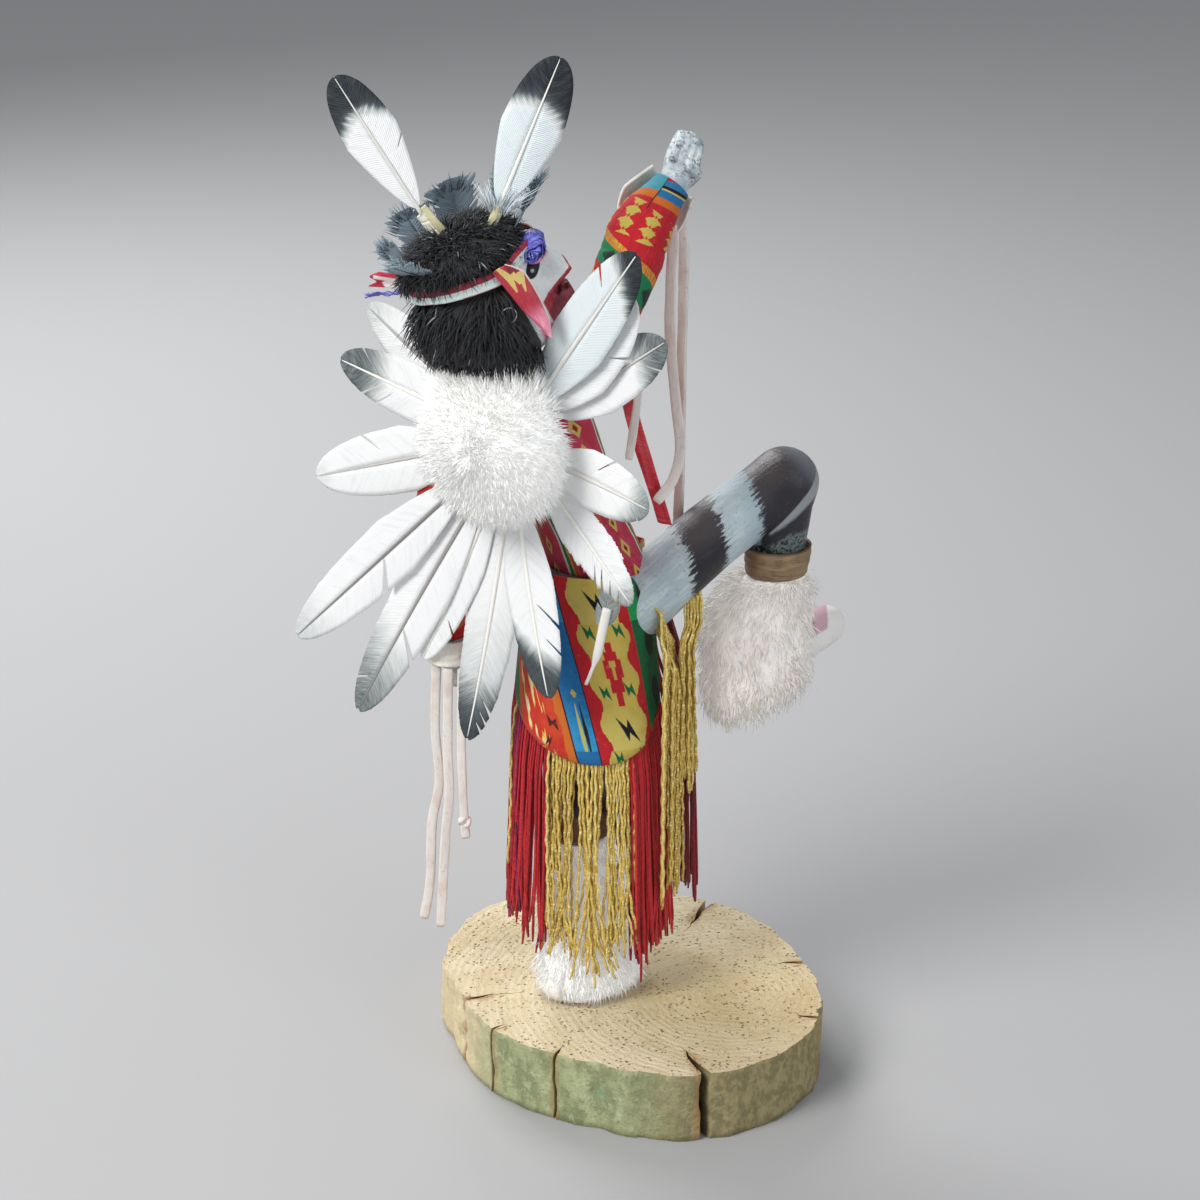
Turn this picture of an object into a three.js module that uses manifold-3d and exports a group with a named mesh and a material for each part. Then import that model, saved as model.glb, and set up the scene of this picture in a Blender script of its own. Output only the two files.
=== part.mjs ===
// Carved dancing figure on a slice of tree trunk: a small dressed kachina doll.
//
// Millimetres, +Z up, origin at the centre of the underside of the wooden
// slice. The figure faces -Y. All pieces are laid out in a working frame in
// which the figure faces between +X and +Y, and the whole group is turned once
// by FACING at the end.
//
// The figure stands on its left leg with its right knee and right arm raised.
// Body, mask, arms and legs are one carving. Cloth, fringe, fur, feathers and
// leather are separate pieces around it, each with a small gap to what it lies
// on.

import * as THREE from 'three';
import { mergeVertices } from 'three/addons/utils/BufferGeometryUtils.js';
import Module from 'manifold-3d';

const wasm = await Module();
wasm.setup();

// ---------------------------------------------------------------- dimensions
const FACING = -3 * Math.PI / 4;      // turn from the working frame to the row frame
const GAP = 0.35;                     // clearance between touching pieces

const BASE_T = 24;                    // thickness of the wooden slice
// radius of the slice every 15 degrees, starting at +X and going towards +Y
const BASE_R = [61, 59.5, 60, 62.5, 65, 65.2, 66, 72, 75, 75, 72, 68, 61,
  58, 57, 55.5, 54.5, 55, 59, 63.5, 65.5, 66.4, 65.5, 63.5];
// drying cracks: angle (deg), depth (mm), width at the rim (mm)
const CRACKS = [[-71, 17, 3.2], [65, 22, 3.6], [-169, 13, 2.2], [-120, 5, 1.4],
  [14, 8, 2.4], [-22, 7, 1.8], [-146, 5, 1.2]];

const HEAD = [-45, -20, 265];         // centre of the carved head
const HEAD_LIFT = 28 * Math.PI / 180; // the face looks up by this angle
const HEAD_TURN = 10 * Math.PI / 180;

const HIP_L = [-18, 10, 158], KNEE_L = [-19, 7, 98], ANKLE_L = [-21, -5, 40];
const HEEL_L = [-26, -13, 29], TOE_L = [-4, 15, 28];
const HIP_R = [0, 2, 159.5], KNEE_R = [46.5, 16, 195], ANKLE_R = [41, 13, 136];
const HEEL_R = [38, 9, 130], TOE_R = [62, 28, 141];
const SHOULDER_R = [-19, -17, 238], ELBOW_R = [-4, -8, 270], WRIST_R = [10, 3, 294];
const HAND_R = [15, 7, 306];
const SHOULDER_L = [-47, 9, 235], ELBOW_L = [-62, 12.5, 192], WRIST_L = [-60, 12, 141];
const HAND_L = [-56, 19, 126];

// back rosette of feathers: a flat fan behind the shoulders
const FAN_AZ = 36 * Math.PI / 180;
const FAN_C = [-38, -16, 220];
const PUFF_R = 26, PUFF_T = 20;
const FEATHER_T = 0.8, LAYER = 1.15, LAYERS = 4, LAYER0 = -1.4;

// ------------------------------------------------------------------- helpers
const V = (a) => new THREE.Vector3(a[0], a[1], a[2]);
const add = (p, ...terms) => {        // p + k1*v1 + k2*v2 ...
  const q = p.clone();
  for (let i = 0; i < terms.length; i += 2) q.addScaledVector(terms[i + 1], terms[i]);
  return q;
};
const lerp = (a, b, t) => a + (b - a) * t;

function weld(g) {
  const c = g.clone();
  for (const k of Object.keys(c.attributes)) if (k !== 'position') c.deleteAttribute(k);
  return mergeVertices(c, 1e-4);
}
function toSolid(g) {
  const m = weld(g);
  return new wasm.Manifold(new wasm.Mesh({
    numProp: 3,
    vertProperties: new Float32Array(m.attributes.position.array),
    triVerts: new Uint32Array(m.index.array),
  }));
}
function toGeo(s) {
  const m = s.getMesh();
  const g = new THREE.BufferGeometry();
  const np = m.numProp, n = m.vertProperties.length / np;
  const pos = new Float32Array(n * 3);
  for (let i = 0; i < n; i++) for (let k = 0; k < 3; k++) pos[i * 3 + k] = m.vertProperties[i * np + k];
  g.setAttribute('position', new THREE.BufferAttribute(pos, 3));
  g.setIndex(Array.from(m.triVerts));
  return g;
}

// faces turned outwards, whichever way round the rings run
function outward(pos, idx) {
  const P = (i) => new THREE.Vector3(pos[3 * i], pos[3 * i + 1], pos[3 * i + 2]);
  let v = 0;
  for (let i = 0; i < idx.length; i += 3) v += P(idx[i]).dot(P(idx[i + 1]).cross(P(idx[i + 2])));
  if (v < 0) for (let i = 0; i < idx.length; i += 3) [idx[i + 1], idx[i + 2]] = [idx[i + 2], idx[i + 1]];
  return idx;
}

// closed body through a row of rings with the same number of points
function loft(rings) {
  const n = rings[0].length, pos = [], idx = [];
  for (const r of rings) for (const p of r) pos.push(p.x, p.y, p.z);
  for (let i = 0; i < rings.length - 1; i++) {
    for (let j = 0; j < n; j++) {
      const a = i * n + j, b = i * n + (j + 1) % n;
      idx.push(a, b, b + n, a, b + n, a + n);
    }
  }
  for (const end of [0, rings.length - 1]) {
    const c = new THREE.Vector3();
    rings[end].forEach((p) => c.add(p));
    c.divideScalar(n);
    const k = pos.length / 3;
    pos.push(c.x, c.y, c.z);
    for (let j = 0; j < n; j++) {
      const a = end * n + j, b = end * n + (j + 1) % n;
      if (end === 0) idx.push(k, b, a); else idx.push(k, a, b);
    }
  }
  const g = new THREE.BufferGeometry();
  g.setAttribute('position', new THREE.Float32BufferAttribute(pos, 3));
  g.setIndex(outward(pos, idx));
  return g;
}
function ring(c, u, v, a, b, n) {
  const r = [];
  for (let j = 0; j < n; j++) {
    const t = 2 * Math.PI * j / n;
    r.push(add(c, a * Math.cos(t), u, b * Math.sin(t), v));
  }
  return r;
}
// limb: a rounded body along a smooth path. rad holds [side, depth] per point,
// ref is the direction of the side radius, grow is added to every radius.
function limb(points, rad, opt = {}) {
  const { n = 12, steps = 8, ref = [0, 0, 1], grow = 0, cap0 = 1, cap1 = 1 } = opt;
  const curve = new THREE.CatmullRomCurve3(points.map(V), false, 'centripetal');
  const at = (t) => {
    const x = t * (rad.length - 1), i = Math.min(rad.length - 2, Math.floor(x)), f = x - i;
    return [lerp(rad[i][0], rad[i + 1][0], f) + grow, lerp(rad[i][1], rad[i + 1][1], f) + grow];
  };
  const frame = (t) => {
    const d = curve.getTangent(t).normalize();
    const u = V(ref).addScaledVector(d, -V(ref).dot(d)).normalize();
    return { c: curve.getPoint(t), d, u, v: d.clone().cross(u) };
  };
  const rings = [];
  if (cap0) {
    const f = frame(0), [a, b] = at(0), h = Math.min(a, b) * cap0;
    rings.push(ring(add(f.c, -h * 0.92, f.d), f.u, f.v, a * 0.45, b * 0.45, n));
    rings.push(ring(add(f.c, -h * 0.55, f.d), f.u, f.v, a * 0.84, b * 0.84, n));
  }
  for (let i = 0; i <= steps; i++) {
    const t = i / steps, f = frame(t), [a, b] = at(t);
    rings.push(ring(f.c, f.u, f.v, a, b, n));
  }
  if (cap1) {
    const f = frame(1), [a, b] = at(1), h = Math.min(a, b) * cap1;
    rings.push(ring(add(f.c, h * 0.55, f.d), f.u, f.v, a * 0.84, b * 0.84, n));
    rings.push(ring(add(f.c, h * 0.92, f.d), f.u, f.v, a * 0.45, b * 0.45, n));
  }
  return loft(rings);
}
// flat piece: outline points [x, y] extruded by t, laid with its x along ex,
// y along ey, and its underside at p
function plate(outline, t, p, ex, ey) {
  const s = new THREE.Shape(outline.map((q) => new THREE.Vector2(q[0], q[1])));
  const g = new THREE.ExtrudeGeometry(s, { depth: t, bevelEnabled: false, steps: 1 });
  const ez = ex.clone().cross(ey).normalize();
  const m = new THREE.Matrix4().makeBasis(ex, ey, ez).setPosition(p);
  return g.applyMatrix4(m);
}
// feather outline along +x: quill, vane that widens and a rounded tip
function featherOutline(len, width, quill = 0.24, qw = 1.5, tipSharp = 0.55) {
  const up = [];
  up.push([0, qw / 2], [len * quill, qw / 2]);
  for (const t of [0.1, 0.3, 0.55, 0.78, 0.9, 0.965, 1]) {
    const root = Math.pow(Math.min(1, t / 0.5), 0.6);
    const tip = Math.pow(Math.max(0, 1 - Math.pow(t, 4.5)), tipSharp);
    up.push([len * lerp(quill, 1, t), Math.max(0.6, width / 2 * root * tip)]);
  }
  const down = up.map(([x, y]) => [x, -y]).reverse();
  return [...down.slice(0), ...up.slice(0)].reverse();
}
function orient(outline) {            // counter-clockwise order
  let a = 0;
  for (let i = 0; i < outline.length; i++) {
    const p = outline[i], q = outline[(i + 1) % outline.length];
    a += p[0] * q[1] - q[0] * p[1];
  }
  return a < 0 ? outline.slice().reverse() : outline;
}
function feather(base, tip, nrm, width, t, opt = {}) {
  const d = tip.clone().sub(base), len = d.length();
  const ex = d.normalize();
  const ez = nrm.clone().addScaledVector(ex, -nrm.dot(ex)).normalize();
  const ey = ez.clone().cross(ex);
  const o = orient(featherOutline(len, width, opt.quill ?? 0.24, opt.qw ?? 1.5, opt.sharp ?? 0.55));
  return plate(o, t, add(base, -t / 2, ez), ex, ey);
}
// curved panel round a vertical axis: angle range in degrees, radius and
// lower edge as functions of the angle and height
function panel(cx, cy, a0, a1, zTop, zLow, rad, t, n = 14, rows = 4) {
  const rings = [];
  for (let i = 0; i <= n; i++) {
    const s = i / n, a = lerp(a0, a1, s) * Math.PI / 180;
    const top = zTop(s), low = zLow(s), r = [];
    const at = (z, off) => {
      const R = rad(s, (top - z) / 70) + off;
      return new THREE.Vector3(cx + R * Math.cos(a), cy + R * Math.sin(a), z);
    };
    for (let k = 0; k <= rows; k++) r.push(at(lerp(top, low, k / rows), t));
    for (let k = rows; k >= 0; k--) r.push(at(lerp(top, low, k / rows), 0));
    rings.push(r);
  }
  return loft(rings);
}
function strip(points, w, t, side) {  // flat cord: flattened eight-sided tube
  const c = new THREE.CatmullRomCurve3(points.map(V), false, 'centripetal');
  const s = new THREE.Shape();
  const n = 8;
  for (let i = 0; i < n; i++) {
    const a = 2 * Math.PI * (i + 0.5) / n;
    // the section is wider than it is thick, with rounded edges
    const x = w / 2 * Math.cos(a), y = t / 2 * Math.sin(a);
    if (i === 0) s.moveTo(x, y); else s.lineTo(x, y);
  }
  s.closePath();
  return new THREE.ExtrudeGeometry(s, { steps: side, extrudePath: c, bevelEnabled: false });
}

const model = new THREE.Group();
const doll = new THREE.Group();
doll.rotation.z = FACING;
model.add(doll);
const kept = {};
function put(name, g, colour, roughness = 0.8, metalness = 0) {
  const mesh = new THREE.Mesh(g, new THREE.MeshStandardMaterial({ color: colour, roughness, metalness }));
  mesh.name = name;
  doll.add(mesh);
  kept[name] = g;
}

// ----------------------------------------------------------------- wood base
{
  const pts = [];
  const rAt = (deg) => {
    const x = ((deg % 360) + 360) % 360 / 15, i = Math.floor(x) % 24, f = x - Math.floor(x);
    const s = f * f * (3 - 2 * f);
    return lerp(BASE_R[i], BASE_R[(i + 1) % 24], s);
  };
  const polar = (r, d) => [r * Math.cos(d * Math.PI / 180), r * Math.sin(d * Math.PI / 180)];
  const marks = [];
  for (let d = 0; d < 360; d += 10) marks.push([d, null]);
  for (const [d, depth, w] of CRACKS) marks.push([(d + 360) % 360, [depth, w]]);
  marks.sort((a, b) => a[0] - b[0]);
  for (const [d, c] of marks) {
    if (!c) {
      if (marks.some(([e, k]) => k && Math.abs(e - d) < 3.2)) continue;
      pts.push(polar(rAt(d), d));
    } else {
      const r = rAt(d), half = c[1] / 2 / r * 180 / Math.PI;
      pts.push(polar(r, d - half));
      pts.push(polar(r - c[0] * 0.55, d - half * 0.55));
      pts.push(polar(r - c[0], d + half * 0.2));
      pts.push(polar(r - c[0] * 0.5, d + half * 0.75));
      pts.push(polar(r, d + half));
    }
  }
  const shape = new THREE.Shape(pts.map((p) => new THREE.Vector2(p[0], p[1])));
  put('wood_base', new THREE.ExtrudeGeometry(shape, { depth: BASE_T, bevelEnabled: false }), 0xcbb58c, 0.9);
}

// ------------------------------------------------------------- carved figure
const headC = V(HEAD);
const fd = new THREE.Vector3(Math.cos(HEAD_LIFT) * Math.cos(HEAD_TURN),
  Math.cos(HEAD_LIFT) * Math.sin(HEAD_TURN), Math.sin(HEAD_LIFT));
const hu = new THREE.Vector3(-Math.sin(HEAD_LIFT) * Math.cos(HEAD_TURN),
  -Math.sin(HEAD_LIFT) * Math.sin(HEAD_TURN), Math.cos(HEAD_LIFT));
const hs = fd.clone().cross(hu);      // towards the figure's right cheek
const headAt = (f, s, u) => add(headC, f, fd, s, hs, u, hu);

const SIDE = [0.707, -0.707, 0];      // the figure's right hand side
const TORSO = [[-10, 9, 152], [-13, 8, 168], [-19, 4, 188], [-27, -2, 210], [-32, -6, 226], [-36, -10, 238], [-39, -14, 250]];
const TORSO_R = [[17, 14], [17, 13.5], [14.5, 11.5], [18.5, 12], [19.5, 11.5], [9, 8], [6.5, 6.5]];

const torso = (grow) => limb(TORSO, TORSO_R, { n: 10, steps: 6, ref: SIDE, grow });
const shoulders = (grow) => limb([SHOULDER_L, [-33, -5, 233], SHOULDER_R],
  [[8.5, 8.5], [10.5, 10], [9, 9]], { n: 8, steps: 2, ref: [0, 0, 1], grow });
const armRaised = (grow, cap = 0.5) => limb([SHOULDER_R, [-12, -13, 254], ELBOW_R, [1, -4, 283], WRIST_R],
  [[9, 8.5], [8, 8], [8.6, 8.2], [8.6, 7.4], [4.4, 4.2]],
  { n: 8, steps: 5, ref: [0.8, -0.2, -0.5], grow, cap1: cap });
const armLowered = (grow, cap = 0.5) => limb([SHOULDER_L, [-57, 12, 215], ELBOW_L, [-62, 12, 165], WRIST_L],
  [[8.5, 8], [7.4, 7.4], [6.6, 6.6], [5.6, 5.6], [4.4, 4.4]],
  { n: 8, steps: 4, ref: [1, 0, 0], grow, cap1: cap });
function figure(grow) {
  const parts = [];
  parts.push(torso(grow));
  // standing leg and foot
  parts.push(limb([HIP_L, KNEE_L, ANKLE_L], [[12, 12], [9.5, 9.5], [7, 7]], { n: 8, steps: 3, ref: [1, 0, 0], grow, cap1: 0.6 }));
  parts.push(limb([HEEL_L, [-15, 1, 31], TOE_L], [[5.5, 4.2], [6.5, 4.6], [5.5, 3.8]], { n: 8, steps: 2, ref: [0.78, -0.62, 0], grow, cap0: 0.9, cap1: 0.9 }));
  parts.push(limb([ANKLE_L, [-21, -6, 30]], [[7, 7], [7, 7]], { n: 8, steps: 1, ref: [1, 0, 0], grow, cap0: 0.4, cap1: 0.25 }));
  // raised leg and foot
  parts.push(limb([HIP_R, [24, 8.5, 180], KNEE_R], [[11.5, 11.5], [10.8, 10.8], [10.4, 10.8]], { n: 10, steps: 3, ref: [0, 0, 1], grow, cap1: 0.8 }));
  parts.push(limb([KNEE_R, [45, 15, 167], ANKLE_R], [[10.4, 10.2], [7.6, 7.6], [5.2, 5.2]], { n: 9, steps: 3, ref: [1, 0, 0], grow, cap0: 0.9, cap1: 0.6 }));
  parts.push(limb([HEEL_R, [50, 18, 137], TOE_R], [[5, 5.5], [7, 7], [6.5, 6.6]], { n: 8, steps: 2, ref: [0.6, -0.8, 0], grow }));
  // raised arm, bent a little at the elbow, and its hand
  parts.push(armRaised(grow));
  parts.push(limb([WRIST_R, [13, 5, 301], HAND_R], [[4.4, 4.2], [5.6, 4.6], [3.6, 3.2]], { n: 8, steps: 3, ref: [0.8, -0.2, -0.5], grow }));
  // lowered arm and its hand
  parts.push(armLowered(grow));
  parts.push(limb([WRIST_L, [-58, 15, 133], HAND_L], [[4.6, 4.6], [5.6, 4.4], [4, 3.4]], { n: 8, steps: 3, ref: [1, 0, 0], grow }));
  parts.push(shoulders(grow));
  // head: rings stacked along its own up direction, flat in front
  const hr = [];
  for (const [u, f0, f1, w] of [[-20, -7, 10, 6], [-17.5, -10, 15, 9.8], [-12, -12.8, 17.5, 12.8], [-3, -14.3, 19, 14], [8, -14, 20, 14], [15, -11.5, 16.5, 12], [20, -6, 9, 6.5]]) {
    const r = [];
    for (let j = 0; j < 12; j++) {
      const a = 2 * Math.PI * j / 12, c = Math.cos(a), s = Math.sin(a);
      const p = (x) => Math.sign(x) * Math.pow(Math.abs(x), 0.8);
      const mid = (f0 + f1) / 2, half = (f1 - f0) / 2 + grow;
      r.push(headAt(mid + half * p(c), -(w + grow) * p(s), u));
    }
    hr.push(r);
  }
  parts.push(loft(hr));
  // snout above the open mouth, and the lower jaw, as wedges
  const wedge = (prof, w) => {        // profile in (forward, up), width across the face
    const q = orient(prof), k = q.length;
    const o = q.map((p, i) => {       // every edge moved outwards by grow
      const side = (a, b) => {
        const L = Math.hypot(b[0] - a[0], b[1] - a[1]);
        return [(b[1] - a[1]) / L, -(b[0] - a[0]) / L];
      };
      const n1 = side(q[(i + k - 1) % k], p), n2 = side(p, q[(i + 1) % k]);
      const f = grow / (1 + n1[0] * n2[0] + n1[1] * n2[1]);
      return [p[0] + f * (n1[0] + n2[0]), p[1] + f * (n1[1] + n2[1])];
    });
    return plate(o, w + 2 * grow, headAt(0, -(w / 2 + grow), 0), fd, hu);
  };
  parts.push(wedge([[10, 6], [22.5, 5.5], [26.3, -2.5], [16.5, -6.4], [10, -7]], 17));
  parts.push(wedge([[9, -9.5], [24.5, -9.2], [24, -12.5], [20.5, -15.5], [13.5, -19.3], [8, -19]], 14));
  let m = toSolid(parts[0]);
  for (const p of parts.slice(1)) m = m.add(toSolid(p));
  return m;
}
const body = figure(0);
const bodyG = figure(GAP);
// everything of the figure stays above the slice, with the sole just off it
const slab = (z0, z1, s = 200) => {
  const g = new THREE.BoxGeometry(2 * s, 2 * s, z1 - z0);
  g.translate(0, 0, (z0 + z1) / 2);
  return toSolid(g);
};
const aboveBase = slab(BASE_T + GAP, 400);
put('carved_figure', toGeo(body.intersect(aboveBase)), 0xd9dfe3, 0.6);
const trim = (g, ...others) => {      // keep clear of the figure and of other grown solids
  let m = toSolid(g).subtract(bodyG);
  for (const o of others) m = m.subtract(o);
  return m;
};
// largest connected body, so that crumbs cut off by a neighbour are dropped
function largest(m) {
  const parts = m.decompose();
  let best = parts[0];
  for (const p of parts) if (p.volume() > best.volume()) best = p;
  return best;
}

// ------------------------------------------------------ fan frame and pieces
const fn = new THREE.Vector3(-Math.sin(FAN_AZ), -Math.cos(FAN_AZ), 0);
const fr = new THREE.Vector3(Math.cos(FAN_AZ), -Math.sin(FAN_AZ), 0);
const Z = new THREE.Vector3(0, 0, 1);
const fan = (u, v, off = 0) => add(V(FAN_C), u, fr, v, Z, off, fn);

// tip (across, up), width and layer of each rosette feather
const FAN = [
  ['rosette_feather_01', 49, 66.5, 20, 4],
  ['rosette_feather_02', 45.5, 52, 20, 2],
  ['rosette_feather_03', 55, 40, 19, 0],
  ['rosette_feather_04', 52.5, -11, 20, 3],
  ['rosette_feather_05', 44.5, -44, 19, 1],
  ['rosette_feather_06', 15.5, -81, 20, 3],
  ['rosette_feather_07', -20.5, -106, 20, 0],
  ['rosette_feather_08', -38, -82, 15, 1],
  ['rosette_feather_09', -64, -106, 20, 2],
  ['rosette_feather_10', -87.5, -84.5, 20, 4],
  ['rosette_feather_11', -81, -29, 22, 0],
  ['rosette_feather_12', -66, 14, 20, 3],
  ['rosette_feather_13', -57, 32, 19, 1],
];
for (const [name, u, v, w, layer] of FAN) {
  const L = Math.hypot(u, v), off = LAYER0 + layer * LAYER;
  const g = feather(fan(u / L * 9, v / L * 9, off), fan(u, v, off), fn, w, FEATHER_T, { quill: 0.14, qw: 1.6 });
  put(name, toGeo(largest(trim(g))), 0xe8eaec, 0.7);
}

// fur puff over the quills: a flattened dome, flat where it lies on them
{
  const prof = [[0, 0], [PUFF_R * 0.86, 0], [PUFF_R, PUFF_T * 0.28], [PUFF_R * 0.93, PUFF_T * 0.6], [PUFF_R * 0.66, PUFF_T * 0.88], [PUFF_R * 0.3, PUFF_T], [0, PUFF_T]];
  const g = new THREE.LatheGeometry(prof.map((p) => new THREE.Vector2(p[0], p[1])), 16);
  const m = new THREE.Matrix4().makeBasis(fr, fn, fr.clone().cross(fn)).setPosition(fan(0.5, 1, LAYER0 + LAYERS * LAYER + FEATHER_T / 2 + GAP));
  g.applyMatrix4(m);
  put('fur_puff', toGeo(largest(trim(g))), 0xf4f6f2, 1);
}

// -------------------------------------------------------------- head dressing
// fur crown: a ring round the top of the head
function ringBody(c, ax, ay, az, ra, rb, hr, hh, n = 20, m = 8, grow = 0) {
  // torus of elliptical section: half-width hr, half-height hh
  const rings = [];
  for (let i = 0; i < n; i++) {
    const a = 2 * Math.PI * i / n;
    const dir = ax.clone().multiplyScalar(Math.cos(a)).addScaledVector(ay, Math.sin(a));
    const cc = add(c, ra * Math.cos(a), ax, rb * Math.sin(a), ay);
    const r = [];
    for (let j = 0; j < m; j++) {
      const b = 2 * Math.PI * j / m;
      r.push(add(cc, (hr + grow) * Math.cos(b), dir, (hh + grow) * Math.sin(b), az));
    }
    rings.push(r);
  }
  const pos = [], idx = [];
  rings.forEach((r) => r.forEach((p) => pos.push(p.x, p.y, p.z)));
  for (let i = 0; i < n; i++) for (let j = 0; j < m; j++) {
    const a = i * m + j, b = i * m + (j + 1) % m, c2 = ((i + 1) % n) * m + j, d = ((i + 1) % n) * m + (j + 1) % m;
    idx.push(a, c2, d, a, d, b);
  }
  const g = new THREE.BufferGeometry();
  g.setAttribute('position', new THREE.Float32BufferAttribute(pos, 3));
  g.setIndex(outward(pos, idx));
  return g;
}
// the band and the lower edge of the crown rise towards the back of the head
const tip = (deg) => {
  const a = deg * Math.PI / 180;
  return [add(new THREE.Vector3(), Math.cos(a), fd, -Math.sin(a), hu), add(new THREE.Vector3(), Math.cos(a), hu, Math.sin(a), fd)];
};
const crown = (grow) => toSolid(loft([[12, 18.4, 17.6, 10], [13.6, 20.2, 19, 9], [17, 20.4, 19, 5], [20.5, 16.6, 15.4, 2], [23, 11, 10, 0], [24.6, 4, 4, 0]]
  .map(([u, a, b, deg]) => ring(headAt(-1, 0, u + grow * (u > 15 ? 1 : -1)), tip(deg)[0], hs, a + grow, b + grow, 12))));
// hair at the back and sides, open at the face
const hairBody = (grow) => {
  const rings = [];
  for (const [z, cx, cy, a, b] of [[246, -47, -24, 13, 10], [251, -46.5, -23.5, 19, 15.5], [262, -46, -22, 20.5, 17.8], [275, -47, -20, 18, 16.8], [280.5, -46, -19.5, 15.5, 15.2]]) {
    rings.push(ring(new THREE.Vector3(cx, cy, z), new THREE.Vector3(1, 0, 0), new THREE.Vector3(0, 1, 0), a + grow, b + grow, 12));
  }
  return toSolid(loft(rings));
};
const behindFace = (f) => {           // half space behind a plane across the head
  const g = new THREE.BoxGeometry(100, 100, 100);
  const m = new THREE.Matrix4().makeBasis(fd, hs, fd.clone().cross(hs)).setPosition(headAt(f - 50, 0, 0));
  return toSolid(g.applyMatrix4(m));
};
const puffGrown = (() => {
  const prof = [[0, -2], [PUFF_R + 0.4, -2], [PUFF_R + 0.4, PUFF_T * 0.28], [PUFF_R * 0.95, PUFF_T * 0.62], [PUFF_R * 0.68, PUFF_T * 0.9 + 0.4], [PUFF_R * 0.3, PUFF_T + 0.4], [0, PUFF_T + 0.4]];
  const g = new THREE.LatheGeometry(prof.map((p) => new THREE.Vector2(p[0], p[1])), 16);
  const m = new THREE.Matrix4().makeBasis(fr, fn, fr.clone().cross(fn)).setPosition(fan(0.5, 1, LAYER0 + LAYERS * LAYER + FEATHER_T / 2 + GAP));
  return toSolid(g.applyMatrix4(m));
})();
const fanSide = (() => {              // everything from the rosette outwards
  const g = new THREE.BoxGeometry(300, 80, 300);
  const m = new THREE.Matrix4().makeBasis(fr, fn, Z.clone().multiplyScalar(-1)).setPosition(fan(0, 0, LAYER0 - FEATHER_T / 2 - GAP + 40));
  return toSolid(g.applyMatrix4(m));
})();
const fanSlab = (() => {              // the thin space that the rosette feathers lie in
  const g = new THREE.BoxGeometry(300, LAYERS * LAYER + FEATHER_T + 0.8, 300);
  const m = new THREE.Matrix4().makeBasis(fr, fn, Z.clone().multiplyScalar(-1)).setPosition(fan(0, 0, LAYER0 + LAYERS / 2 * LAYER));
  return toSolid(g.applyMatrix4(m));
})();
const bandRing = (grow) => toSolid(ringBody(headAt(0.6, 0, 10.4), tip(10)[0], hs, tip(10)[1], 20.4, 17.5, 0.7 + grow, 2.6 + grow, 20, 4, 0));
const cheek = (grow) => plate(orient([[5, 12.3], [9.4, 12.3], [13.4, 7.9], [13.6, -2.4], [12.8, -8.6], [10.6, -14], [7.3, -1.8], [6.1, 6.2]]), 0.9 + 2 * grow, headAt(0, 18.6 - grow, 0), fd, hu);
{
  const m = trim(toGeo(crown(0)));
  put('fur_crown', toGeo(largest(m)), 0x15171c, 1);
  const band = largest(toSolid(toGeo(bandRing(0))).subtract(bodyG).subtract(crown(GAP)));
  put('headband', toGeo(band), 0xe6e0dc, 0.8);
  const h = hairBody(0).intersect(behindFace(8.5)).subtract(bodyG).subtract(crown(GAP)).subtract(bandRing(GAP)).subtract(toSolid(cheek(GAP))).subtract(puffGrown).subtract(fanSlab);
  put('hair', toGeo(largest(h)), 0x101216, 1);
}

// cloth tails tied at the back of the headband
{
  const p = new THREE.Vector3(-67.6, -15, 266.4);
  const ex = new THREE.Vector3(-0.985, 0.02, 0.17).normalize();
  const ey = new THREE.Vector3(0.17, 0, 0.985).normalize();
  const ez = ex.clone().cross(ey).normalize();
  const ey2 = ez.clone().cross(ex);
  const g = plate(orient([[0, 0], [13.4, -4.2], [12.6, -2], [14.2, 0.6], [11.6, 3.2], [0, 4.6]]), 1.0, p, ex, ey2);
  put('headband_tails', toGeo(largest(trim(g, crown(GAP), bandRing(GAP), hairBody(GAP)))), 0xb03048, 0.8);
}
// ribbon tuft on the brow and ribbon hanging down the near cheek
{
  const c = headAt(18.5, 3, 9.5), rings = [];
  for (const [k, f] of [[-1, 0.35], [-0.75, 0.75], [-0.2, 1], [0.4, 0.9], [0.85, 0.5], [1, 0.2]]) {
    rings.push(ring(add(c, 9 * k, hs), fd, hu, 4.6 * f, 4.2 * f, 8));
  }
  const g = loft(rings.map((r) => r));
  const s = toSolid(g);
  put('brow_tuft', toGeo(largest(s.subtract(bodyG).subtract(crown(GAP)).subtract(bandRing(GAP)))), 0x5a4aa8, 0.7);
}
put('cheek_ribbon', toGeo(largest(trim(cheek(0), crown(GAP), bandRing(GAP)))), 0xc03c3c, 0.7);

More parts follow.
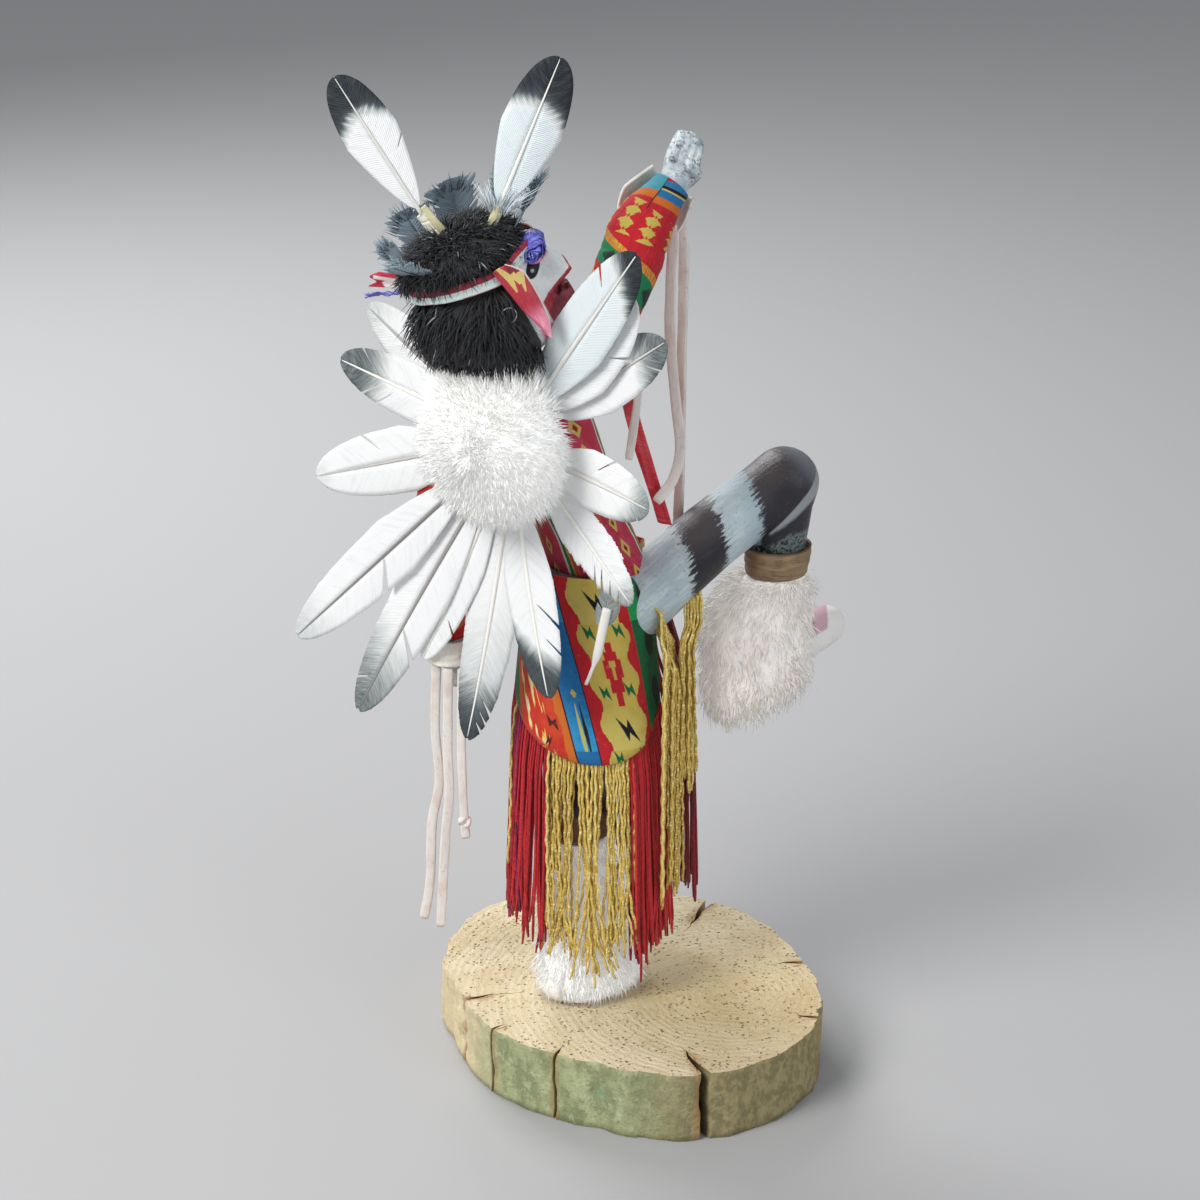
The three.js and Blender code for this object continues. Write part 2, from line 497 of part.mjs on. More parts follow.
// two upright crest feathers with their leather wraps, and the ruff of
// short clipped feathers standing round the crown
const facing = new THREE.Vector3(0, -1, 0.1).normalize();
const CREST = [
  ['crest_feather_left', [-64.5, -19, 291], [-88.9, -18, 331.1], 17.5, [-57.8, -19, 282.6], 'crest_wrap_left', 2.1],
  ['crest_feather_right', [-41.5, -25, 293.5], [-23, -26, 338.4], 19, [-44.5, -24, 286], 'crest_wrap_right', 1.6],
];
const crestGrown = [];
for (const [name, b, t, w, root, wrap, wr] of CREST) {
  const g = feather(V(b), V(t), facing, w, 1.0, { quill: 0.05, qw: 2.4, sharp: 0.5 });
  crestGrown.push(toSolid(feather(V(b).lerp(V(t), -0.02), V(t).lerp(V(b), -0.02), facing, w + 1, 2.4, { quill: 0.05, qw: 3.2, sharp: 0.45 })));
  put(name, g, 0xdfe3e6, 0.7);
  const d = V(b).sub(V(root)).normalize(), L = V(b).distanceTo(V(root));
  const q = new THREE.CylinderGeometry(wr, wr * 0.85, L - 0.4, 8);
  const m = new THREE.Matrix4().makeRotationFromQuaternion(new THREE.Quaternion().setFromUnitVectors(new THREE.Vector3(0, 1, 0), d));
  m.setPosition(V(root).addScaledVector(d, (L - 0.4) / 2));
  q.applyMatrix4(m);
  const q2 = new THREE.CylinderGeometry(wr + GAP, wr + GAP, L + 4, 8).applyMatrix4(m);
  crestGrown.push(toSolid(q2));
  put(wrap, toGeo(largest(trim(q, crown(GAP)))), 0xdad6c4, 0.7);
}
const RUFF = [                        // base and tip in (forward, side, up) of the head
  ['ruff_feather_1', [-12, 9, 17], [-19, 13, 27.5], 12],
  ['ruff_feather_2', [-13, -3, 18], [-20.5, -4, 29.5], 13],
  ['ruff_feather_3', [-8, -12, 18], [-9, -20, 31], 13],
  ['ruff_feather_4', [3, -13.5, 18], [7, -21, 32], 14],
  ['ruff_feather_5', [14, -9, 17], [25, -14, 29], 13],
  ['ruff_feather_6', [16, 2, 15], [31, 1, 25], 13],
];
const ruffGrown = [];
for (const [name, b, t, w] of RUFF) {
  const B = headAt(b[0], b[1], b[2]), T = headAt(t[0], t[1], t[2]);
  const out = headAt(t[0] - 0, t[1], b[2]).sub(headAt(0, 0, b[2])).normalize();
  const d = T.clone().sub(B).normalize();
  const nrm = out.clone().addScaledVector(d, -out.dot(d)).normalize();
  const g = feather(B, T, nrm, w, 0.9, { quill: 0.06, qw: 4, sharp: 0.3 });
  let m = trim(g, crown(GAP), ...crestGrown, ...ruffGrown);
  ruffGrown.push(toSolid(feather(B.clone().addScaledVector(d, -0.5), T.clone().addScaledVector(d, 0.5), nrm, w + 0.8, 1.7, { quill: 0.06, qw: 5, sharp: 0.3 })));
  put(name, toGeo(largest(m)), 0x56616c, 0.9);
}

// ------------------------------------------------------------ thong routes
// [name, width, thickness, points from the exit to the free end]
const THONGS = [
  ['thong_raised_long', 3.4, 1.6, [[13.8, 11.6, 280], [13.9, 12, 262], [13.6, 12, 240], [13.6, 12.6, 215], [13.4, 13.6, 196], [13.1, 16.6, 184], [12.8, 18.6, 176]]],
  ['thong_raised_short', 3.4, 1.6, [[10.6, 6.2, 281], [9.8, 5.6, 264], [9.8, 4.6, 246], [11.6, 1.6, 226], [13, -1.5, 211], [10.6, -4.5, 202.5], [5.6, -7.4, 196.4]]],
  ['thong_lowered_1', 3.2, 1.6, [[-64.6, 10, 134.8], [-65.4, 9.4, 112], [-64.5, 9, 93], [-67, 8.6, 79], [-68.2, 8.2, 57], [-70.4, 8, 43.5]]],
  ['thong_lowered_2', 3.2, 1.6, [[-60.6, 6.4, 134.8], [-61.3, 5.6, 105], [-61.1, 5, 90], [-62.4, 5, 77], [-64.8, 5, 42]]],
  ['thong_lowered_3', 3, 1.6, [[-56.2, 6.6, 134.8], [-56.9, 6.4, 105], [-56.8, 6.4, 92], [-56.4, 6.4, 82], [-55.9, 6.4, 74]]],
  ['thong_shoulder', 2.6, 1.3, [[-0.8, -13, 246], [-0.4, -13.2, 233], [-1.6, -13.4, 222], [-3, -13.6, 212.5]]],
];

// ------------------------------------------------------ sleeves, cuffs, shirt
// slab of space between two points along the line that joins them
function between(p0, p1, r = 80) {
  const a = V(p0), b = V(p1), d = b.clone().sub(a), L = d.length();
  const g = new THREE.CylinderGeometry(r, r, L, 6);
  const m = new THREE.Matrix4().makeRotationFromQuaternion(new THREE.Quaternion().setFromUnitVectors(new THREE.Vector3(0, 1, 0), d.normalize()));
  m.setPosition(a.clone().add(b).multiplyScalar(0.5));
  return toSolid(g.applyMatrix4(m));
}
const CLOTH = 0.9;
const fanSpace = fanSlab;
const sleeveR = (g) => toSolid(armRaised(CLOTH + GAP + g, 0.1)).intersect(between([-17, -16, 241.5], [9.6, 2.8, 293.6], 60));
const sleeveL = (g) => toSolid(armLowered(CLOTH + GAP + g, 0.1)).intersect(slab(144, 229));
put('sleeve_raised', toGeo(largest(sleeveR(0).subtract(bodyG))), 0xc8502c, 0.85);
put('sleeve_lowered', toGeo(largest(sleeveL(0).subtract(fanSide).subtract(bodyG))), 0xc8502c, 0.85);
{
  const wide = toSolid(torso(CLOTH + GAP)).add(toSolid(shoulders(CLOTH + GAP)));
  const m = wide.intersect(slab(171, 236)).subtract(fanSide).subtract(bodyG)
    .subtract(toSolid(armRaised(CLOTH + 2 * GAP, 0.1)).intersect(between([-17.6, -16.3, 240.7], [9.6, 2.8, 293.6], 60)))
    .subtract(toSolid(armLowered(CLOTH + 2 * GAP, 0.1)).intersect(slab(140, 229.6)));
  put('shirt', toGeo(largest(m)), 0xb84a52, 0.85);
}
// leather cuffs: a flared flap on the far side of the raised wrist, and a
// short flared tube on the lowered one
{
  const a = V(WRIST_R), d = V([1, -4, 283]).sub(a).normalize();
  const flare = (g, e) => toSolid(limb([add(a, -1.5 + e, d).toArray(), add(a, 8, d).toArray(), add(a, 19 - e, d).toArray()],
    [[8 + g, 7 + g], [12.5 + g, 10 + g], [14 + g, 11 + g]], { n: 12, steps: 2, ref: [1, 0, -0.5], cap0: 0, cap1: 0 }));
  const farSide = (() => {
    const g = new THREE.BoxGeometry(100, 100, 100);
    g.translate(a.x, a.y + 50 + 1.5, a.z);
    return toSolid(g);
  })();
  const m = flare(0, 0).subtract(flare(-1.1, -2)).intersect(farSide).subtract(bodyG).subtract(sleeveR(GAP))
    .subtract(toSolid(strip(THONGS[1][3], THONGS[1][1] + 0.9, THONGS[1][2] + 0.9, 10)))
    .subtract(toSolid(strip(THONGS[0][3], THONGS[0][1] + 0.9, THONGS[0][2] + 0.9, 10)));
  put('cuff_raised', toGeo(largest(m)), 0xeceae6, 0.7);
}
{
  const c = (z, r) => ring(new THREE.Vector3(-59.8, 12.3 - (z - 141) * 0.1, z), new THREE.Vector3(1, 0, 0), new THREE.Vector3(0, 1, 0), r, r, 10);
  const out = toSolid(loft([c(135.5, 6.6), c(143.6, 6.9)]));
  put('cuff_lowered', toGeo(largest(out.subtract(bodyG))), 0xeceae6, 0.7);
}

// ------------------------------------------------------------ kilt and fringe
const HIPX = -14, HIPY = 8;           // axis that the cloth hangs round
const bump = (x) => x * x * (3 - 2 * x);
const clampT = (x) => Math.min(1, Math.max(0, x));
// back panel, from the left hip (150 deg) round the back to the right hip
const A0 = 150, A1 = 338;
const backLow = (s) => 110 + (s < 0.68 ? 30 * ((0.68 - s) / 0.68) ** 2 : 60 * ((s - 0.68) / 0.32) ** 2 * 0.24);
const backTop = (s) => lerp(173, 150, bump(clampT((s - 0.8) / 0.2)));
const backRad = (s, h) => 20.8 + 3.6 * clampT(h * 1.2) + 1.6 * Math.cos(2 * Math.PI * (s - 0.1)) * clampT(h);
const thighSpace = () => toSolid(limb([HIP_R, [24, 8.5, 180], KNEE_R], [[12, 12], [11.3, 11.3], [11, 11.2]], { n: 10, steps: 3, ref: [0, 0, 1] }));
{
  const g = panel(HIPX, HIPY, A0, A1, backTop, backLow, backRad, 0.9, 13, 2);
  put('kilt_back', toGeo(largest(toSolid(g).subtract(bodyG).subtract(fanSpace))), 0xd46a2c, 0.85);
  const f = panel(HIPX, HIPY, 42, 118, (s) => 173, (s) => 118 + 20 * (2 * s - 1) ** 2, (s, h) => 21.5 + 6 * clampT(h), 0.9, 6, 2);
  put('kilt_front', toGeo(largest(toSolid(f).subtract(bodyG))), 0xd46a2c, 0.85);
}
// hanks of hanging strands, each a curved slab just under the cloth's hem
const bodyFringe = [
  ['fringe_left_red', 150, 230, (s) => lerp(139, 117, s) - 0.8, (s) => lerp(56, 48, s), 3.4, 0xb8202a, 5],
  ['fringe_back_gold', 231, 300, null, (s) => 47 - 2 * Math.sin(Math.PI * s), 3.4, 0xc8a040, 7],
  ['fringe_right_red', 301, 336, null, (s) => lerp(41, 46, s), 3.2, 0xb8202a, 5],
];
for (const [name, a0, a1, , low, t, col, n] of bodyFringe) {
  const S = (s) => (lerp(a0, a1, s) - A0) / (A1 - A0);
  const g = panel(HIPX, HIPY, a0, a1, (s) => backLow(S(s)) - GAP - 0.6, low,
    (s, h) => backRad(S(s), 1) - 2.2 + 2.6 * clampT(h), t, n, 2);
  put(name, toGeo(largest(toSolid(g).subtract(bodyG))), col, 0.8);
}
{
  // strands from the lifted hem under the raised thigh
  const ex = new THREE.Vector3(14.5, 11, 0).normalize();
  const g = plate(orient([[0, 150], [2, 60], [9, 58], [10, 96], [17.6, 104], [17.6, 160], [10, 156]]), 3, new THREE.Vector3(6.6, -13, 0), ex, Z);
  put('fringe_side_gold', toGeo(largest(trim(g, thighSpace()))), 0xc8a040, 0.8);
  const f = panel(HIPX, HIPY, 12, 122, (s) => lerp(140, 117, clampT(s * 3)), (s) => 52 + 6 * s, (s, h) => 30.6 - 1.6 * s + 3.4 * h, 3.2, 8, 2);
  put('fringe_front_red', toGeo(largest(trim(f, thighSpace()))), 0x7c1420, 0.8);
}
// red ribbon from the raised shoulder to the belt
{
  const pts = [[-4, -9, 235], [-1.8, -8, 224], [2.6, -5, 208], [6.5, -1, 194], [8.6, 1.5, 186]];
  const rings = pts.map((p, i) => ring(V(p), new THREE.Vector3(0.9, 0.3, -0.3).normalize(), new THREE.Vector3(-0.32, 0.95, 0).normalize(), 3 - 0.1 * i, 0.45, 8));
  put('sash_ribbon', toGeo(largest(trim(loft(rings.slice().reverse()), fanSpace, toSolid(torso(CLOTH + 2 * GAP)), toSolid(shoulders(CLOTH + 2 * GAP)), toSolid(armRaised(CLOTH + 2 * GAP, 0.1)), thighSpace()))), 0xc81c34, 0.6);
}
// small feather that hangs in front of the kilt
put('hanging_feather', feather(new THREE.Vector3(-15.4, -21.5, 142), new THREE.Vector3(-7.4, -22.5, 177.5), new THREE.Vector3(-0.2, -1, 0.05), 7, 0.9, { quill: 0.3, qw: 1.8 }), 0xb4b8bc, 0.7);

// ------------------------------------------------------------ bands and boots
{
  const cR = (z, x, y, r, n = 14) => ring(new THREE.Vector3(x, y, z), new THREE.Vector3(1, 0, 0), new THREE.Vector3(0, 1, 0), r, r, n);
  put('knee_band_raised', toGeo(largest(trim(loft([cR(165, 44.6, 15, 9), cR(174.2, 45.2, 15.2, 9.9)])))), 0x8c6a44, 0.6);
  const flat = new THREE.Vector3(0, 1, 0);
  const fr2 = [[[39.5, 14, 121], 16, 14.5], [[39, 13.5, 129], 19.2, 17], [[39, 14, 148], 18.8, 17.5], [[42.5, 14.5, 159], 14.5, 14], [[44.4, 15, 164.4], 9.6, 9.6]]
    .map(([c, a, b], i) => ring(V(c), new THREE.Vector3(1, 0.1, 0.42 * (1 - i / 4)), flat, a, b, 12));
  put('fur_boot_raised', toGeo(largest(trim(loft(fr2)))), 0xf2eee8, 1);
}
{
  const fx = new THREE.Vector3(0.62, 0.78, 0), fy = new THREE.Vector3(-0.78, 0.62, 0);
  const rr = [[[-15, 0, 24.4], 21, 14], [[-15.5, -0.5, 31], 22, 17], [[-17.3, 0.4, 43], 14.8, 14.6], [[-18.3, 1.6, 58], 13.6, 13.6], [[-19.3, 3.4, 77], 10.6, 10.6]]
    .map(([c, a, b]) => ring(V(c), fx, fy, a, b, 12));
  put('fur_boot_standing', toGeo(largest(trim(loft(rr)).intersect(aboveBase))), 0xf4f4f2, 1);
  const cR = (z, r) => ring(new THREE.Vector3(-19.1, 4.4 + (z - 84) * 0.1, z), new THREE.Vector3(1, 0, 0), new THREE.Vector3(0, 1, 0), r, r, 14);
  put('knee_band_standing', toGeo(largest(trim(loft([cR(78.6, 10.4), cR(87.5, 11)])))), 0x8c6a44, 0.6);
}

// ------------------------------------------------------------- leather thongs
for (const [name, w, t, pts] of THONGS) {
  const g = strip(pts, w, t, Math.max(5, Math.round((pts.length - 1) * 1.35)));
  put(name, toGeo(toSolid(g)), 0xe4dcd4, 0.8);
}

export default model;
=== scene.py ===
# Dressed dancer on a slice of tree trunk: the finished surfaces.
#
# Everything is laid out in millimetres in a working frame in which the figure
# faces between +X and +Y, and is turned into the row frame, in metres, when a
# mesh is made (to_row).
import math

import bpy
import numpy as np
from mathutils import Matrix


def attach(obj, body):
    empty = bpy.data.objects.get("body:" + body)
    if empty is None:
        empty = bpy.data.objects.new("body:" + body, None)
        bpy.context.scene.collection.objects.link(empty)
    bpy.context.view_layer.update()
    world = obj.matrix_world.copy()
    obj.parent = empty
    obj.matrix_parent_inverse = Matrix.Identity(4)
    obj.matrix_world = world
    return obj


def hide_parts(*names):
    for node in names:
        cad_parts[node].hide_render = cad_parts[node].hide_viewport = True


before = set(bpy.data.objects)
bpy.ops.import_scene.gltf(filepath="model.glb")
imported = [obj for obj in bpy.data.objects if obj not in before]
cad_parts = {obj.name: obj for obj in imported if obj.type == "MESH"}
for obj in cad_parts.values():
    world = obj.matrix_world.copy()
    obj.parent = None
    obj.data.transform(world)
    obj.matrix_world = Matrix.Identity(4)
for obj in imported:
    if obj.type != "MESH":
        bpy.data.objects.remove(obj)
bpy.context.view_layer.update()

TURN = -3 * math.pi / 4
CT, ST = math.cos(TURN), math.sin(TURN)


def arr(*a):
    return np.array(a if len(a) > 1 else a[0], float)


def to_row(p):
    p = np.asarray(p, float)
    q = np.empty_like(p)
    q[..., 0] = p[..., 0] * CT - p[..., 1] * ST
    q[..., 1] = p[..., 0] * ST + p[..., 1] * CT
    q[..., 2] = p[..., 2]
    return q / 1000


def lerp(a, b, t):
    return a + (b - a) * t


def unit(v):
    v = np.asarray(v, float)
    return v / np.maximum(np.linalg.norm(v, axis=-1, keepdims=True), 1e-9)


def smooth(x, a, b):
    t = np.clip((np.asarray(x, float) - a) / (b - a), 0, 1)
    return t * t * (3 - 2 * t)


# smooth repeatable noise on points, from a few layers of value noise
def noise(p, scale=1.0, seed=0, octaves=3, gain=0.5):
    p = np.asarray(p, float) * scale
    total, amp, norm = 0.0, 1.0, 0.0
    for o in range(octaves):
        q = p * (2 ** o) + 17.3 * (seed + 1) + 5.1 * o
        i = np.floor(q).astype(np.int64)
        f = q - i
        f = f * f * (3 - 2 * f)
        acc = 0.0
        for dx in (0, 1):
            for dy in (0, 1):
                for dz in (0, 1):
                    h = (i[..., 0] + dx) * 374761393 + (i[..., 1] + dy) * 668265263 + (i[..., 2] + dz) * 2147483647 + seed * 974711
                    h = (h ^ (h >> 13)) * 1274126177
                    h = h ^ (h >> 16)
                    r = (h & 0xFFFF) / 65535.0
                    w = (f[..., 0] if dx else 1 - f[..., 0]) * (f[..., 1] if dy else 1 - f[..., 1]) * (f[..., 2] if dz else 1 - f[..., 2])
                    acc = acc + r * w
        total = total + (acc * 2 - 1) * amp
        norm += amp
        amp *= gain
    return total / norm


def hashf(n, seed=0):
    n = np.asarray(n, np.int64)
    h = n * 374761393 + seed * 668265263 + 12345
    h = (h ^ (h >> 13)) * 1274126177
    h = h ^ (h >> 16)
    return (h & 0xFFFF) / 65535.0


# ------------------------------------------------------------------ materials
def lin(c):
    if isinstance(c, str):
        c = [int(c[i:i + 2], 16) / 255 for i in (1, 3, 5)]
        return tuple(x / 12.92 if x <= 0.04045 else ((x + 0.055) / 1.055) ** 2.4 for x in c) + (1.0,)
    return tuple(c)[:3] + (1.0,)


class T:
    """A number in a material's node tree, with arithmetic."""

    def __init__(self, nt, s):
        self.nt, self.s = nt, s

    def op(self, kind, *args, clamp=False):
        n = self.nt.nodes.new("ShaderNodeMath")
        n.operation = kind
        n.use_clamp = clamp
        for i, a in enumerate((self,) + args):
            if isinstance(a, T):
                self.nt.links.new(a.s, n.inputs[i])
            else:
                n.inputs[i].default_value = float(a)
        return T(self.nt, n.outputs[0])

    def __add__(a, b): return a.op("ADD", b)
    def __radd__(a, b): return a.op("ADD", b)
    def __sub__(a, b): return a.op("SUBTRACT", b)
    def __rsub__(a, b): return a.op("MULTIPLY", -1).op("ADD", b)
    def __mul__(a, b): return a.op("MULTIPLY", b)
    def __rmul__(a, b): return a.op("MULTIPLY", b)
    def __truediv__(a, b): return a.op("DIVIDE", b)
    def __lt__(a, b): return a.op("LESS_THAN", b)
    def __gt__(a, b): return a.op("GREATER_THAN", b)
    def __and__(a, b): return a.op("MINIMUM", b)
    def __or__(a, b): return a.op("MAXIMUM", b)
    def __neg__(a): return a.op("MULTIPLY", -1)
    def abs(a): return a.op("ABSOLUTE")
    def frac(a): return a.op("FRACT")
    def floor(a): return a.op("FLOOR")
    def sin(a): return a.op("SINE")
    def pow(a, b): return a.op("POWER", b)
    def clamp(a): return a.op("ADD", 0.0, clamp=True)
    def inv(a): return a.op("MULTIPLY", -1).op("ADD", 1)

    def ramp(self, a, b, lo=0.0, hi=1.0):
        n = self.nt.nodes.new("ShaderNodeMapRange")
        n.interpolation_type = "SMOOTHSTEP"
        self.nt.links.new(self.s, n.inputs[0])
        for i, v in ((1, a), (2, b), (3, lo), (4, hi)):
            n.inputs[i].default_value = v
        return T(self.nt, n.outputs[0])

    def between(self, a, b):
        return (self > a) & (self < b)


class M:
    """A material, with short ways to make its nodes."""

    def __init__(self, name, rough=0.8, **sockets):
        self.m = bpy.data.materials.new(name)
        self.m.use_nodes = True
        self.nt = self.m.node_tree
        self.b = self.nt.nodes["Principled BSDF"]
        self.b.inputs["Roughness"].default_value = rough
        self.b.inputs["Specular IOR Level"].default_value = 0.3
        for k, v in sockets.items():
            s = self.b.inputs[k.replace("_", " ")]
            s.default_value = lin(v) if isinstance(v, (tuple, str)) else v

    def vec(self, name="wk"):
        n = self.nt.nodes.new("ShaderNodeAttribute")
        n.attribute_name = name
        return n.outputs["Vector"]

    def fac(self, name):
        n = self.nt.nodes.new("ShaderNodeAttribute")
        n.attribute_name = name
        return T(self.nt, n.outputs["Fac"])

    def xyz(self, v="wk"):
        n = self.nt.nodes.new("ShaderNodeSeparateXYZ")
        self.nt.links.new(self.vec(v) if isinstance(v, str) else v, n.inputs[0])
        return [T(self.nt, o) for o in n.outputs]

    def join(self, *p):
        n = self.nt.nodes.new("ShaderNodeCombineXYZ")
        for i, a in enumerate(p):
            if isinstance(a, T):
                self.nt.links.new(a.s, n.inputs[i])
            else:
                n.inputs[i].default_value = float(a)
        return n.outputs[0]

    def noise(self, v, scale, detail=2.0, rough=0.5, distort=0.0):
        n = self.nt.nodes.new("ShaderNodeTexNoise")
        self.nt.links.new(v, n.inputs["Vector"])
        n.inputs["Scale"].default_value = scale
        n.inputs["Detail"].default_value = detail
        n.inputs["Roughness"].default_value = rough
        n.inputs["Distortion"].default_value = distort
        return T(self.nt, n.outputs[0])

    def cells(self, v, scale, feature="F1", rnd=1.0):
        n = self.nt.nodes.new("ShaderNodeTexVoronoi")
        n.feature = feature
        self.nt.links.new(v, n.inputs["Vector"])
        n.inputs["Scale"].default_value = scale
        n.inputs["Randomness"].default_value = rnd
        return T(self.nt, n.outputs["Distance"])

    def mix(self, f, a, b):
        n = self.nt.nodes.new("ShaderNodeMix")
        n.data_type = "RGBA"
        if isinstance(f, T):
            self.nt.links.new(f.s, n.inputs[0])
        else:
            n.inputs[0].default_value = float(f)
        for i, c in ((6, a), (7, b)):
            if isinstance(c, (tuple, str)):
                n.inputs[i].default_value = lin(c)
            else:
                self.nt.links.new(c, n.inputs[i])
        return n.outputs[2]

    def paint(self, base, *layers):
        """base colour, then (where, colour) laid over it in turn"""
        c = base
        for f, col in layers:
            c = self.mix(f, c, col)
        return c

    def color(self, c):
        if isinstance(c, (tuple, str)):
            self.b.inputs["Base Color"].default_value = lin(c)
        else:
            self.nt.links.new(c, self.b.inputs["Base Color"])
        return self

    def rough(self, f):
        self.nt.links.new(f.s, self.b.inputs["Roughness"])
        return self

    def bump(self, h, mm=0.2, strength=1.0):
        n = self.nt.nodes.new("ShaderNodeBump")
        n.inputs["Distance"].default_value = mm / 1000
        n.inputs["Strength"].default_value = strength
        self.nt.links.new(h.s, n.inputs["Height"])
        self.nt.links.new(n.outputs[0], self.b.inputs["Normal"])
        return self


# --------------------------------------------------------------------- meshes
PIECES = {}


class Geo:
    """Points and faces gathered for one piece, with values per point."""

    def __init__(self):
        self.v, self.f, self.mi, self.at, self.n = [], [], [], {}, 0

    def add(self, v, f, mat=0, **at):
        v = np.asarray(v, float).reshape(-1, 3)
        for k in set(self.at) | set(at):
            self.at.setdefault(k, [])
        for k, lst in self.at.items():
            if k in at:
                a = np.asarray(at[k], float)
                a = np.broadcast_to(a, (len(v),) + a.shape[1:]) if a.ndim and len(a) == len(v) else np.broadcast_to(a, (len(v),) + a.shape)
                lst.append((self.n, a))
        for g in ([f] if isinstance(f, np.ndarray) else f if isinstance(f, tuple) else [np.asarray(f)]):
            if len(g):
                self.f.append(np.asarray(g, np.int64) + self.n)
                self.mi.append(np.full(len(g), mat, np.int32))
        self.v.append(v)
        self.n += len(v)
        return self

    def merge(self, o):
        for g, m in zip(o.f, o.mi):
            self.f.append(g + self.n)
            self.mi.append(m)
        for k, lst in o.at.items():
            self.at.setdefault(k, []).extend((s + self.n, a) for s, a in lst)
        self.v.extend(o.v)
        self.n += o.n
        return self


def grid_faces(nu, nv, wrap_u=False, wrap_v=False, off=0):
    iu = np.arange(nu if wrap_u else nu - 1)
    iv = np.arange(nv if wrap_v else nv - 1)
    a, b = np.meshgrid(iu, iv, indexing="ij")
    a, b = a.ravel(), b.ravel()
    a1, b1 = (a + 1) % nu, (b + 1) % nv
    return np.stack([a * nv + b, a1 * nv + b, a1 * nv + b1, a * nv + b1], 1) + off


def build(name, geo, mats, replaces=(), smooth_faces=True, solid=None, body="root"):
    """makes the piece's mesh in the row frame, in metres"""
    V = np.concatenate(geo.v)
    me = bpy.data.meshes.new(name)
    loops, starts, totals, mi = [], [], [], []
    k = 0
    for f, m in zip(geo.f, geo.mi):
        loops.append(f.ravel())
        starts.append(np.arange(len(f)) * f.shape[1] + k)
        totals.append(np.full(len(f), f.shape[1]))
        mi.append(m)
        k += f.size
    loops, starts, totals, mi = map(np.concatenate, (loops, starts, totals, mi))
    me.vertices.add(len(V))
    me.vertices.foreach_set("co", to_row(V).astype(np.float32).ravel())
    me.loops.add(len(loops))
    me.loops.foreach_set("vertex_index", loops.astype(np.int32))
    me.polygons.add(len(starts))
    me.polygons.foreach_set("loop_start", starts.astype(np.int32))
    me.polygons.foreach_set("loop_total", totals.astype(np.int32))
    me.polygons.foreach_set("material_index", mi.astype(np.int32))
    me.polygons.foreach_set("use_smooth", np.full(len(starts), bool(smooth_faces)))
    me.update(calc_edges=True)
    at = {"wk": V}
    for key, lst in geo.at.items():
        shape = lst[0][1].shape[1:]
        full = np.zeros((len(V),) + shape)
        for s, a in lst:
            full[s:s + len(a)] = a
        at[key] = full
    for key, a in at.items():
        if a.ndim == 2:
            x = me.attributes.new(key, "FLOAT_VECTOR", "POINT")
            x.data.foreach_set("vector", a.astype(np.float32).ravel())
        else:
            x = me.attributes.new(key, "FLOAT", "POINT")
            x.data.foreach_set("value", a.astype(np.float32))
    o = bpy.data.objects.new(name, me)
    bpy.context.scene.collection.objects.link(o)
    for m in mats:
        me.materials.append(m.m if isinstance(m, M) else m)
    if solid:
        apply(o, "SOLIDIFY", thickness=solid / 1000, offset=0.0, use_even_offset=True, use_rim=True)
    me = o.data
    me.validate(clean_customdata=False)
    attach(o, body)
    if replaces:
        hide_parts(*([replaces] if isinstance(replaces, str) else replaces))
    PIECES[name] = o
    return o


def apply(o, kind, **settings):
    """a modifier, applied to the mesh at once"""
    bpy.context.view_layer.objects.active = o
    md = o.modifiers.new(kind.lower(), kind)
    for k, v in settings.items():
        setattr(md, k, v)
    dg = bpy.context.evaluated_depsgraph_get()
    new = bpy.data.meshes.new_from_object(o.evaluated_get(dg), preserve_all_data_layers=True, depsgraph=dg)
    old = o.data
    o.modifiers.clear()
    o.data = new
    bpy.data.meshes.remove(old)
    return o


# ----------------------------------------------------------- curves and tubes
def catmull(points, ts):
    """centripetal spline through the points, at parameters 0..1"""
    P = np.asarray(points, float)
    n = len(P)
    out = []
    for t in np.atleast_1d(ts):
        p = (n - 1) * t
        i = int(math.floor(p))
        w = p - i
        if i >= n - 1:
            i, w = n - 2, 1.0
        p1, p2 = P[i], P[i + 1]
        p0 = P[i - 1] if i > 0 else 2 * P[0] - P[1]
        p3 = P[i + 2] if i + 2 < n else 2 * P[-1] - P[-2]
        d0 = max(np.sum((p1 - p0) ** 2) ** 0.25, 1e-4)
        d1 = max(np.sum((p2 - p1) ** 2) ** 0.25, 1e-4)
        d2 = max(np.sum((p3 - p2) ** 2) ** 0.25, 1e-4)
        t1 = ((p1 - p0) / d0 - (p2 - p0) / (d0 + d1) + (p2 - p1) / d1) * d1
        t2 = ((p2 - p1) / d1 - (p3 - p1) / (d1 + d2) + (p3 - p2) / d2) * d1
        out.append(p1 + t1 * w + (-3 * p1 + 3 * p2 - 2 * t1 - t2) * w * w + (2 * p1 - 2 * p2 + t1 + t2) * w ** 3)
    return np.array(out)


def even(points, n):
    """n points evenly spaced along the spline, and its length"""
    d = catmull(points, np.linspace(0, 1, 400))
    s = np.concatenate([[0], np.cumsum(np.linalg.norm(np.diff(d, axis=0), axis=1))])
    q = np.linspace(0, s[-1], n)
    return np.stack([np.interp(q, s, d[:, k]) for k in range(3)], 1), s[-1]


def frames(path, ref):
    """tangent and two side directions at each point, the first near ref"""
    path = np.asarray(path, float)
    t = unit(np.gradient(path, axis=0))
    u = unit(ref - t[0] * np.dot(ref, t[0]))
    U = []
    for k in range(len(path)):
        u = unit(u - t[k] * np.dot(u, t[k]))
        U.append(u)
    U = np.array(U)
    return t, U, np.cross(t, U)


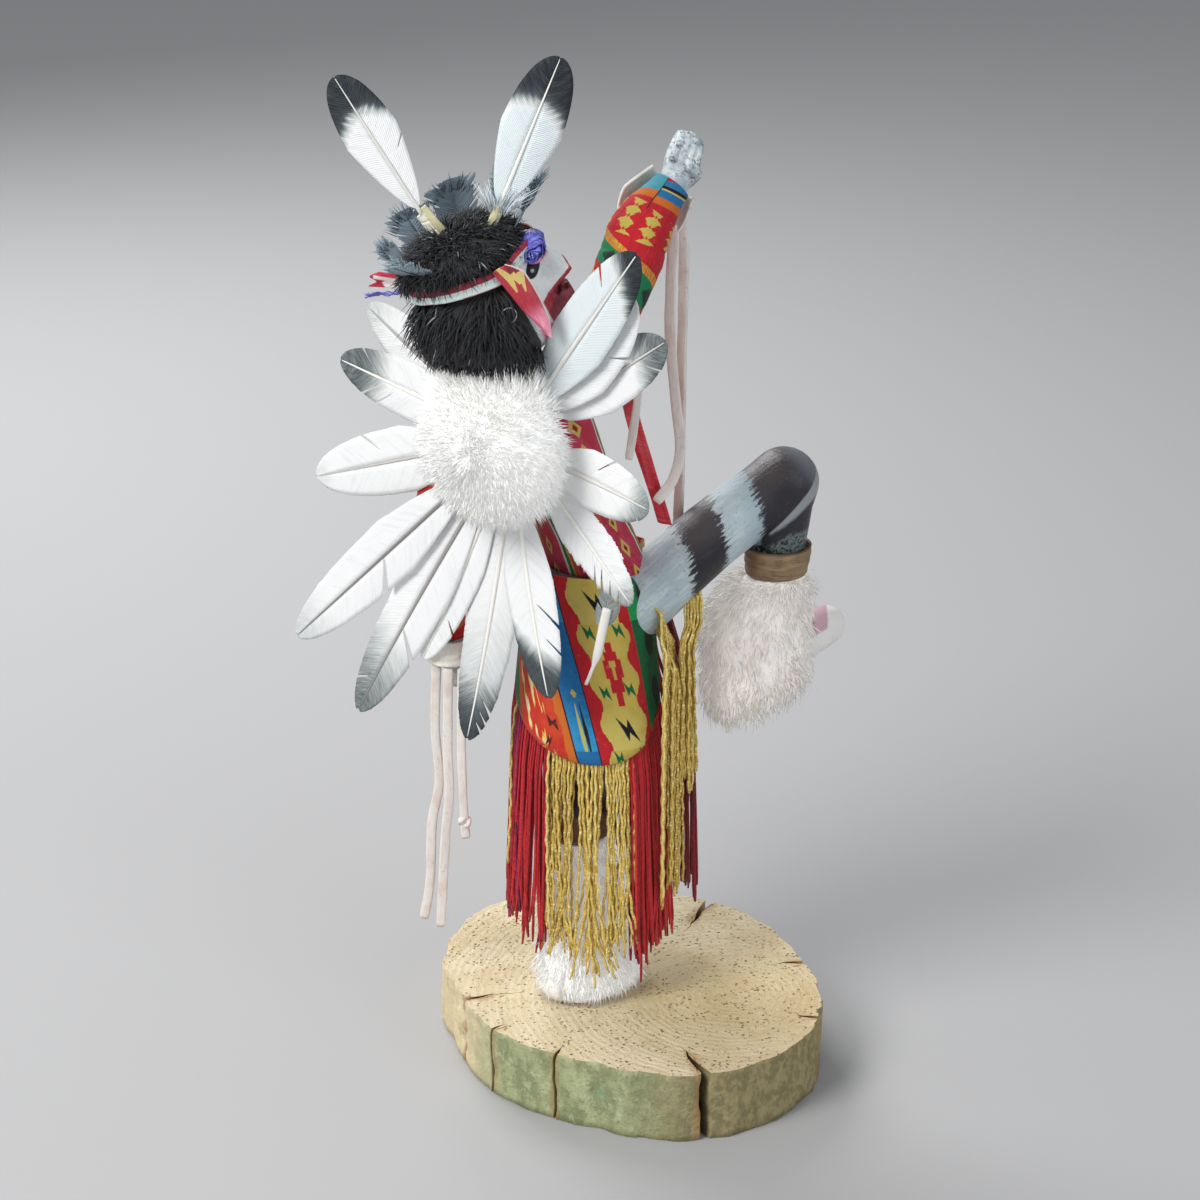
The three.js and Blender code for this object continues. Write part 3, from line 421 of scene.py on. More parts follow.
def tube(path, ra, rb, n=8, ref=(1, 0, 0), power=1.0, twist=None, cap=True, wob=None):
    """closed tube: ra along the side direction near ref, rb across it.
    Returns points, faces (quads, tris), s along in mm and the angle 0..1"""
    path = np.asarray(path, float)
    k = len(path)
    t, U, W = frames(path, arr(ref))
    ra = np.broadcast_to(np.asarray(ra, float), (k,))
    rb = np.broadcast_to(np.asarray(rb, float), (k,))
    a = np.linspace(0, 2 * np.pi, n, endpoint=False)[None, :]
    if twist is not None:
        tw = np.asarray(twist)[:, None]
        c0, s0 = np.cos(tw), np.sin(tw)
    ca = np.sign(np.cos(a)) * np.abs(np.cos(a)) ** power
    sa = np.sign(np.sin(a)) * np.abs(np.sin(a)) ** power
    x = ra[:, None] * ca
    y = rb[:, None] * sa
    if wob is not None:
        x, y = x * wob, y * wob
    if twist is not None:
        x, y = x * c0 - y * s0, x * s0 + y * c0
    V = path[:, None, :] + x[..., None] * U[:, None, :] + y[..., None] * W[:, None, :]
    V = V.reshape(-1, 3)
    s = np.concatenate([[0], np.cumsum(np.linalg.norm(np.diff(path, axis=0), axis=1))])
    S = np.repeat(s, n)
    A = np.tile(np.arange(n) / n, k)
    q = grid_faces(k, n, wrap_v=True)[:, ::-1]
    fs = [q]
    if cap:
        V = np.vstack([V, path[0], path[-1]])
        S = np.append(S, [0, s[-1]])
        A = np.append(A, [0, 0])
        j = np.arange(n)
        fs.append(np.concatenate([
            np.stack([np.full(n, k * n), j, (j + 1) % n], 1)[:, ::-1],
            np.stack([np.full(n, k * n + 1), (k - 1) * n + (j + 1) % n, (k - 1) * n + j], 1)[:, ::-1]]))
    return V, tuple(fs), S, A


# ------------------------------------------------------ camera, light, floor
scene = bpy.context.scene
scene.view_settings.view_transform = "Standard"
cam = bpy.data.cameras.new("camera")
cam.lens = 89.31
cam.sensor_width = 36
cam.clip_end = 50
cam_o = bpy.data.objects.new("camera", cam)
cam_o.location = to_row([-11.8, -875, 509])
cam_o.rotation_euler = (math.radians(68.3), 0, TURN)
scene.collection.objects.link(cam_o)
scene.camera = cam_o

world = bpy.data.worlds.new("soft_room")
world.use_nodes = True
world.node_tree.nodes["Background"].inputs[0].default_value = (0.93, 0.96, 1.0, 1)
world.node_tree.nodes["Background"].inputs[1].default_value = 0.42
scene.world = world


def area(name, at, look, size, power, color=(1, 1, 1)):
    l = bpy.data.lights.new(name, "AREA")
    l.shape = "DISK"
    l.size = size
    l.energy = power
    l.color = color
    o = bpy.data.objects.new(name, l)
    p, q = to_row(arr(at)), to_row(arr(look))
    d = unit(q - p)
    from mathutils import Vector
    o.rotation_euler = Vector(d).to_track_quat("-Z", "Y").to_euler()
    o.location = p
    scene.collection.objects.link(o)


area("key", [-950, -750, 1150], [-10, 0, 150], 0.75, 21, (1.0, 0.985, 0.96))
area("side", [900, -900, 620], [0, 0, 150], 0.9, 5.0, (0.95, 0.97, 1.0))
area("back", [-500, 900, 900], [0, 0, 170], 0.7, 12, (1, 1, 1))

floor_mat = M("floor_paint", 0.75, Specular_IOR_Level=0.15)
floor_mat.color((0.40, 0.40, 0.405))
fg = Geo().add([[-6000, -6000, 0], [6000, -6000, 0], [6000, 6000, 0], [-6000, 6000, 0]], np.array([[0, 1, 2, 3]]))
fm = bpy.data.meshes.new("floor")
fm.from_pydata(to_row(np.concatenate(fg.v)).tolist(), [], [[0, 1, 2, 3]])
fm.materials.append(floor_mat.m)
floor = bpy.data.objects.new("floor", fm)
floor.location = (0, 0, -0.0002)
scene.collection.objects.link(floor)

# -------------------------------------------------- leather thongs (the cords)
suede = M("white_suede", 0.88)
w = suede.vec()
sx, sa = suede.fac("s"), suede.fac("a")
fib = suede.noise(suede.join(sx * 0.25, sa * 14, 0.0), 1.0, 4, 0.6)
blot = suede.noise(w, 0.11, 3)
suede.color(suede.paint("#e6dfd9", (fib.ramp(0.45, 0.75, 0, 0.6), "#cfc3ba"), (blot.ramp(0.5, 0.68, 0, 0.55), "#d6c0b6"),
                        (suede.noise(w, 0.9, 2).ramp(0.66, 0.74, 0, 0.45), "#a8948a")))
suede.bump(fib * 0.6 + suede.noise(w, 4.0, 3) * 0.5, 0.18)

THONGS = {
    "thong_raised_long": (3.4, 1.5, [[9.2, 7.4, 282.6], [11.8, 10.2, 281.8], [13.6, 11.8, 276], [13.9, 12, 262], [13.6, 12, 240], [13.6, 12.6, 215], [13.4, 13.6, 196], [13.1, 16.6, 184], [12.8, 18.6, 176]], "bare"),
    "thong_raised_short": (3.4, 1.5, [[8.4, 6.4, 281.6], [10.2, 6.6, 279], [9.8, 5.6, 264], [9.8, 4.6, 246], [11.6, 1.6, 226], [13, -1.5, 211], [10.6, -4.5, 202.5], [5.6, -7.4, 196.4]], "bare"),
    "thong_lowered_1": (3.2, 1.5, [[-64.6, 10, 134.8], [-65.4, 9.4, 112], [-64.5, 9, 93], [-67, 8.6, 79], [-68.2, 8.2, 57], [-70.4, 8, 43.5]], "bare"),
    "thong_lowered_2": (3.2, 1.5, [[-60.6, 6.4, 134.8], [-61.3, 5.6, 105], [-61.1, 5, 90], [-62.4, 5, 77], [-64.8, 5, 42]], "bare"),
    "thong_lowered_3": (3.0, 1.5, [[-56.2, 6.6, 134.8], [-56.9, 6.4, 105], [-56.8, 6.4, 92], [-56.4, 6.4, 82], [-55.9, 6.4, 74]], "knot"),
    "thong_shoulder": (2.6, 1.2, [[-5.2, -13.4, 250.6], [-2.2, -13.2, 248.6], [-0.6, -13.1, 243], [-0.4, -13.2, 233], [-1.6, -13.4, 222], [-3, -13.6, 212.5]], "bare"),
}
for k, (name, (wd, th, pts, end)) in enumerate(THONGS.items()):
    n = 70
    path, L = even(pts, n)
    s = np.linspace(0, L, n)
    half = wd / 2 * (1 + 0.10 * noise(np.stack([s * 0.12, s * 0 + k, s * 0], 1), 1, 3))
    tw = 0.35 * noise(np.stack([s * 0.03, s * 0 + 7 * k, s * 0], 1), 1, 9) * smooth(s, 0, 20)
    ends = np.clip(np.minimum(s, L - s) / 0.8, 0.55, 1)
    V, F, S, A = tube(path, half * (0.6 + 0.4 * ends), th / 2 * (0.7 + 0.3 * ends), 16, (1, 0, 0), 0.55, tw)
    g = Geo().add(V, F, 0, s=S, a=A)
    if end == "knot":
        # a small overhand knot in the strip, just above its end
        p0 = path[-8]
        loop = []
        for t in np.linspace(0, 2 * np.pi, 26):
            loop.append(p0 + arr(1.5 * math.sin(t), 0.9 * math.sin(2 * t), 1.3 * math.cos(t) - 0.2))
        V, F, S, A = tube(np.array(loop), 1.0, 0.75, 10, (1, 0, 0), 0.7)
        g.add(V, F, 0, s=S, a=A)
    o = build(name + "_suede", g, [suede], name)
    to_row(arr(pts[0])).tolist()
    L / 1000
    to_row(path).tolist()

# ------------------------------------------------------------ slice of trunk
BASE_T = 24.0
BASE_R = [61, 59.5, 60, 62.5, 65, 65.2, 66, 72, 75, 75, 72, 68, 61, 58, 57, 55.5, 54.5, 55, 59, 63.5, 65.5, 66.4, 65.5, 63.5]
# angle, depth, width at the rim, how far a fine check runs on beyond it
CRACKS = [(-71, 17, 3.0, 4), (65, 22, 3.4, 5), (-169, 13, 2.0, 12), (-120, 5, 1.3, 2), (14, 8, 2.2, 6), (-22, 7, 1.6, 5), (-146, 5, 1.1, 3)]
RINGS_AT = arr(30.8, -9.3)


def base_radius(deg):
    x = (np.asarray(deg, float) % 360) / 15
    i = np.floor(x).astype(int) % 24
    f = x - np.floor(x)
    R = arr(BASE_R)
    return lerp(R[i], R[(i + 1) % 24], f * f * (3 - 2 * f))


def wood_base():
    th = list(np.arange(0, 360, 1.15))
    for c in CRACKS:
        h = c[2] / 2 / 62 * 180 / math.pi
        th = [t for t in th if abs((t - c[0] + 180) % 360 - 180) > h * 2.2]
        th += [c[0] + h * k for k in (-2.0, -1.5, -1.12, -0.98, -0.7, -0.4, -0.15, 0.05, 0.3, 0.6, 0.98, 1.12, 1.5, 2.0)]
    th = np.array(sorted(t % 360 for t in th))
    nt = len(th)

    def rim(deg, z):
        """outer radius with the bumps of the bare trunk"""
        a = np.radians(deg)
        R = base_radius(deg)
        p = np.stack([np.cos(a) * 60, np.sin(a) * 60, z + 0 * a], -1)
        fibre = noise(np.stack([p[..., 0] * 0.5, p[..., 1] * 0.5, p[..., 2] * 0.05], -1), 1, 5, 3)
        lumps = noise(np.stack([p[..., 0] * 0.12, p[..., 1] * 0.12, p[..., 2] * 0.06], -1), 1, 8, 2)
        left = smooth(-np.cos(a - math.radians(-25)), 0.3, 0.9)       # rougher on the left
        chip = noise(np.stack([p[..., 0] * 0.3, p[..., 1] * 0.3, p[..., 2] * 0.16], -1), 1, 11, 3)
        R = R - 0.5 - 0.45 * fibre - 0.6 * lumps - (0.4 + 1.5 * left) * np.maximum(0, chip - 0.12) * 2.2
        edge = smooth(np.abs(z - BASE_T / 2), BASE_T / 2 - 1.2, BASE_T / 2 + 0.1)
        R = R - edge * (0.45 + 0.35 * noise(p, 0.4, 3, 2))
        return R

    def notch(deg, z):
        """depth of the cracks as seen from the rim, 0 between them"""
        d = 0 * np.asarray(deg, float)
        for k, (c, depth, w, more) in enumerate(CRACKS):
            h = w / 2 / 62 * 180 / math.pi
            x = ((deg - c + 180) % 360 - 180) / h
            prof = np.clip(1 - np.abs(x), 0, 1) ** 0.75
            d = np.maximum(d, depth * prof * (0.9 + 0.1 * np.cos(z * 0.3 + k)))
        return d

    def wander(r, deg, z):
        """the cracks and the wood round them wander a little"""
        s = 0 * np.asarray(deg, float)
        for k, (c, depth, w, more) in enumerate(CRACKS):
            x = (deg - c + 180) % 360 - 180
            near = np.exp(-(x / 5.0) ** 2)
            s = s + near * (1.1 * np.sin(r * 0.33 + k) + 0.45 * np.sin(z * 0.3 + 2 * k) + 0.15 * np.sin(z * 0.9 + r * 0.2)) / 62 * 57.3 * 0.9
        return s

    def place(r, deg, z):
        a = np.radians(deg + wander(r, deg, z))
        return np.stack([r * np.cos(a), r * np.sin(a), z + 0 * a], -1)

    def relief(P):
        """sawn face: pores, saw marks and rings worn a little proud"""
        dr = np.hypot(P[..., 0] - RINGS_AT[0], P[..., 1] - RINGS_AT[1])
        q = P.copy()
        q[..., 2] = 0
        ring = np.sin(dr * 2.6 + 2.5 * noise(q, 0.05, 21, 2))
        pits = np.maximum(0, noise(q, 0.55, 31, 2) - 0.18)
        saw = noise(np.stack([q[..., 0] * 0.10, q[..., 1] * 0.6, q[..., 2]], -1), 1, 33, 2)
        rough = noise(q, 0.035, 35, 2)
        return 0.03 * ring - 0.9 * pits * (0.7 + 0.6 * rough) + 0.12 * saw - 0.15

    g = Geo()
    # top face
    f = np.linspace(0, 1, 54) ** 0.8
    f[0] = 0.02
    TH, FR = np.meshgrid(th, f)
    R = rim(TH, np.full_like(TH, BASE_T)) - notch(TH, np.full_like(TH, BASE_T)) * FR ** 3
    P = place(FR * R, TH, np.full_like(TH, BASE_T))
    P[..., 2] += relief(P) * smooth(FR, 1.0, 0.97) - 0.12
    P[-1, :, 2] -= 0.15
    side = np.zeros(TH.shape)
    g.add(P.reshape(-1, 3), grid_faces(len(f), nt, wrap_v=True), 0, side=side.ravel(),
          deep=(smooth(notch(TH, TH * 0), 0.5, 3.0) * smooth(FR, 0.985, 1.0)).ravel())
    # rim
    z = np.linspace(BASE_T, 0, 23)
    TH, ZZ = np.meshgrid(th, z)
    R = rim(TH, ZZ) - notch(TH, ZZ)
    Q = place(R, TH, ZZ)
    Q[0] = P[-1]
    wob = 0.12 * noise(Q, 1.1, 41, 2) + 0.1
    dirn = unit(np.stack([Q[..., 0], Q[..., 1], 0 * Q[..., 0]], -1))
    inner = np.ones(len(z)); inner[0] = 0; inner[-1] = 0
    Q = Q - dirn * (wob * inner[:, None])[..., None]
    Q[..., 2] = np.maximum(Q[..., 2], 0)
    g.add(Q.reshape(-1, 3), grid_faces(len(z), nt, wrap_v=True), 0, side=np.ones(TH.size),
          deep=smooth(notch(TH, ZZ), 0.5, 3.0).ravel())
    # underside, sawn flat
    fb = np.linspace(1, 0.02, 9)
    TH, FR = np.meshgrid(th, fb)
    R = rim(TH, TH * 0) - notch(TH, TH * 0) * FR ** 3
    B = place(FR * R, TH, TH * 0)
    B[..., 2] = 0
    g.add(B.reshape(-1, 3), grid_faces(len(fb), nt, wrap_v=True), 0, side=np.zeros(TH.size), deep=np.zeros(TH.size))
    # close the two small holes at the centre
    top, bot = P[0].mean(0), B[-1].mean(0)
    j = np.arange(nt)
    n0 = g.n
    g.add(np.vstack([top, bot]), np.zeros((0, 3), int), 0, side=0.0, deep=0.0)
    kb = g.n - 2 - nt
    g.f.append(np.stack([np.full(nt, n0), j, (j + 1) % nt], 1)); g.mi.append(np.zeros(nt, np.int32))
    g.f.append(np.stack([np.full(nt, n0 + 1), kb + (j + 1) % nt, kb + j], 1)); g.mi.append(np.zeros(nt, np.int32))

    m = M("cut_wood", 0.92, Specular_IOR_Level=0.2)
    x, y, zc = m.xyz()
    wk = m.vec()
    side_f, deep = m.fac("side"), m.fac("deep")
    dx, dy = x - float(RINGS_AT[0]), y - float(RINGS_AT[1])
    dr = (dx * dx + dy * dy).pow(0.5)
    warp = m.noise(wk, 0.06, 2)
    ring = (dr * 2.6 + warp * 9).sin()
    ring2 = (dr * 0.9 + warp * 6).sin()
    flat = m.join(x, y, 0.0)
    pores = m.cells(flat, 0.62)
    pores2 = m.noise(flat, 1.5, 3, 0.6)
    brown = m.noise(flat, 0.05, 3)
    saw = m.noise(m.join(x * 0.12, y * 1.3, 0.0), 1.0, 3)
    # darker towards the ring centre and towards the front right
    darker_front_right = (dx * dx + dy * dy * 1.4).pow(0.5).ramp(58, 22) * (x * 0.7 - y).ramp(-60, 30)
    face = m.paint("#ddcfb0",
                   (brown.ramp(0.42, 0.62, 0, 0.55), "#c7b48e"),
                   (ring2.ramp(0.0, 1.0, 0, 0.14), "#c2a97c"),
                   (ring.ramp(0.2, 1.0, 0, 0.15), "#b7a176"),
                   (darker_front_right * 0.5, "#b29c6c"),
                   (saw.ramp(0.52, 0.72, 0, 0.28), "#eadfc2"),
                   (pores2.ramp(0.56, 0.70, 0, 0.55), "#957a4e"),
                   ((m.noise(flat, 0.16, 2).ramp(0.40, 0.58) * pores.ramp(0.36, 0.16)) * 0.8, "#6b4c28"),
                   (m.noise(m.join(x * 0.9 + y * 0.2, y * 2.4, 0.0), 1.0, 2).ramp(0.70, 0.76, 0, 0.5), "#86683c"))
    # rim: grey green patina at the front, warm brown at the right; paler at the left and the back, which is painted
    # light where the light falls
    ang = m.noise(m.join(x * 0.16, y * 0.16, zc * 0.10), 1.0, 5, 0.62)
    vein = m.noise(m.join(x * 0.34, y * 0.34, zc * 0.26), 1.0, 5, 0.66)
    fine = m.noise(wk, 0.7, 4, 0.6)
    front = (y * -1 + x * 0.15).ramp(-12, 24)
    # painted light: the rim is paler on its lit left side and towards the back
    lit_left = (x * -1 + y * 0.1).ramp(38, 58)
    back = y.ramp(-5, 40)
    bark = m.paint("#c4b387",
                   (ang.ramp(0.40, 0.62, 0, 0.8), "#a9996c"),
                   (vein.ramp(0.52, 0.74, 0, 0.6), "#8d7c54"),
                   (front * 0.78, m.mix(ang.ramp(0.36, 0.62), "#a3b087", "#7f8d69")),
                   (front * vein.ramp(0.50, 0.68) * 0.65, "#c3cba4"),
                   (front * fine.ramp(0.56, 0.72) * 0.55, "#66704f"),
                   (front * ang.ramp(0.60, 0.72) * 0.5, "#8bab8a"),
                   ((x * 0.7 - y * 0.7).ramp(34, 60) * 0.8, m.mix(vein.ramp(0.40, 0.60), "#a4936c", "#7a6b4c")),
                   ((x.ramp(30, 58)) * front.inv() * 0.5, "#a08256"),
                   # painted light on the left and back of the rim
                   (lit_left * 0.75, "#e2d2af"),
                   (lit_left * vein.ramp(0.55, 0.70) * 0.5, "#b08e5c"),
                   (back * 0.35, "#cdbb92"),
                   (zc.ramp(3.0, 0.0) * 0.45, "#5f563d"),
                   (vein.ramp(0.66, 0.76) * 0.6, "#4f452e"))
    c = m.mix(side_f, face, bark)
    # brown stain beside the cracks, painted shade inside them
    for cdeg, depth, wd, more in CRACKS:
        a = math.radians(cdeg)
        along = x * math.cos(a) + y * math.sin(a)
        across = (y * math.cos(a) - x * math.sin(a) + (along * 0.33).sin() * 0.9 + (m.noise(flat, 0.25, 2) - 0.5) * 2.0).abs()
        R0 = float(base_radius(cdeg))
        fine_line = across.ramp(0.30, 0.10) * along.ramp(R0 - depth - more, R0 - depth)
        c = m.mix(fine_line * 0.75 * side_f.inv(), c, "#5a3c20")
        c = m.mix(across.ramp(1.6 + wd * 0.5, wd * 0.35) * along.ramp(R0 - depth - 1, R0 - depth + 5) * 0.45, c, "#a87946")
    # painted shade: near black down in the cracks
    c = m.mix(deep * 0.93, c, "#1d1510")
    m.color(c)
    m.bump(side_f.inv() * (pores.ramp(0.35, 0.1, 0, -0.6) + pores2 * 0.9 + saw * 0.4 + ring * 0.12) + side_f * (vein * 1.5 + fine * 0.7), 0.55)
    return build("trunk_slice", g, [m], "wood_base")


wood_base()

# ------------------------------------------------------------------- feathers
def feather_material():
    m = M("feather", 0.72, Specular_IOR_Level=0.25)
    bx, bj, dk, sh, wm = m.fac("bx"), m.fac("bj"), m.fac("dk"), m.fac("sh"), m.fac("warm")
    line = (bx * 1.45).frac()
    line = (line - 0.5).abs() * 2
    v = m.join(bx * 0.55, bj * 0.8, dk * 0 + m.fac("seed"))
    clump = m.noise(v, 1.0, 3, 0.6)
    barb = m.noise(m.join(bx * 2.3, bj * 1.5, m.fac("seed")), 1.0, 2, 0.7)
    # the grey lines between barbs are painted shade in the grooves
    base = m.paint("#f6f7f8",
                   (wm.ramp(0.0, 1.0) * 0.8, "#e9e6da"),
                   (wm.ramp(0.0, -1.0) * 0.8, "#d7e6ea"),
                   (clump.ramp(0.50, 0.72, 0, 0.30), "#cfd2d6"),
                   (line.ramp(0.55, 1.0, 0, 0.30), "#c3c6cb"))
    d = (dk + (barb - 0.5) * 0.55 * dk.ramp(0.0, 0.3) * dk.ramp(1.3, 0.8) + (clump - 0.5) * 0.25 * dk.ramp(0.02, 0.3)).clamp()
    r = m.nt.nodes.new("ShaderNodeValToRGB")
    m.nt.links.new(d.s, r.inputs[0])
    e = r.color_ramp.elements
    e[0].position, e[0].color = 0.0, lin("#f6f7f8")
    e[1].position, e[1].color = 1.0, lin("#23282e")
    for p, c in ((0.22, "#cfd3d3"), (0.45, "#98a09f"), (0.68, "#565e63")):
        x = e.new(p)
        x.color = lin(c)
    c = m.mix(d.ramp(0.0, 0.16), base, r.outputs[0])
    # painted shade: darker grooves between barbs in the dark tips
    c = m.mix(line.ramp(0.6, 1.0) * dk.ramp(0.3, 0.8) * 0.4, c, "#15191d")
    c = m.mix(sh * 0.9, c, m.mix(m.fac("shaft_dark"), "#f3f1ea", "#4a4744"))
    m.color(c)
    m.bump(line.ramp(0.4, 1.0) * -0.7 * sh.inv() + clump * 0.6, 0.12)
    return m


FEATHER = feather_material()


def vane(base, tip, nrm, width, quill=0.14, sharp=0.55, rows=120, cols=6, cup=0.4, bend=0.0, sway=0.0, k=0.95,
         splits=(), fray=0.02, dark=None, seed=1, warm=0.0, shaft=1.0, shaft_dark=0.0, root=0.40, root_pow=0.5,
         lead=1.0, blunt=None, thick=0.28, g=None, curl=0.0, rib_from=-0.02, rib_to=0.985, rib_lift=0.22):
    """one feather as a closed mesh: each row of the vane is a barb"""
    base, tip = arr(base), arr(tip)
    L = float(np.linalg.norm(tip - base))
    ex = (tip - base) / L
    ez = unit(arr(nrm) - ex * np.dot(nrm, ex))
    ey = np.cross(ez, ex)
    x0 = L * quill

    def half(x):
        t = np.clip((x - x0) / (L - x0), 0, 1)
        r = np.minimum(1, t / root) ** root_pow
        if blunt:
            return width / 2 * r * np.clip((1 - t) / 0.02, 0, 1) ** 0.5 * (0.75 + 0.25 * t)
        return width / 2 * r * np.clip(1 - t ** 4.5, 0, 1) ** sharp

    def bent(x, y):
        """shaft sways sideways and the vane cups and bends"""
        t = x / L
        yy = y + sway * 4 * t * (1 - t)
        z = bend * t * t - cup * (2 * np.abs(y) / width) ** 2 + curl * (2 * y / width) * t
        return base + x[..., None] * ex + yy[..., None] * ey + z[..., None] * ez

    g = g or Geo()
    rng = np.random.default_rng(seed)
    xi = x0 + (L * 0.992 - x0) * np.linspace(0.0, 1.0, rows) ** 0.93
    for side in (1, -1):
        ws = 1.0 if side > 0 else lead
        lo, hi = np.zeros(rows), np.full(rows, width)
        for _ in range(26):
            mid = (lo + hi) / 2
            f = mid - half(np.minimum(xi + k * mid, L)) * ws
            hi = np.where(f > 0, mid, hi)
            lo = np.where(f > 0, lo, mid)
        ye = lo
        clump = np.cumsum(rng.random(rows) < 0.16)
        ragged = 1 - fray * hashf(clump, seed + side) - 0.5 * fray * rng.random(rows)
        ye = np.maximum(ye * ragged, 0.05)
        j = np.linspace(0, 1, cols) ** 0.9
        Y = ye[:, None] * j[None, :]
        X = xi[:, None] + k * ye[:, None] * j[None, :] ** 1.18
        cut = np.zeros((rows - 1, cols - 1), bool)
        for sp in splits:
            s_side, t, j0, open_mm = sp[:4]
            if s_side != side:
                continue
            i = int(np.argmin(np.abs((xi + k * ye * 0.8) / L - t)))
            i = max(1, min(rows - 3, i))
            di = np.arange(rows) - i
            reach = sp[4] if len(sp) > 4 else 7.0
            push = np.where(di <= 0, -1.0, 1.0) * np.exp(-np.abs(di - 0.5) / reach)
            amt = np.clip((j - j0) / (1 - j0), 0, 1) ** 1.1 * open_mm / 2
            X = X + push[:, None] * amt[None, :]
            cut[i, j[1:] > j0 + 0.02] = True
        Zw = 0.10 * noise(np.stack([X * 0.22, Y * 0.18 * side, np.full_like(X, seed)], -1), 1, seed, 2)
        P = bent(X, side * Y) + Zw[..., None] * ez * (j[None, :, None])
        th = thick * (1 - 0.55 * j[None, :, None]) * np.ones((rows, 1, 1))
        dkv = np.zeros_like(X)
        for d in (dark or ()):
            a, b, amount, curve, bias = (list(d) + [0, 0])[:5]
            t = X / L + curve * (Y / (width / 2)) ** 2 + bias * side * (Y / (width / 2))
            t = t + 0.02 * noise(np.stack([xi[:, None] * 0.5 + 0 * X, Y * 0.1, np.full_like(X, seed + 3)], -1), 1, seed + 5, 2)
            if b > a:
                dkv = np.maximum(dkv, amount * smooth(t, a, b))
            else:                                     # a pale band laid over the dark
                dkv = dkv * (1 - amount * np.exp(-((t - a) / 0.012) ** 2))
        n = rows * cols
        off = g.n
        up, dn = P + th / 2 * ez, P - th / 2 * ez
        q = grid_faces(rows, cols)
        keep = ~cut.ravel()
        q = q[keep]
        top = q if side > 0 else q[:, ::-1]
        bot = q[:, ::-1] if side > 0 else q
        # edges with one face only become the thin rim
        e = np.concatenate([top[:, [0, 1]], top[:, [1, 2]], top[:, [2, 3]], top[:, [3, 0]]])
        key = np.sort(e, 1)
        _, inv, cnt = np.unique(key, axis=0, return_inverse=True, return_counts=True)
        rim = e[cnt[inv.ravel()] == 1]
        wall = np.stack([rim[:, 1], rim[:, 0], rim[:, 0] + n, rim[:, 1] + n], 1)
        V = np.vstack([up.reshape(-1, 3), dn.reshape(-1, 3)])
        two = lambda a: np.tile(np.asarray(a, float).ravel(), 2)
        g.add(V, np.concatenate([top, bot + n, wall]), 0, bx=two(np.broadcast_to(xi[:, None], X.shape)), bj=two(np.broadcast_to(j[None, :], X.shape)),
              dk=two(dkv), sh=0.0, warm=warm, seed=float(seed), shaft_dark=shaft_dark)
    # shaft
    xs = np.linspace(L * rib_from, L * rib_to, 26)
    path = bent(xs, 0 * xs) + rib_lift * ez
    t = np.clip(xs / L, 0, 1)
    r = shaft * (0.95 * (1 - t) ** 0.8 + 0.14)
    V, F, S, A = tube(path, r, r * 0.75, 7, ey)
    g.add(V, F, 0, bx=0.0, bj=0.0, dk=0.0, sh=1.0, warm=warm, seed=float(seed), shaft_dark=shaft_dark)
    return g


FAN_AZ = math.radians(36)
fn = arr(-math.sin(FAN_AZ), -math.cos(FAN_AZ), 0)
fr = arr(math.cos(FAN_AZ), -math.sin(FAN_AZ), 0)
FAN_C = arr(-38, -16, 220)
ZUP = arr(0, 0, 1)


def fan(u, v, off=0.0):
    return FAN_C + u * fr + v * ZUP + off * fn


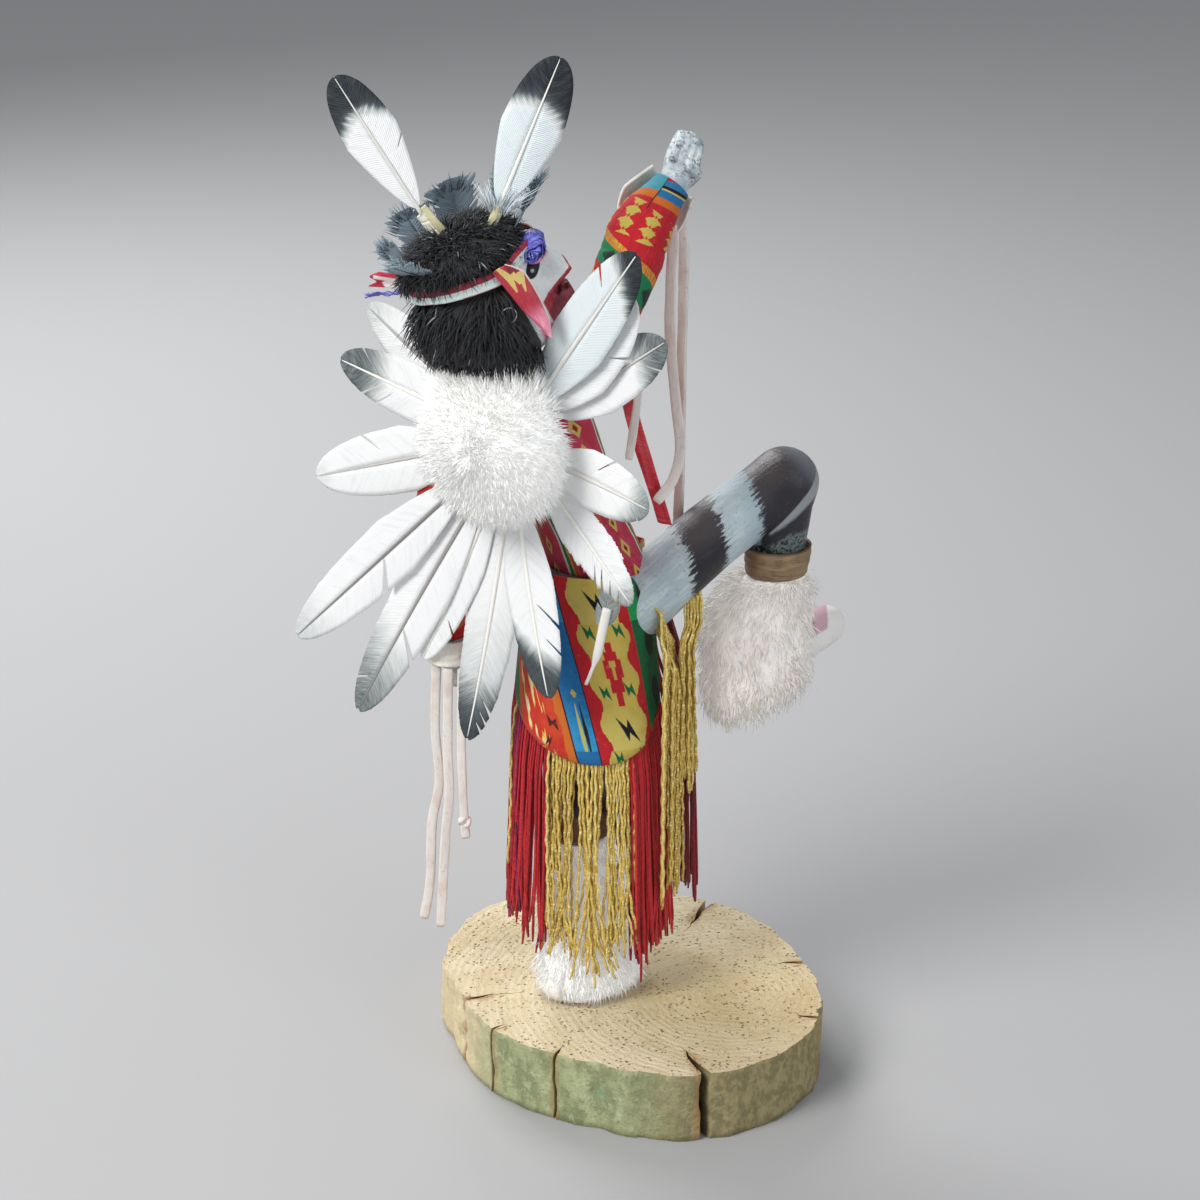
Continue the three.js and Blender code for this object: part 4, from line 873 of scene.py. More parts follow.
ROSETTE = {
    # tip across and up, width, layer, then how it differs
    "01": (49, 66.5, 20, 4, dict(warm=-0.75, bend=1.4, dark=[(0.80, 0.93, 0.95, 0.02, -0.10)], shaft_dark=0.15, splits=[(1, 0.80, 0.5, 0.9)])),
    "02": (45.5, 52, 20, 2, dict(warm=-0.2, sway=-2.0, dark=[(0.93, 1.05, 0.25, 0, 0)], splits=[(-1, 0.7, 0.6, 1.0)])),
    "03": (55, 40, 19, 0, dict(dark=[(0.70, 0.92, 0.62, 0.06, -0.03)], shaft_dark=0.4, splits=[(-1, 0.86, 0.5, 0.7)])),
    "04": (52.5, -11, 20, 3, dict(warm=0.2, bend=1.0, dark=[(0.72, 1.0, 0.50, 0.05, -0.05)], shaft_dark=0.25, splits=[(1, 0.62, 0.6, 0.8), (-1, 0.9, 0.6, 0.6)])),
    "05": (44.5, -44, 19, 1, dict(bend=0.8, dark=[(0.78, 1.02, 0.48, 0.05, -0.06)], shaft_dark=0.1,
                                 splits=[(-1, 0.80, 0.35, 1.5, 4), (-1, 0.87, 0.4, 1.6, 3), (-1, 0.93, 0.35, 1.4, 3), (-1, 0.74, 0.6, 1.0, 4)], fray=0.12)),
    "06": (15.5, -81, 20, 3, dict(bend=1.8, sway=-1.6, dark=[(0.74, 0.90, 0.80, 0.05, -0.08)], splits=[(1, 0.66, 0.35, 1.5, 4), (1, 0.78, 0.5, 0.9, 4)])),
    "07": (-20.5, -106, 20, 0, dict(bend=1.2, sway=1.2, dark=[(0.66, 0.98, 0.85, 0.04, 0.02), (0.25, 0.9, 0.22, 0, 0.05)], fray=0.06,
                                   splits=[(1, 0.86, 0.45, 1.6, 3), (1, 0.94, 0.5, 1.4, 3), (1, 0.90, 0.6, 1.0, 3)])),
    "08": (-38, -82, 15, 1, dict(dark=[(0.92, 1.1, 0.12)], sway=1.0, splits=[(1, 0.8, 0.5, 1.0)])),
    "09": (-64, -106, 20, 2, dict(bend=1.6, sway=-1.0, dark=[(0.60, 1.0, 0.58, 0.03, -0.03)], shaft_dark=0.75, shaft=0.8,
                                 splits=[(1, 0.72, 0.12, 2.6, 6), (-1, 0.9, 0.6, 0.6)])),
    "10": (-87.5, -84.5, 20, 4, dict(bend=1.6, dark=[(0.72, 1.05, 0.24, 0.03, 0.0)], shaft_dark=0.85, shaft=0.7,
                                    splits=[(1, 0.60, 0.12, 2.8, 6)])),
    "11": (-81, -29, 22, 0, dict(bend=1.0, dark=[(0.80, 1.1, 0.20, 0.0, 0.0)], shaft_dark=0.45, shaft=0.6, splits=[(-1, 0.66, 0.55, 1.1, 5)])),
    "12": (-66, 14, 20, 3, dict(bend=1.0, dark=[(0.60, 0.86, 0.62, -0.04, -0.02)], splits=[(1, 0.80, 0.45, 0.8, 4), (1, 0.70, 0.5, 0.6, 4), (-1, 0.84, 0.5, 0.7, 4)])),
    "13": (-57, 32, 19, 1, dict(dark=[(0.70, 1.05, 0.26, 0.0, 0.0)], shaft_dark=0.6, sway=1.0)),
}
for key, (u, v, wd, layer, opt) in ROSETTE.items():
    L = math.hypot(u, v)
    off = -1.4 + layer * 1.15
    g = vane(fan(u / L * 9, v / L * 9, off), fan(u, v, off), fn, wd, seed=10 + int(key), cup=0.35, **opt)
    build("rosette_vane_" + key, g, [FEATHER], "rosette_feather_" + key)

FACING = unit(arr(0, -1, 0.1))
g = vane([-64.5, -19, 291], [-88.9, -18, 331.1], FACING, 17.5, quill=0.03, sharp=0.5, rows=110, root=0.55, root_pow=0.62, cup=1.1, bend=0.0,
         dark=[(0.66, 0.80, 0.92, 0.10, 0.0), (0.735, 0.0, 0.5, 0.10, 0.0)], seed=31, fray=0.012, shaft=0.62, shaft_dark=0.2, k=0.8, splits=[(-1, 0.45, 0.75, 0.7, 4)])
build("crest_vane_left", g, [FEATHER], "crest_feather_left")
g = vane([-41.5, -25, 293.5], [-23, -26, 338.4], FACING, 19, quill=0.03, sharp=0.5, rows=120, root=0.50, root_pow=0.55, cup=1.2, bend=0.0,
         dark=[(0.62, 0.80, 0.95, 0.10, -0.02), (0.70, 0.0, 0.5, 0.10, -0.02)], seed=32, fray=0.012, shaft=0.62, warm=-0.75, k=0.8)
# down at its foot
rng = np.random.default_rng(77)
for i in range(46):
    s = rng.uniform(-1, 1)
    p0 = arr(-41.2, -25.4, 293.0) + arr(s * 4.2, rng.uniform(-1.4, 0.8), rng.uniform(-1.2, 2.5))
    d = unit(arr(0.30 + 0.75 * s, rng.uniform(-0.4, 0.3), 1.0)) * rng.uniform(5, 10)
    path = np.array([p0, p0 + d * 0.5 + arr(s * 0.5, -0.2, 0), p0 + d + arr(s * 1.6, 0, -0.6)])
    V, F, S, A = tube(path, [0.22, 0.16, 0.04], [0.2, 0.14, 0.04], 4, (0, 1, 0))
    g.add(V, F, 0, bx=0.0, bj=0.0, dk=0.0, sh=0.0, warm=-1.0, seed=3.0, shaft_dark=0.0)
build("crest_vane_right", g, [FEATHER], "crest_feather_right")

# small feather hanging quill downwards over the back of the kilt
g = Geo()
vane([-15.4, -21.5, 142], [-7.4, -22.5, 177.5], [-0.2, -1, 0.05], 8.0, quill=0.50, sharp=0.45, rows=46, cols=6, cup=0.5,
     dark=[(0.30, 0.62, 0.50, 0, 0), (0.75, 1.0, 0.65, 0, 0)], seed=41, fray=0.16, splits=[(-1, 0.8, 0.3, 1.2, 3), (1, 0.72, 0.4, 1.0, 3)],
     root=0.3, root_pow=0.4, shaft=0.1, g=g)
path, L = even([[-16.2, -22.0, 141.2], [-14.6, -22.3, 145.5], [-12.8, -22.4, 151], [-11.0, -22.6, 160], [-9.6, -22.8, 167]], 26)
t = np.linspace(0, 1, 26)
V, F, S, A = tube(path, 0.55 + 0.85 * smooth(t, 0.22, 0.42), 0.4 + 0.5 * smooth(t, 0.22, 0.42), 10, (1, 0, 0), 0.8)
g.add(V, F, 0, bx=0.0, bj=0.0, dk=0.0, sh=1.0, warm=0.3, seed=2.0, shaft_dark=0.12)
build("hanging_vane", g, [FEATHER], "hanging_feather")

# ------------------------------------------------------------- the head's axes
HEAD = arr(-45, -20, 265)
LIFT, HTURN = math.radians(28), math.radians(10)
fd = arr(math.cos(LIFT) * math.cos(HTURN), math.cos(LIFT) * math.sin(HTURN), math.sin(LIFT))
hu = arr(-math.sin(LIFT) * math.cos(HTURN), -math.sin(LIFT) * math.sin(HTURN), math.cos(LIFT))
hs = np.cross(fd, hu)


def head_at(f, s, u):
    f, s, u = np.broadcast_arrays(*(np.asarray(x, float) for x in (f, s, u)))
    return HEAD + f[..., None] * fd + s[..., None] * hs + u[..., None] * hu


# short clipped feathers round the crown, dyed grey blue
dyed = M("dyed_feather", 0.85, Specular_IOR_Level=0.2)
bx, bj = dyed.fac("bx"), dyed.fac("bj")
ln = ((bx * 1.2).frac() - 0.5).abs() * 2
cl = dyed.noise(dyed.join(bx * 0.9, bj * 1.6, dyed.fac("seed")), 1.0, 3, 0.6)
# the dark lines between barbs are painted shade in the grooves
dyed.color(dyed.paint("#6d7b86", (dyed.fac("warm").ramp(0.0, 1.0) * 0.9, "#b4c5cd"), (cl.ramp(0.48, 0.70, 0, 0.7), "#8598a1"), (cl.ramp(0.44, 0.30, 0, 0.4), "#333d47"),
                      (ln.ramp(0.6, 1.0, 0, 0.4), "#29313a"), (dyed.fac("sh") * 0.6, "#3a4149")))
dyed.bump(ln * -0.8 + cl, 0.2)
RUFF = {
    "1": ([-12, 9, 17], [-19, 13, 27.5], 20, 0.85), "2": ([-13, -3, 18], [-20.5, -4, 29.5], 20, 0.4),
    "3": ([-8, -12, 18], [-9, -20, 31], 19, 0.15), "4": ([3, -13.5, 18], [7, -21, 32], 19, 0.15),
    "5": ([14, -9, 17], [25, -14, 29], 18, 0.3), "6": ([16, 2, 15], [31, 1, 25], 17, 0.5),
}
for key, (b, t, wd, pale) in RUFF.items():
    B, Tp = head_at(*b), head_at(*t)
    out = unit(head_at(t[0], t[1], b[2]) - head_at(0, 0, b[2]))
    k = int(key)
    rng = np.random.default_rng(500 + k)
    sp = [(sd, float(x + rng.uniform(-0.06, 0.06)), float(rng.uniform(0.55, 0.8)), float(rng.uniform(0.5, 1.1)), 3) for sd in (1, -1) for x in (0.55, 0.72, 0.87)]
    g = vane(B - (Tp - B) * 0.05, Tp + (Tp - B) * 0.02, out, wd, quill=0.02, rows=44, cols=7, k=0.6, root=0.3, root_pow=0.35, blunt=True, fray=0.22,
             splits=sp, seed=50 + k, cup=1.0, bend=0.8, shaft=0.5, warm=pale, thick=0.35, rib_to=0.93)
    # loose wisps round its rim
    ez = unit(out)
    ex = unit(Tp - B)
    ey = np.cross(ez, ex)
    for i in range(60 if k < 5 else 200):
        a = rng.uniform(-1, 1)
        if i < 60:
            p0 = B + (Tp - B) * (0.55 + 0.4 * (1 - a * a) * rng.uniform(0.5, 1)) + ey * a * wd * 0.42
            d = unit(ex * rng.uniform(0.5, 1.2) + ey * a * 1.1 + ez * rng.uniform(-0.4, 0.4)) * rng.uniform(2.0, 4.6)
        else:
            # downy barbs that stand off both faces
            p0 = B + (Tp - B) * rng.uniform(0.35, 0.95) + ey * rng.uniform(-1, 1) * wd * 0.25
            d = unit(ex * rng.uniform(0.6, 1.3) + ez * np.sign(a) * (0.5 + 0.7 * abs(a)) + ey * rng.uniform(-0.5, 0.5)) * rng.uniform(3.0, 6.0)
        V, F, S, A = tube(np.array([p0, p0 + d * 0.55, p0 + d + ez * rng.uniform(-0.5, 0.5)]), [0.2, 0.15, 0.04], [0.16, 0.12, 0.04], 4, (0, 1, 0))
        g.add(V, F, 0, bx=float(i), bj=0.5, dk=0.0, sh=0.0, warm=pale, seed=float(k), shaft_dark=0.0)
    build("ruff_vane_" + key, g, [dyed], "ruff_feather_" + key)

# ------------------------------------------------------------------------ fur
def hairs(g, P, dirs, bend_to, length, width, seed, mat=0, pale=None):
    """closed three-sided hairs: roots P, first along dirs, bending to bend_to"""
    rng = np.random.default_rng(seed)
    n = len(P)
    L = length * np.ones(n)
    W = width * np.ones(n)
    a = unit(dirs)
    b = unit(bend_to)
    mid = P + a * (L * 0.5)[:, None]
    tip = mid + unit(a * 0.35 + b) * (L * 0.55)[:, None]
    r = rng.normal(size=(n, 3))
    u = unit(np.cross(a, r))
    w = np.cross(a, u)
    V = np.zeros((n, 7, 3))
    for i in range(3):
        c, s = math.cos(2.0944 * i), math.sin(2.0944 * i)
        o = u * c + w * s
        V[:, i] = P + o * (W / 2)[:, None]
        V[:, 3 + i] = mid + o * (W * 0.38)[:, None]
    V[:, 6] = tip
    base = np.arange(n)[:, None] * 7
    q = np.concatenate([base + arr([i, (i + 1) % 3, 3 + (i + 1) % 3, 3 + i]).astype(int) for i in range(3)])
    t = np.concatenate([base + arr([3 + i, 3 + (i + 1) % 3, 6]).astype(int) for i in range(3)] + [base + np.array([[0, 2, 1]])])
    hv = rng.random(n)
    ht = np.tile([0, 0, 0, .5, .5, .5, 1.0], (n, 1))
    pv = np.zeros(n) if pale is None else pale
    g.add(V.reshape(-1, 3), (q, t), mat, hv=np.repeat(hv, 7), ht=ht.ravel(), pv=np.repeat(pv, 7))
    return g


def blob(rings, nu, nv, seed, shrink=1.0, rough=0.5, scale=0.35):
    """closed soft body through rings (centre, a, b, u, v), and a sampler of its surface"""
    C = np.array([r[0] for r in rings], float)
    A = np.array([[r[1], r[2]] for r in rings], float)
    U = np.array([unit(arr(r[3])) for r in rings])
    W = np.array([unit(arr(r[4])) for r in rings])

    def at(s, th):
        s, th = np.broadcast_arrays(np.asarray(s, float), np.asarray(th, float))
        shp = s.shape
        s, th = s.ravel(), th.ravel()
        x = s * (len(C) - 1)
        i = np.clip(np.floor(x).astype(int), 0, len(C) - 2)
        f = x - i

        def ip(Q):
            p1, p2 = Q[i], Q[i + 1]
            p0 = np.where((i > 0)[:, None], Q[np.maximum(i - 1, 0)], 2 * Q[0] - Q[1])
            p3 = np.where((i + 2 < len(Q))[:, None], Q[np.minimum(i + 2, len(Q) - 1)], 2 * Q[-1] - Q[-2])
            F = f[:, None]
            return p1 + 0.5 * F * (p2 - p0 + F * (2 * p0 - 5 * p1 + 4 * p2 - p3 + F * (3 * (p1 - p2) + p3 - p0)))
        c, ab, u, w = ip(C), ip(A) * shrink, unit(ip(U)), unit(ip(W))
        P = c + (ab[:, 0] * np.cos(th))[:, None] * u + (ab[:, 1] * np.sin(th))[:, None] * w
        return P.reshape(shp + (3,))

    def normal(s, th):
        e = 1e-3
        ds = at(np.minimum(s + e, 1), th) - at(np.maximum(s - e, 0), th)
        dt = at(s, th + e) - at(s, th - e)
        n = np.cross(dt, ds)
        mid = at(s, th) - at(s, th + math.pi)
        sign = np.sign((n * mid).sum(-1, keepdims=True))
        return unit(n * sign), unit(ds)

    s = np.linspace(0, 1, nu)
    th = np.linspace(0, 2 * np.pi, nv, endpoint=False)
    S, TH = np.meshgrid(s, th, indexing="ij")
    P = at(S, TH)
    N, D = normal(S, TH)
    P = P + N * (noise(P, scale, seed, 3) * rough)[..., None]
    k = nu * nv
    V = np.vstack([P.reshape(-1, 3), P[0].mean(0), P[-1].mean(0)])
    q = grid_faces(nu, nv, wrap_v=True)
    j = np.arange(nv)
    t0 = np.stack([np.full(nv, k), (j + 1) % nv, j], 1)
    t1 = np.stack([np.full(nv, k + 1), (nu - 1) * nv + j, (nu - 1) * nv + (j + 1) % nv], 1)
    # faces outwards, whichever way the rings run
    v0 = P[nu // 2, 0]
    e1, e2 = P[nu // 2 + 1, 0] - v0, P[nu // 2, 1] - v0
    if np.dot(np.cross(e1, e2), v0 - P[nu // 2].mean(0)) < 0:
        q, t0, t1 = q[:, ::-1], t0[:, ::-1], t1[:, ::-1]
    return V, (q, np.concatenate([t0, t1])), at, normal


def fur_material(name, tip, root, shade, pale=None, rough=0.95, sheen=0.0, painted_glow=0.0):
    m = M(name, rough, Specular_IOR_Level=0.15, Sheen_Weight=sheen, Sheen_Roughness=0.6)
    wk = m.vec()
    hv, ht = m.fac("hv"), m.fac("ht")
    soft = m.noise(wk, 0.16, 3, 0.55)
    fine = m.noise(wk, 1.9, 3, 0.6)
    # painted shade: darker towards the roots (ht 0), in root-coloured flecks, and in shade-coloured patches and single
    # hairs
    c = m.paint(root, (ht.ramp(0.0, 0.75), tip), (soft.ramp(0.50, 0.68, 0, 0.5), shade), (hv.ramp(0.55, 1.0, 0, 0.35), shade),
                (fine.ramp(0.55, 0.75, 0, 0.25), root))
    if pale:
        c = m.mix(m.fac("pv"), c, pale)
    m.color(c)
    # painted light: emission brightens the fur
    if painted_glow:
        m.b.inputs["Emission Color"].default_value = lin(tip)
        m.b.inputs["Emission Strength"].default_value = painted_glow
    m.bump(fine + m.noise(wk, 4.5, 2) * 0.6, 0.25)
    return m


WHITE_FUR = fur_material("white_fur", "#ffffff", "#f3f3ef", "#f6f6f2", sheen=0.1, painted_glow=0.16)
CREAM_FUR = fur_material("cream_fur", "#fffdfa", "#f1e9e0", "#f6ece3", sheen=0.1, painted_glow=0.12)
BLACK_FUR = fur_material("black_fur", "#23252c", "#08090c", "#101219", pale="#aeb4b8", rough=0.62, sheen=0.12)
BLACK_FUR.b.inputs["Specular IOR Level"].default_value = 0.4

Q = 0.76        # fewer hairs while trying things


def fur_body(name, node, rings, mat, count, length, width, comb, lift, shrink, seed, rough=0.8, nu=26, nv=40, s_range=(0.0, 1.0),
             gravity=0.0, keep=None, pale_share=0.0, tail=None, spread=0.35):
    V, F, at, normal = blob(rings, nu, nv, seed, shrink, rough)
    g = Geo().add(V, F, 0, hv=0.5, ht=0.35, pv=0.0)
    rng = np.random.default_rng(seed)
    n = int(count * Q)
    s = rng.uniform(*s_range, n)
    th = rng.uniform(0, 2 * np.pi, n)
    P = at(s, th)
    N, D = normal(s, th)
    clump = noise(P, 0.28, seed + 3, 2)[:, None]
    side = np.cross(N, D)
    D = D * comb
    wild = rng.normal(size=(n, 3)) * spread
    first = N * (lift + 0.25 * clump) + D + side * noise(P, 0.22, seed + 9, 2)[:, None] * 0.8 + wild
    last = D * 1.0 + N * (lift * 0.35) + side * noise(P, 0.22, seed + 9, 2)[:, None] * 0.6 + wild + arr(0, 0, -gravity)
    Ln = length * rng.uniform(0.55, 1.15, n) * (1 + 0.35 * clump[:, 0])
    if tail is not None:
        Ln = Ln * tail(s, th, P)
    ok = np.ones(n, bool) if keep is None else keep(P, N)
    pale = (rng.random(n) < pale_share).astype(float)
    hairs(g, (P - N * 0.4)[ok], first[ok], last[ok], Ln[ok], (width * rng.uniform(0.6, 1.3, n) / (0.75 if Q < 0.7 else 0.92))[ok], seed + 1, 0, pale[ok])
    return build(name, g, [mat], node)


# round of white fur over the quills of the rosette
PUFF_R, PUFF_T = 26.0, 20.0
puff_0 = fan(0.5, 1, -1.4 + 4 * 1.15 + 0.4 + 0.35)
prof = [(0.80, 0.0), (0.95, 0.12), (1.0, 0.32), (0.95, 0.56), (0.78, 0.78), (0.5, 0.93), (0.2, 0.995), (0.02, 1.0)]
rings = [(puff_0 + fn * PUFF_T * h, PUFF_R * r, PUFF_R * r, fr, ZUP) for r, h in prof]


def puff():
    V, F, at, normal = blob(rings, 22, 48, 61, 0.90, 0.9, 0.2)
    g = Geo().add(V, F, 0, hv=0.5, ht=0.4, pv=0.0)
    rng = np.random.default_rng(62)
    n = int(9000 * Q)
    s = rng.uniform(0, 0.985, n) ** 0.8
    th = rng.uniform(0, 2 * np.pi, n)
    P = at(s, th)
    N, D = normal(np.minimum(s, 0.9), th)
    N = unit(N + fn * smooth(s, 0.6, 0.95)[:, None] * 2)
    out = unit(P - puff_0)
    swirl = np.cross(N, out)
    radial = unit((P - puff_0) - fn * ((P - puff_0) @ fn)[:, None])
    cl = noise(P, 0.16, 63, 3)[:, None]
    wild = rng.normal(size=(n, 3)) * 0.26
    first = N * 0.62 + radial * 0.65 + arr(0, 0, -0.10) + swirl * cl * 0.9 + wild
    last = radial * 0.9 + N * 0.25 + arr(0, 0, -0.30) + swirl * cl * 0.7 + wild
    # at the top the fur stands up over the ends of the hair
    up = smooth(P[:, 2] - puff_0[2], 8.0, 20.0)[:, None]
    first = first + up * (fn * 0.45 + arr(0, 0, 0.35))
    last = last + up * (fn * 0.30 + arr(0, 0, 0.85))
    hairs(g, P - N * 0.8, first, last, rng.uniform(2.6, 6.4, n) * (1 + 0.75 * up[:, 0]), 0.44 * rng.uniform(0.6, 1.3, n) / (0.75 if Q < 0.7 else 0.92), 64)
    build("puff_fur", g, [WHITE_FUR], "fur_puff")


puff()

# fur round the standing shin, fanning out over the slice
fx, fy = arr(0.62, 0.78, 0), arr(-0.78, 0.62, 0)
rings = [([-19.3, 3.4, 77], 10.4, 10.4, fx, fy), ([-18.3, 1.6, 58], 13.2, 13.2, fx, fy), ([-17.3, 0.4, 43], 14.6, 14.2, fx, fy),
         ([-15.5, -0.5, 31], 19.5, 15.5, fx, fy), ([-15, 0, 25.2], 19.5, 14.5, fx, fy)]


def above_base(P, N):
    return P[:, 2] > 25.5


fur_body("standing_boot_fur", "fur_boot_standing", rings, WHITE_FUR, 7600, 6.6, 0.44, 1.0, 0.45, 0.92, 71, rough=1.0, nu=26, nv=44,
         s_range=(0.0, 0.94), gravity=0.35, keep=above_base, tail=lambda s, th, P: np.clip((P[:, 2] - 24.5) / 6.5, 0.25, 1))

# fur round the raised shin, hanging open below the knee band
flat = arr(0, 1, 0)
rr = [([44.4, 15, 164.4], 9.6, 9.4), ([41.0, 14.5, 160.0], 15.0, 13.4), ([38.2, 14, 150], 18.4, 16.6), ([38.6, 13.7, 138], 18.6, 16.8), ([39, 13.5, 128], 18.4, 16.2), ([39.5, 14, 121.5], 15.2, 13.6)]
rings = [(c, a, b, unit(arr(1, 0.1, 0.42 * i / 5)), flat) for i, (c, a, b) in enumerate(rr)]
fur_body("raised_boot_fur", "fur_boot_raised", rings, CREAM_FUR, 9000, 6.4, 0.42, 1.1, 0.30, 0.94, 81, rough=1.1, nu=26, nv=44,
         s_range=(0.0, 1.0), gravity=0.25)

# black fur round the top of the mask
tilt = lambda deg: (math.cos(math.radians(deg)) * fd - math.sin(math.radians(deg)) * hu, math.cos(math.radians(deg)) * hu + math.sin(math.radians(deg)) * fd)
rings = [(head_at(-1, 0, u).reshape(3), a, b, tilt(k)[0], hs) for u, a, b, k in [(12.4, 17.4, 16.6, 10), (13.9, 19.4, 18.2, 9), (17, 19.8, 18.4, 5), (20.5, 16.2, 15.0, 2), (23, 10.6, 9.6, 0), (24.3, 3, 3, 0)]]
fur_body("crown_fur", "fur_crown", rings, BLACK_FUR, 5600, 5.0, 0.46, -0.7, 0.8, 0.93, 91, rough=0.9, nu=22, nv=40,
         gravity=0.15, pale_share=0.010, spread=0.42, tail=lambda s, th, P: np.clip(0.35 + 2.6 * s + 1.2 * ((P - HEAD) @ fd < -9), 0, 1.1))


# hair at the back and sides of the head, hanging ragged over the shoulders
def hair():
    rr = [([-46, -19.5, 280], 15.2, 14.8), ([-47, -20, 275.5], 17.4, 16.2), ([-46.4, -21, 268], 19.6, 17.4), ([-46, -22, 262], 20.3, 17.6), ([-46.5, -23.5, 251], 18.6, 15.2), ([-47, -24, 246.5], 12, 9.5)]
    rings = [(c, a, b, arr(1, 0, 0), arr(0, 1, 0)) for c, a, b in rr]
    V, F, at, normal = blob(rings, 20, 40, 101, 0.93, 0.6)
    # the front of the body stays behind the face
    f = (V - HEAD) @ fd
    V = V - np.maximum(0, f - 7.5)[:, None] * fd
    # and inside the band, which presses it to the head
    up = (V - HEAD) @ tilt(10)[1]
    mid = head_at(0.6, 0, 0)
    q = V - mid
    q = q - np.outer(q @ hu, hu)
    V = V - q * (0.07 * smooth(up, 5.5, 8.0))[:, None]
    g = Geo().add(V, F, 0, hv=0.5, ht=0.2, pv=0.0)
    rng = np.random.default_rng(102)
    n = int(5600 * Q)
    s = rng.uniform(0, 1, n) ** 0.9
    th = rng.uniform(0, 2 * np.pi, n)
    P = at(s, th)
    N, D = normal(s, th)
    ok = ((P - HEAD) @ fd < 6.5) & ((P - HEAD) @ tilt(10)[1] < 7.4)
    # not into the rosette behind the shoulders
    cl = noise(P, 0.22, 103, 2)[:, None]
    side = np.cross(N, arr(0, 0, -1.0))
    wild = rng.normal(size=(n, 3)) * 0.22
    first = N * (0.45 + 0.2 * cl) + arr(-0.10, 0, -0.8) + side * cl * 1.1 + wild
    last = N * 0.16 + arr(-0.12, 0, -1.0) + side * cl * 0.8 + wild
    Ln = rng.uniform(6, 12.5, n) * (1 + 0.3 * cl[:, 0]) * np.clip((P[:, 2] - 238) / 18, 0.45, 1)
    Ln = Ln * (1 - 0.6 * smooth(N @ fn, 0.1, 0.7) * smooth(-P[:, 2], -262, -250))
    pale = (rng.random(n) < 0.012).astype(float) * 0.8
    hairs(g, (P - N * 0.4)[ok], first[ok], last[ok], Ln[ok], (0.5 * rng.uniform(0.6, 1.3, n) / (0.75 if Q < 0.7 else 0.92))[ok], 104, 0, pale[ok])
    # one pale curl
    a = np.linspace(-1.9, 2.3, 30)
    c = head_at(3.0, 19.0, -1.5)
    V, F, S, A = tube(c + np.outer(2.6 * np.cos(a), arr(0.8, 0, 0.5)) + np.outer(2.4 * np.sin(a), arr(-0.4, 0, 0.85)) + np.outer(0 * a, hs), 0.14, 0.14, 5)
    g.add(V, F, 0, hv=0.5, ht=1.0, pv=0.9)
    build("hanging_hair", g, [BLACK_FUR], "hair")


hair()

# ------------------------------------------------------------- carved figure
HIP_L, KNEE_L, ANKLE_L = arr(-18, 10, 158), arr(-19, 7, 98), arr(-21, -5, 40)
HEEL_L, TOE_L = arr(-26, -13, 29), arr(-4, 15, 28)
HIP_R, KNEE_R, ANKLE_R = arr(0, 2, 159.5), arr(46.5, 16, 195), arr(41, 13, 136)
HEEL_R, TOE_R = arr(38, 9, 130), arr(62, 28, 141)
SHOULDER_R, ELBOW_R, WRIST_R, HAND_R = arr(-19, -17, 238), arr(-4, -8, 270), arr(10, 3, 294), arr(15, 7, 306)
SHOULDER_L, ELBOW_L, WRIST_L, HAND_L = arr(-47, 9, 235), arr(-62, 12.5, 192), arr(-60, 12, 141), arr(-56, 19, 126)
TORSO = [[-10, 9, 152], [-13, 8, 168], [-19, 4, 188], [-27, -2, 210], [-32, -6, 226], [-36, -10, 238], [-39, -14, 250]]
TORSO_R = [[17, 14], [17, 13.5], [14.5, 11.5], [18.5, 12], [19.5, 11.5], [9, 8], [6.5, 6.5]]
ARM_R = [SHOULDER_R, [-12, -13, 254], ELBOW_R, [1, -4, 283], WRIST_R]
ARM_R_R = [[9, 8.5], [8, 8], [8.6, 8.2], [8.6, 7.4], [4.4, 4.2]]
ARM_L = [SHOULDER_L, [-57, 12, 215], ELBOW_L, [-62, 12, 165], WRIST_L]
ARM_L_R = [[8.5, 8], [7.4, 7.4], [6.6, 6.6], [5.6, 5.6], [4.4, 4.4]]


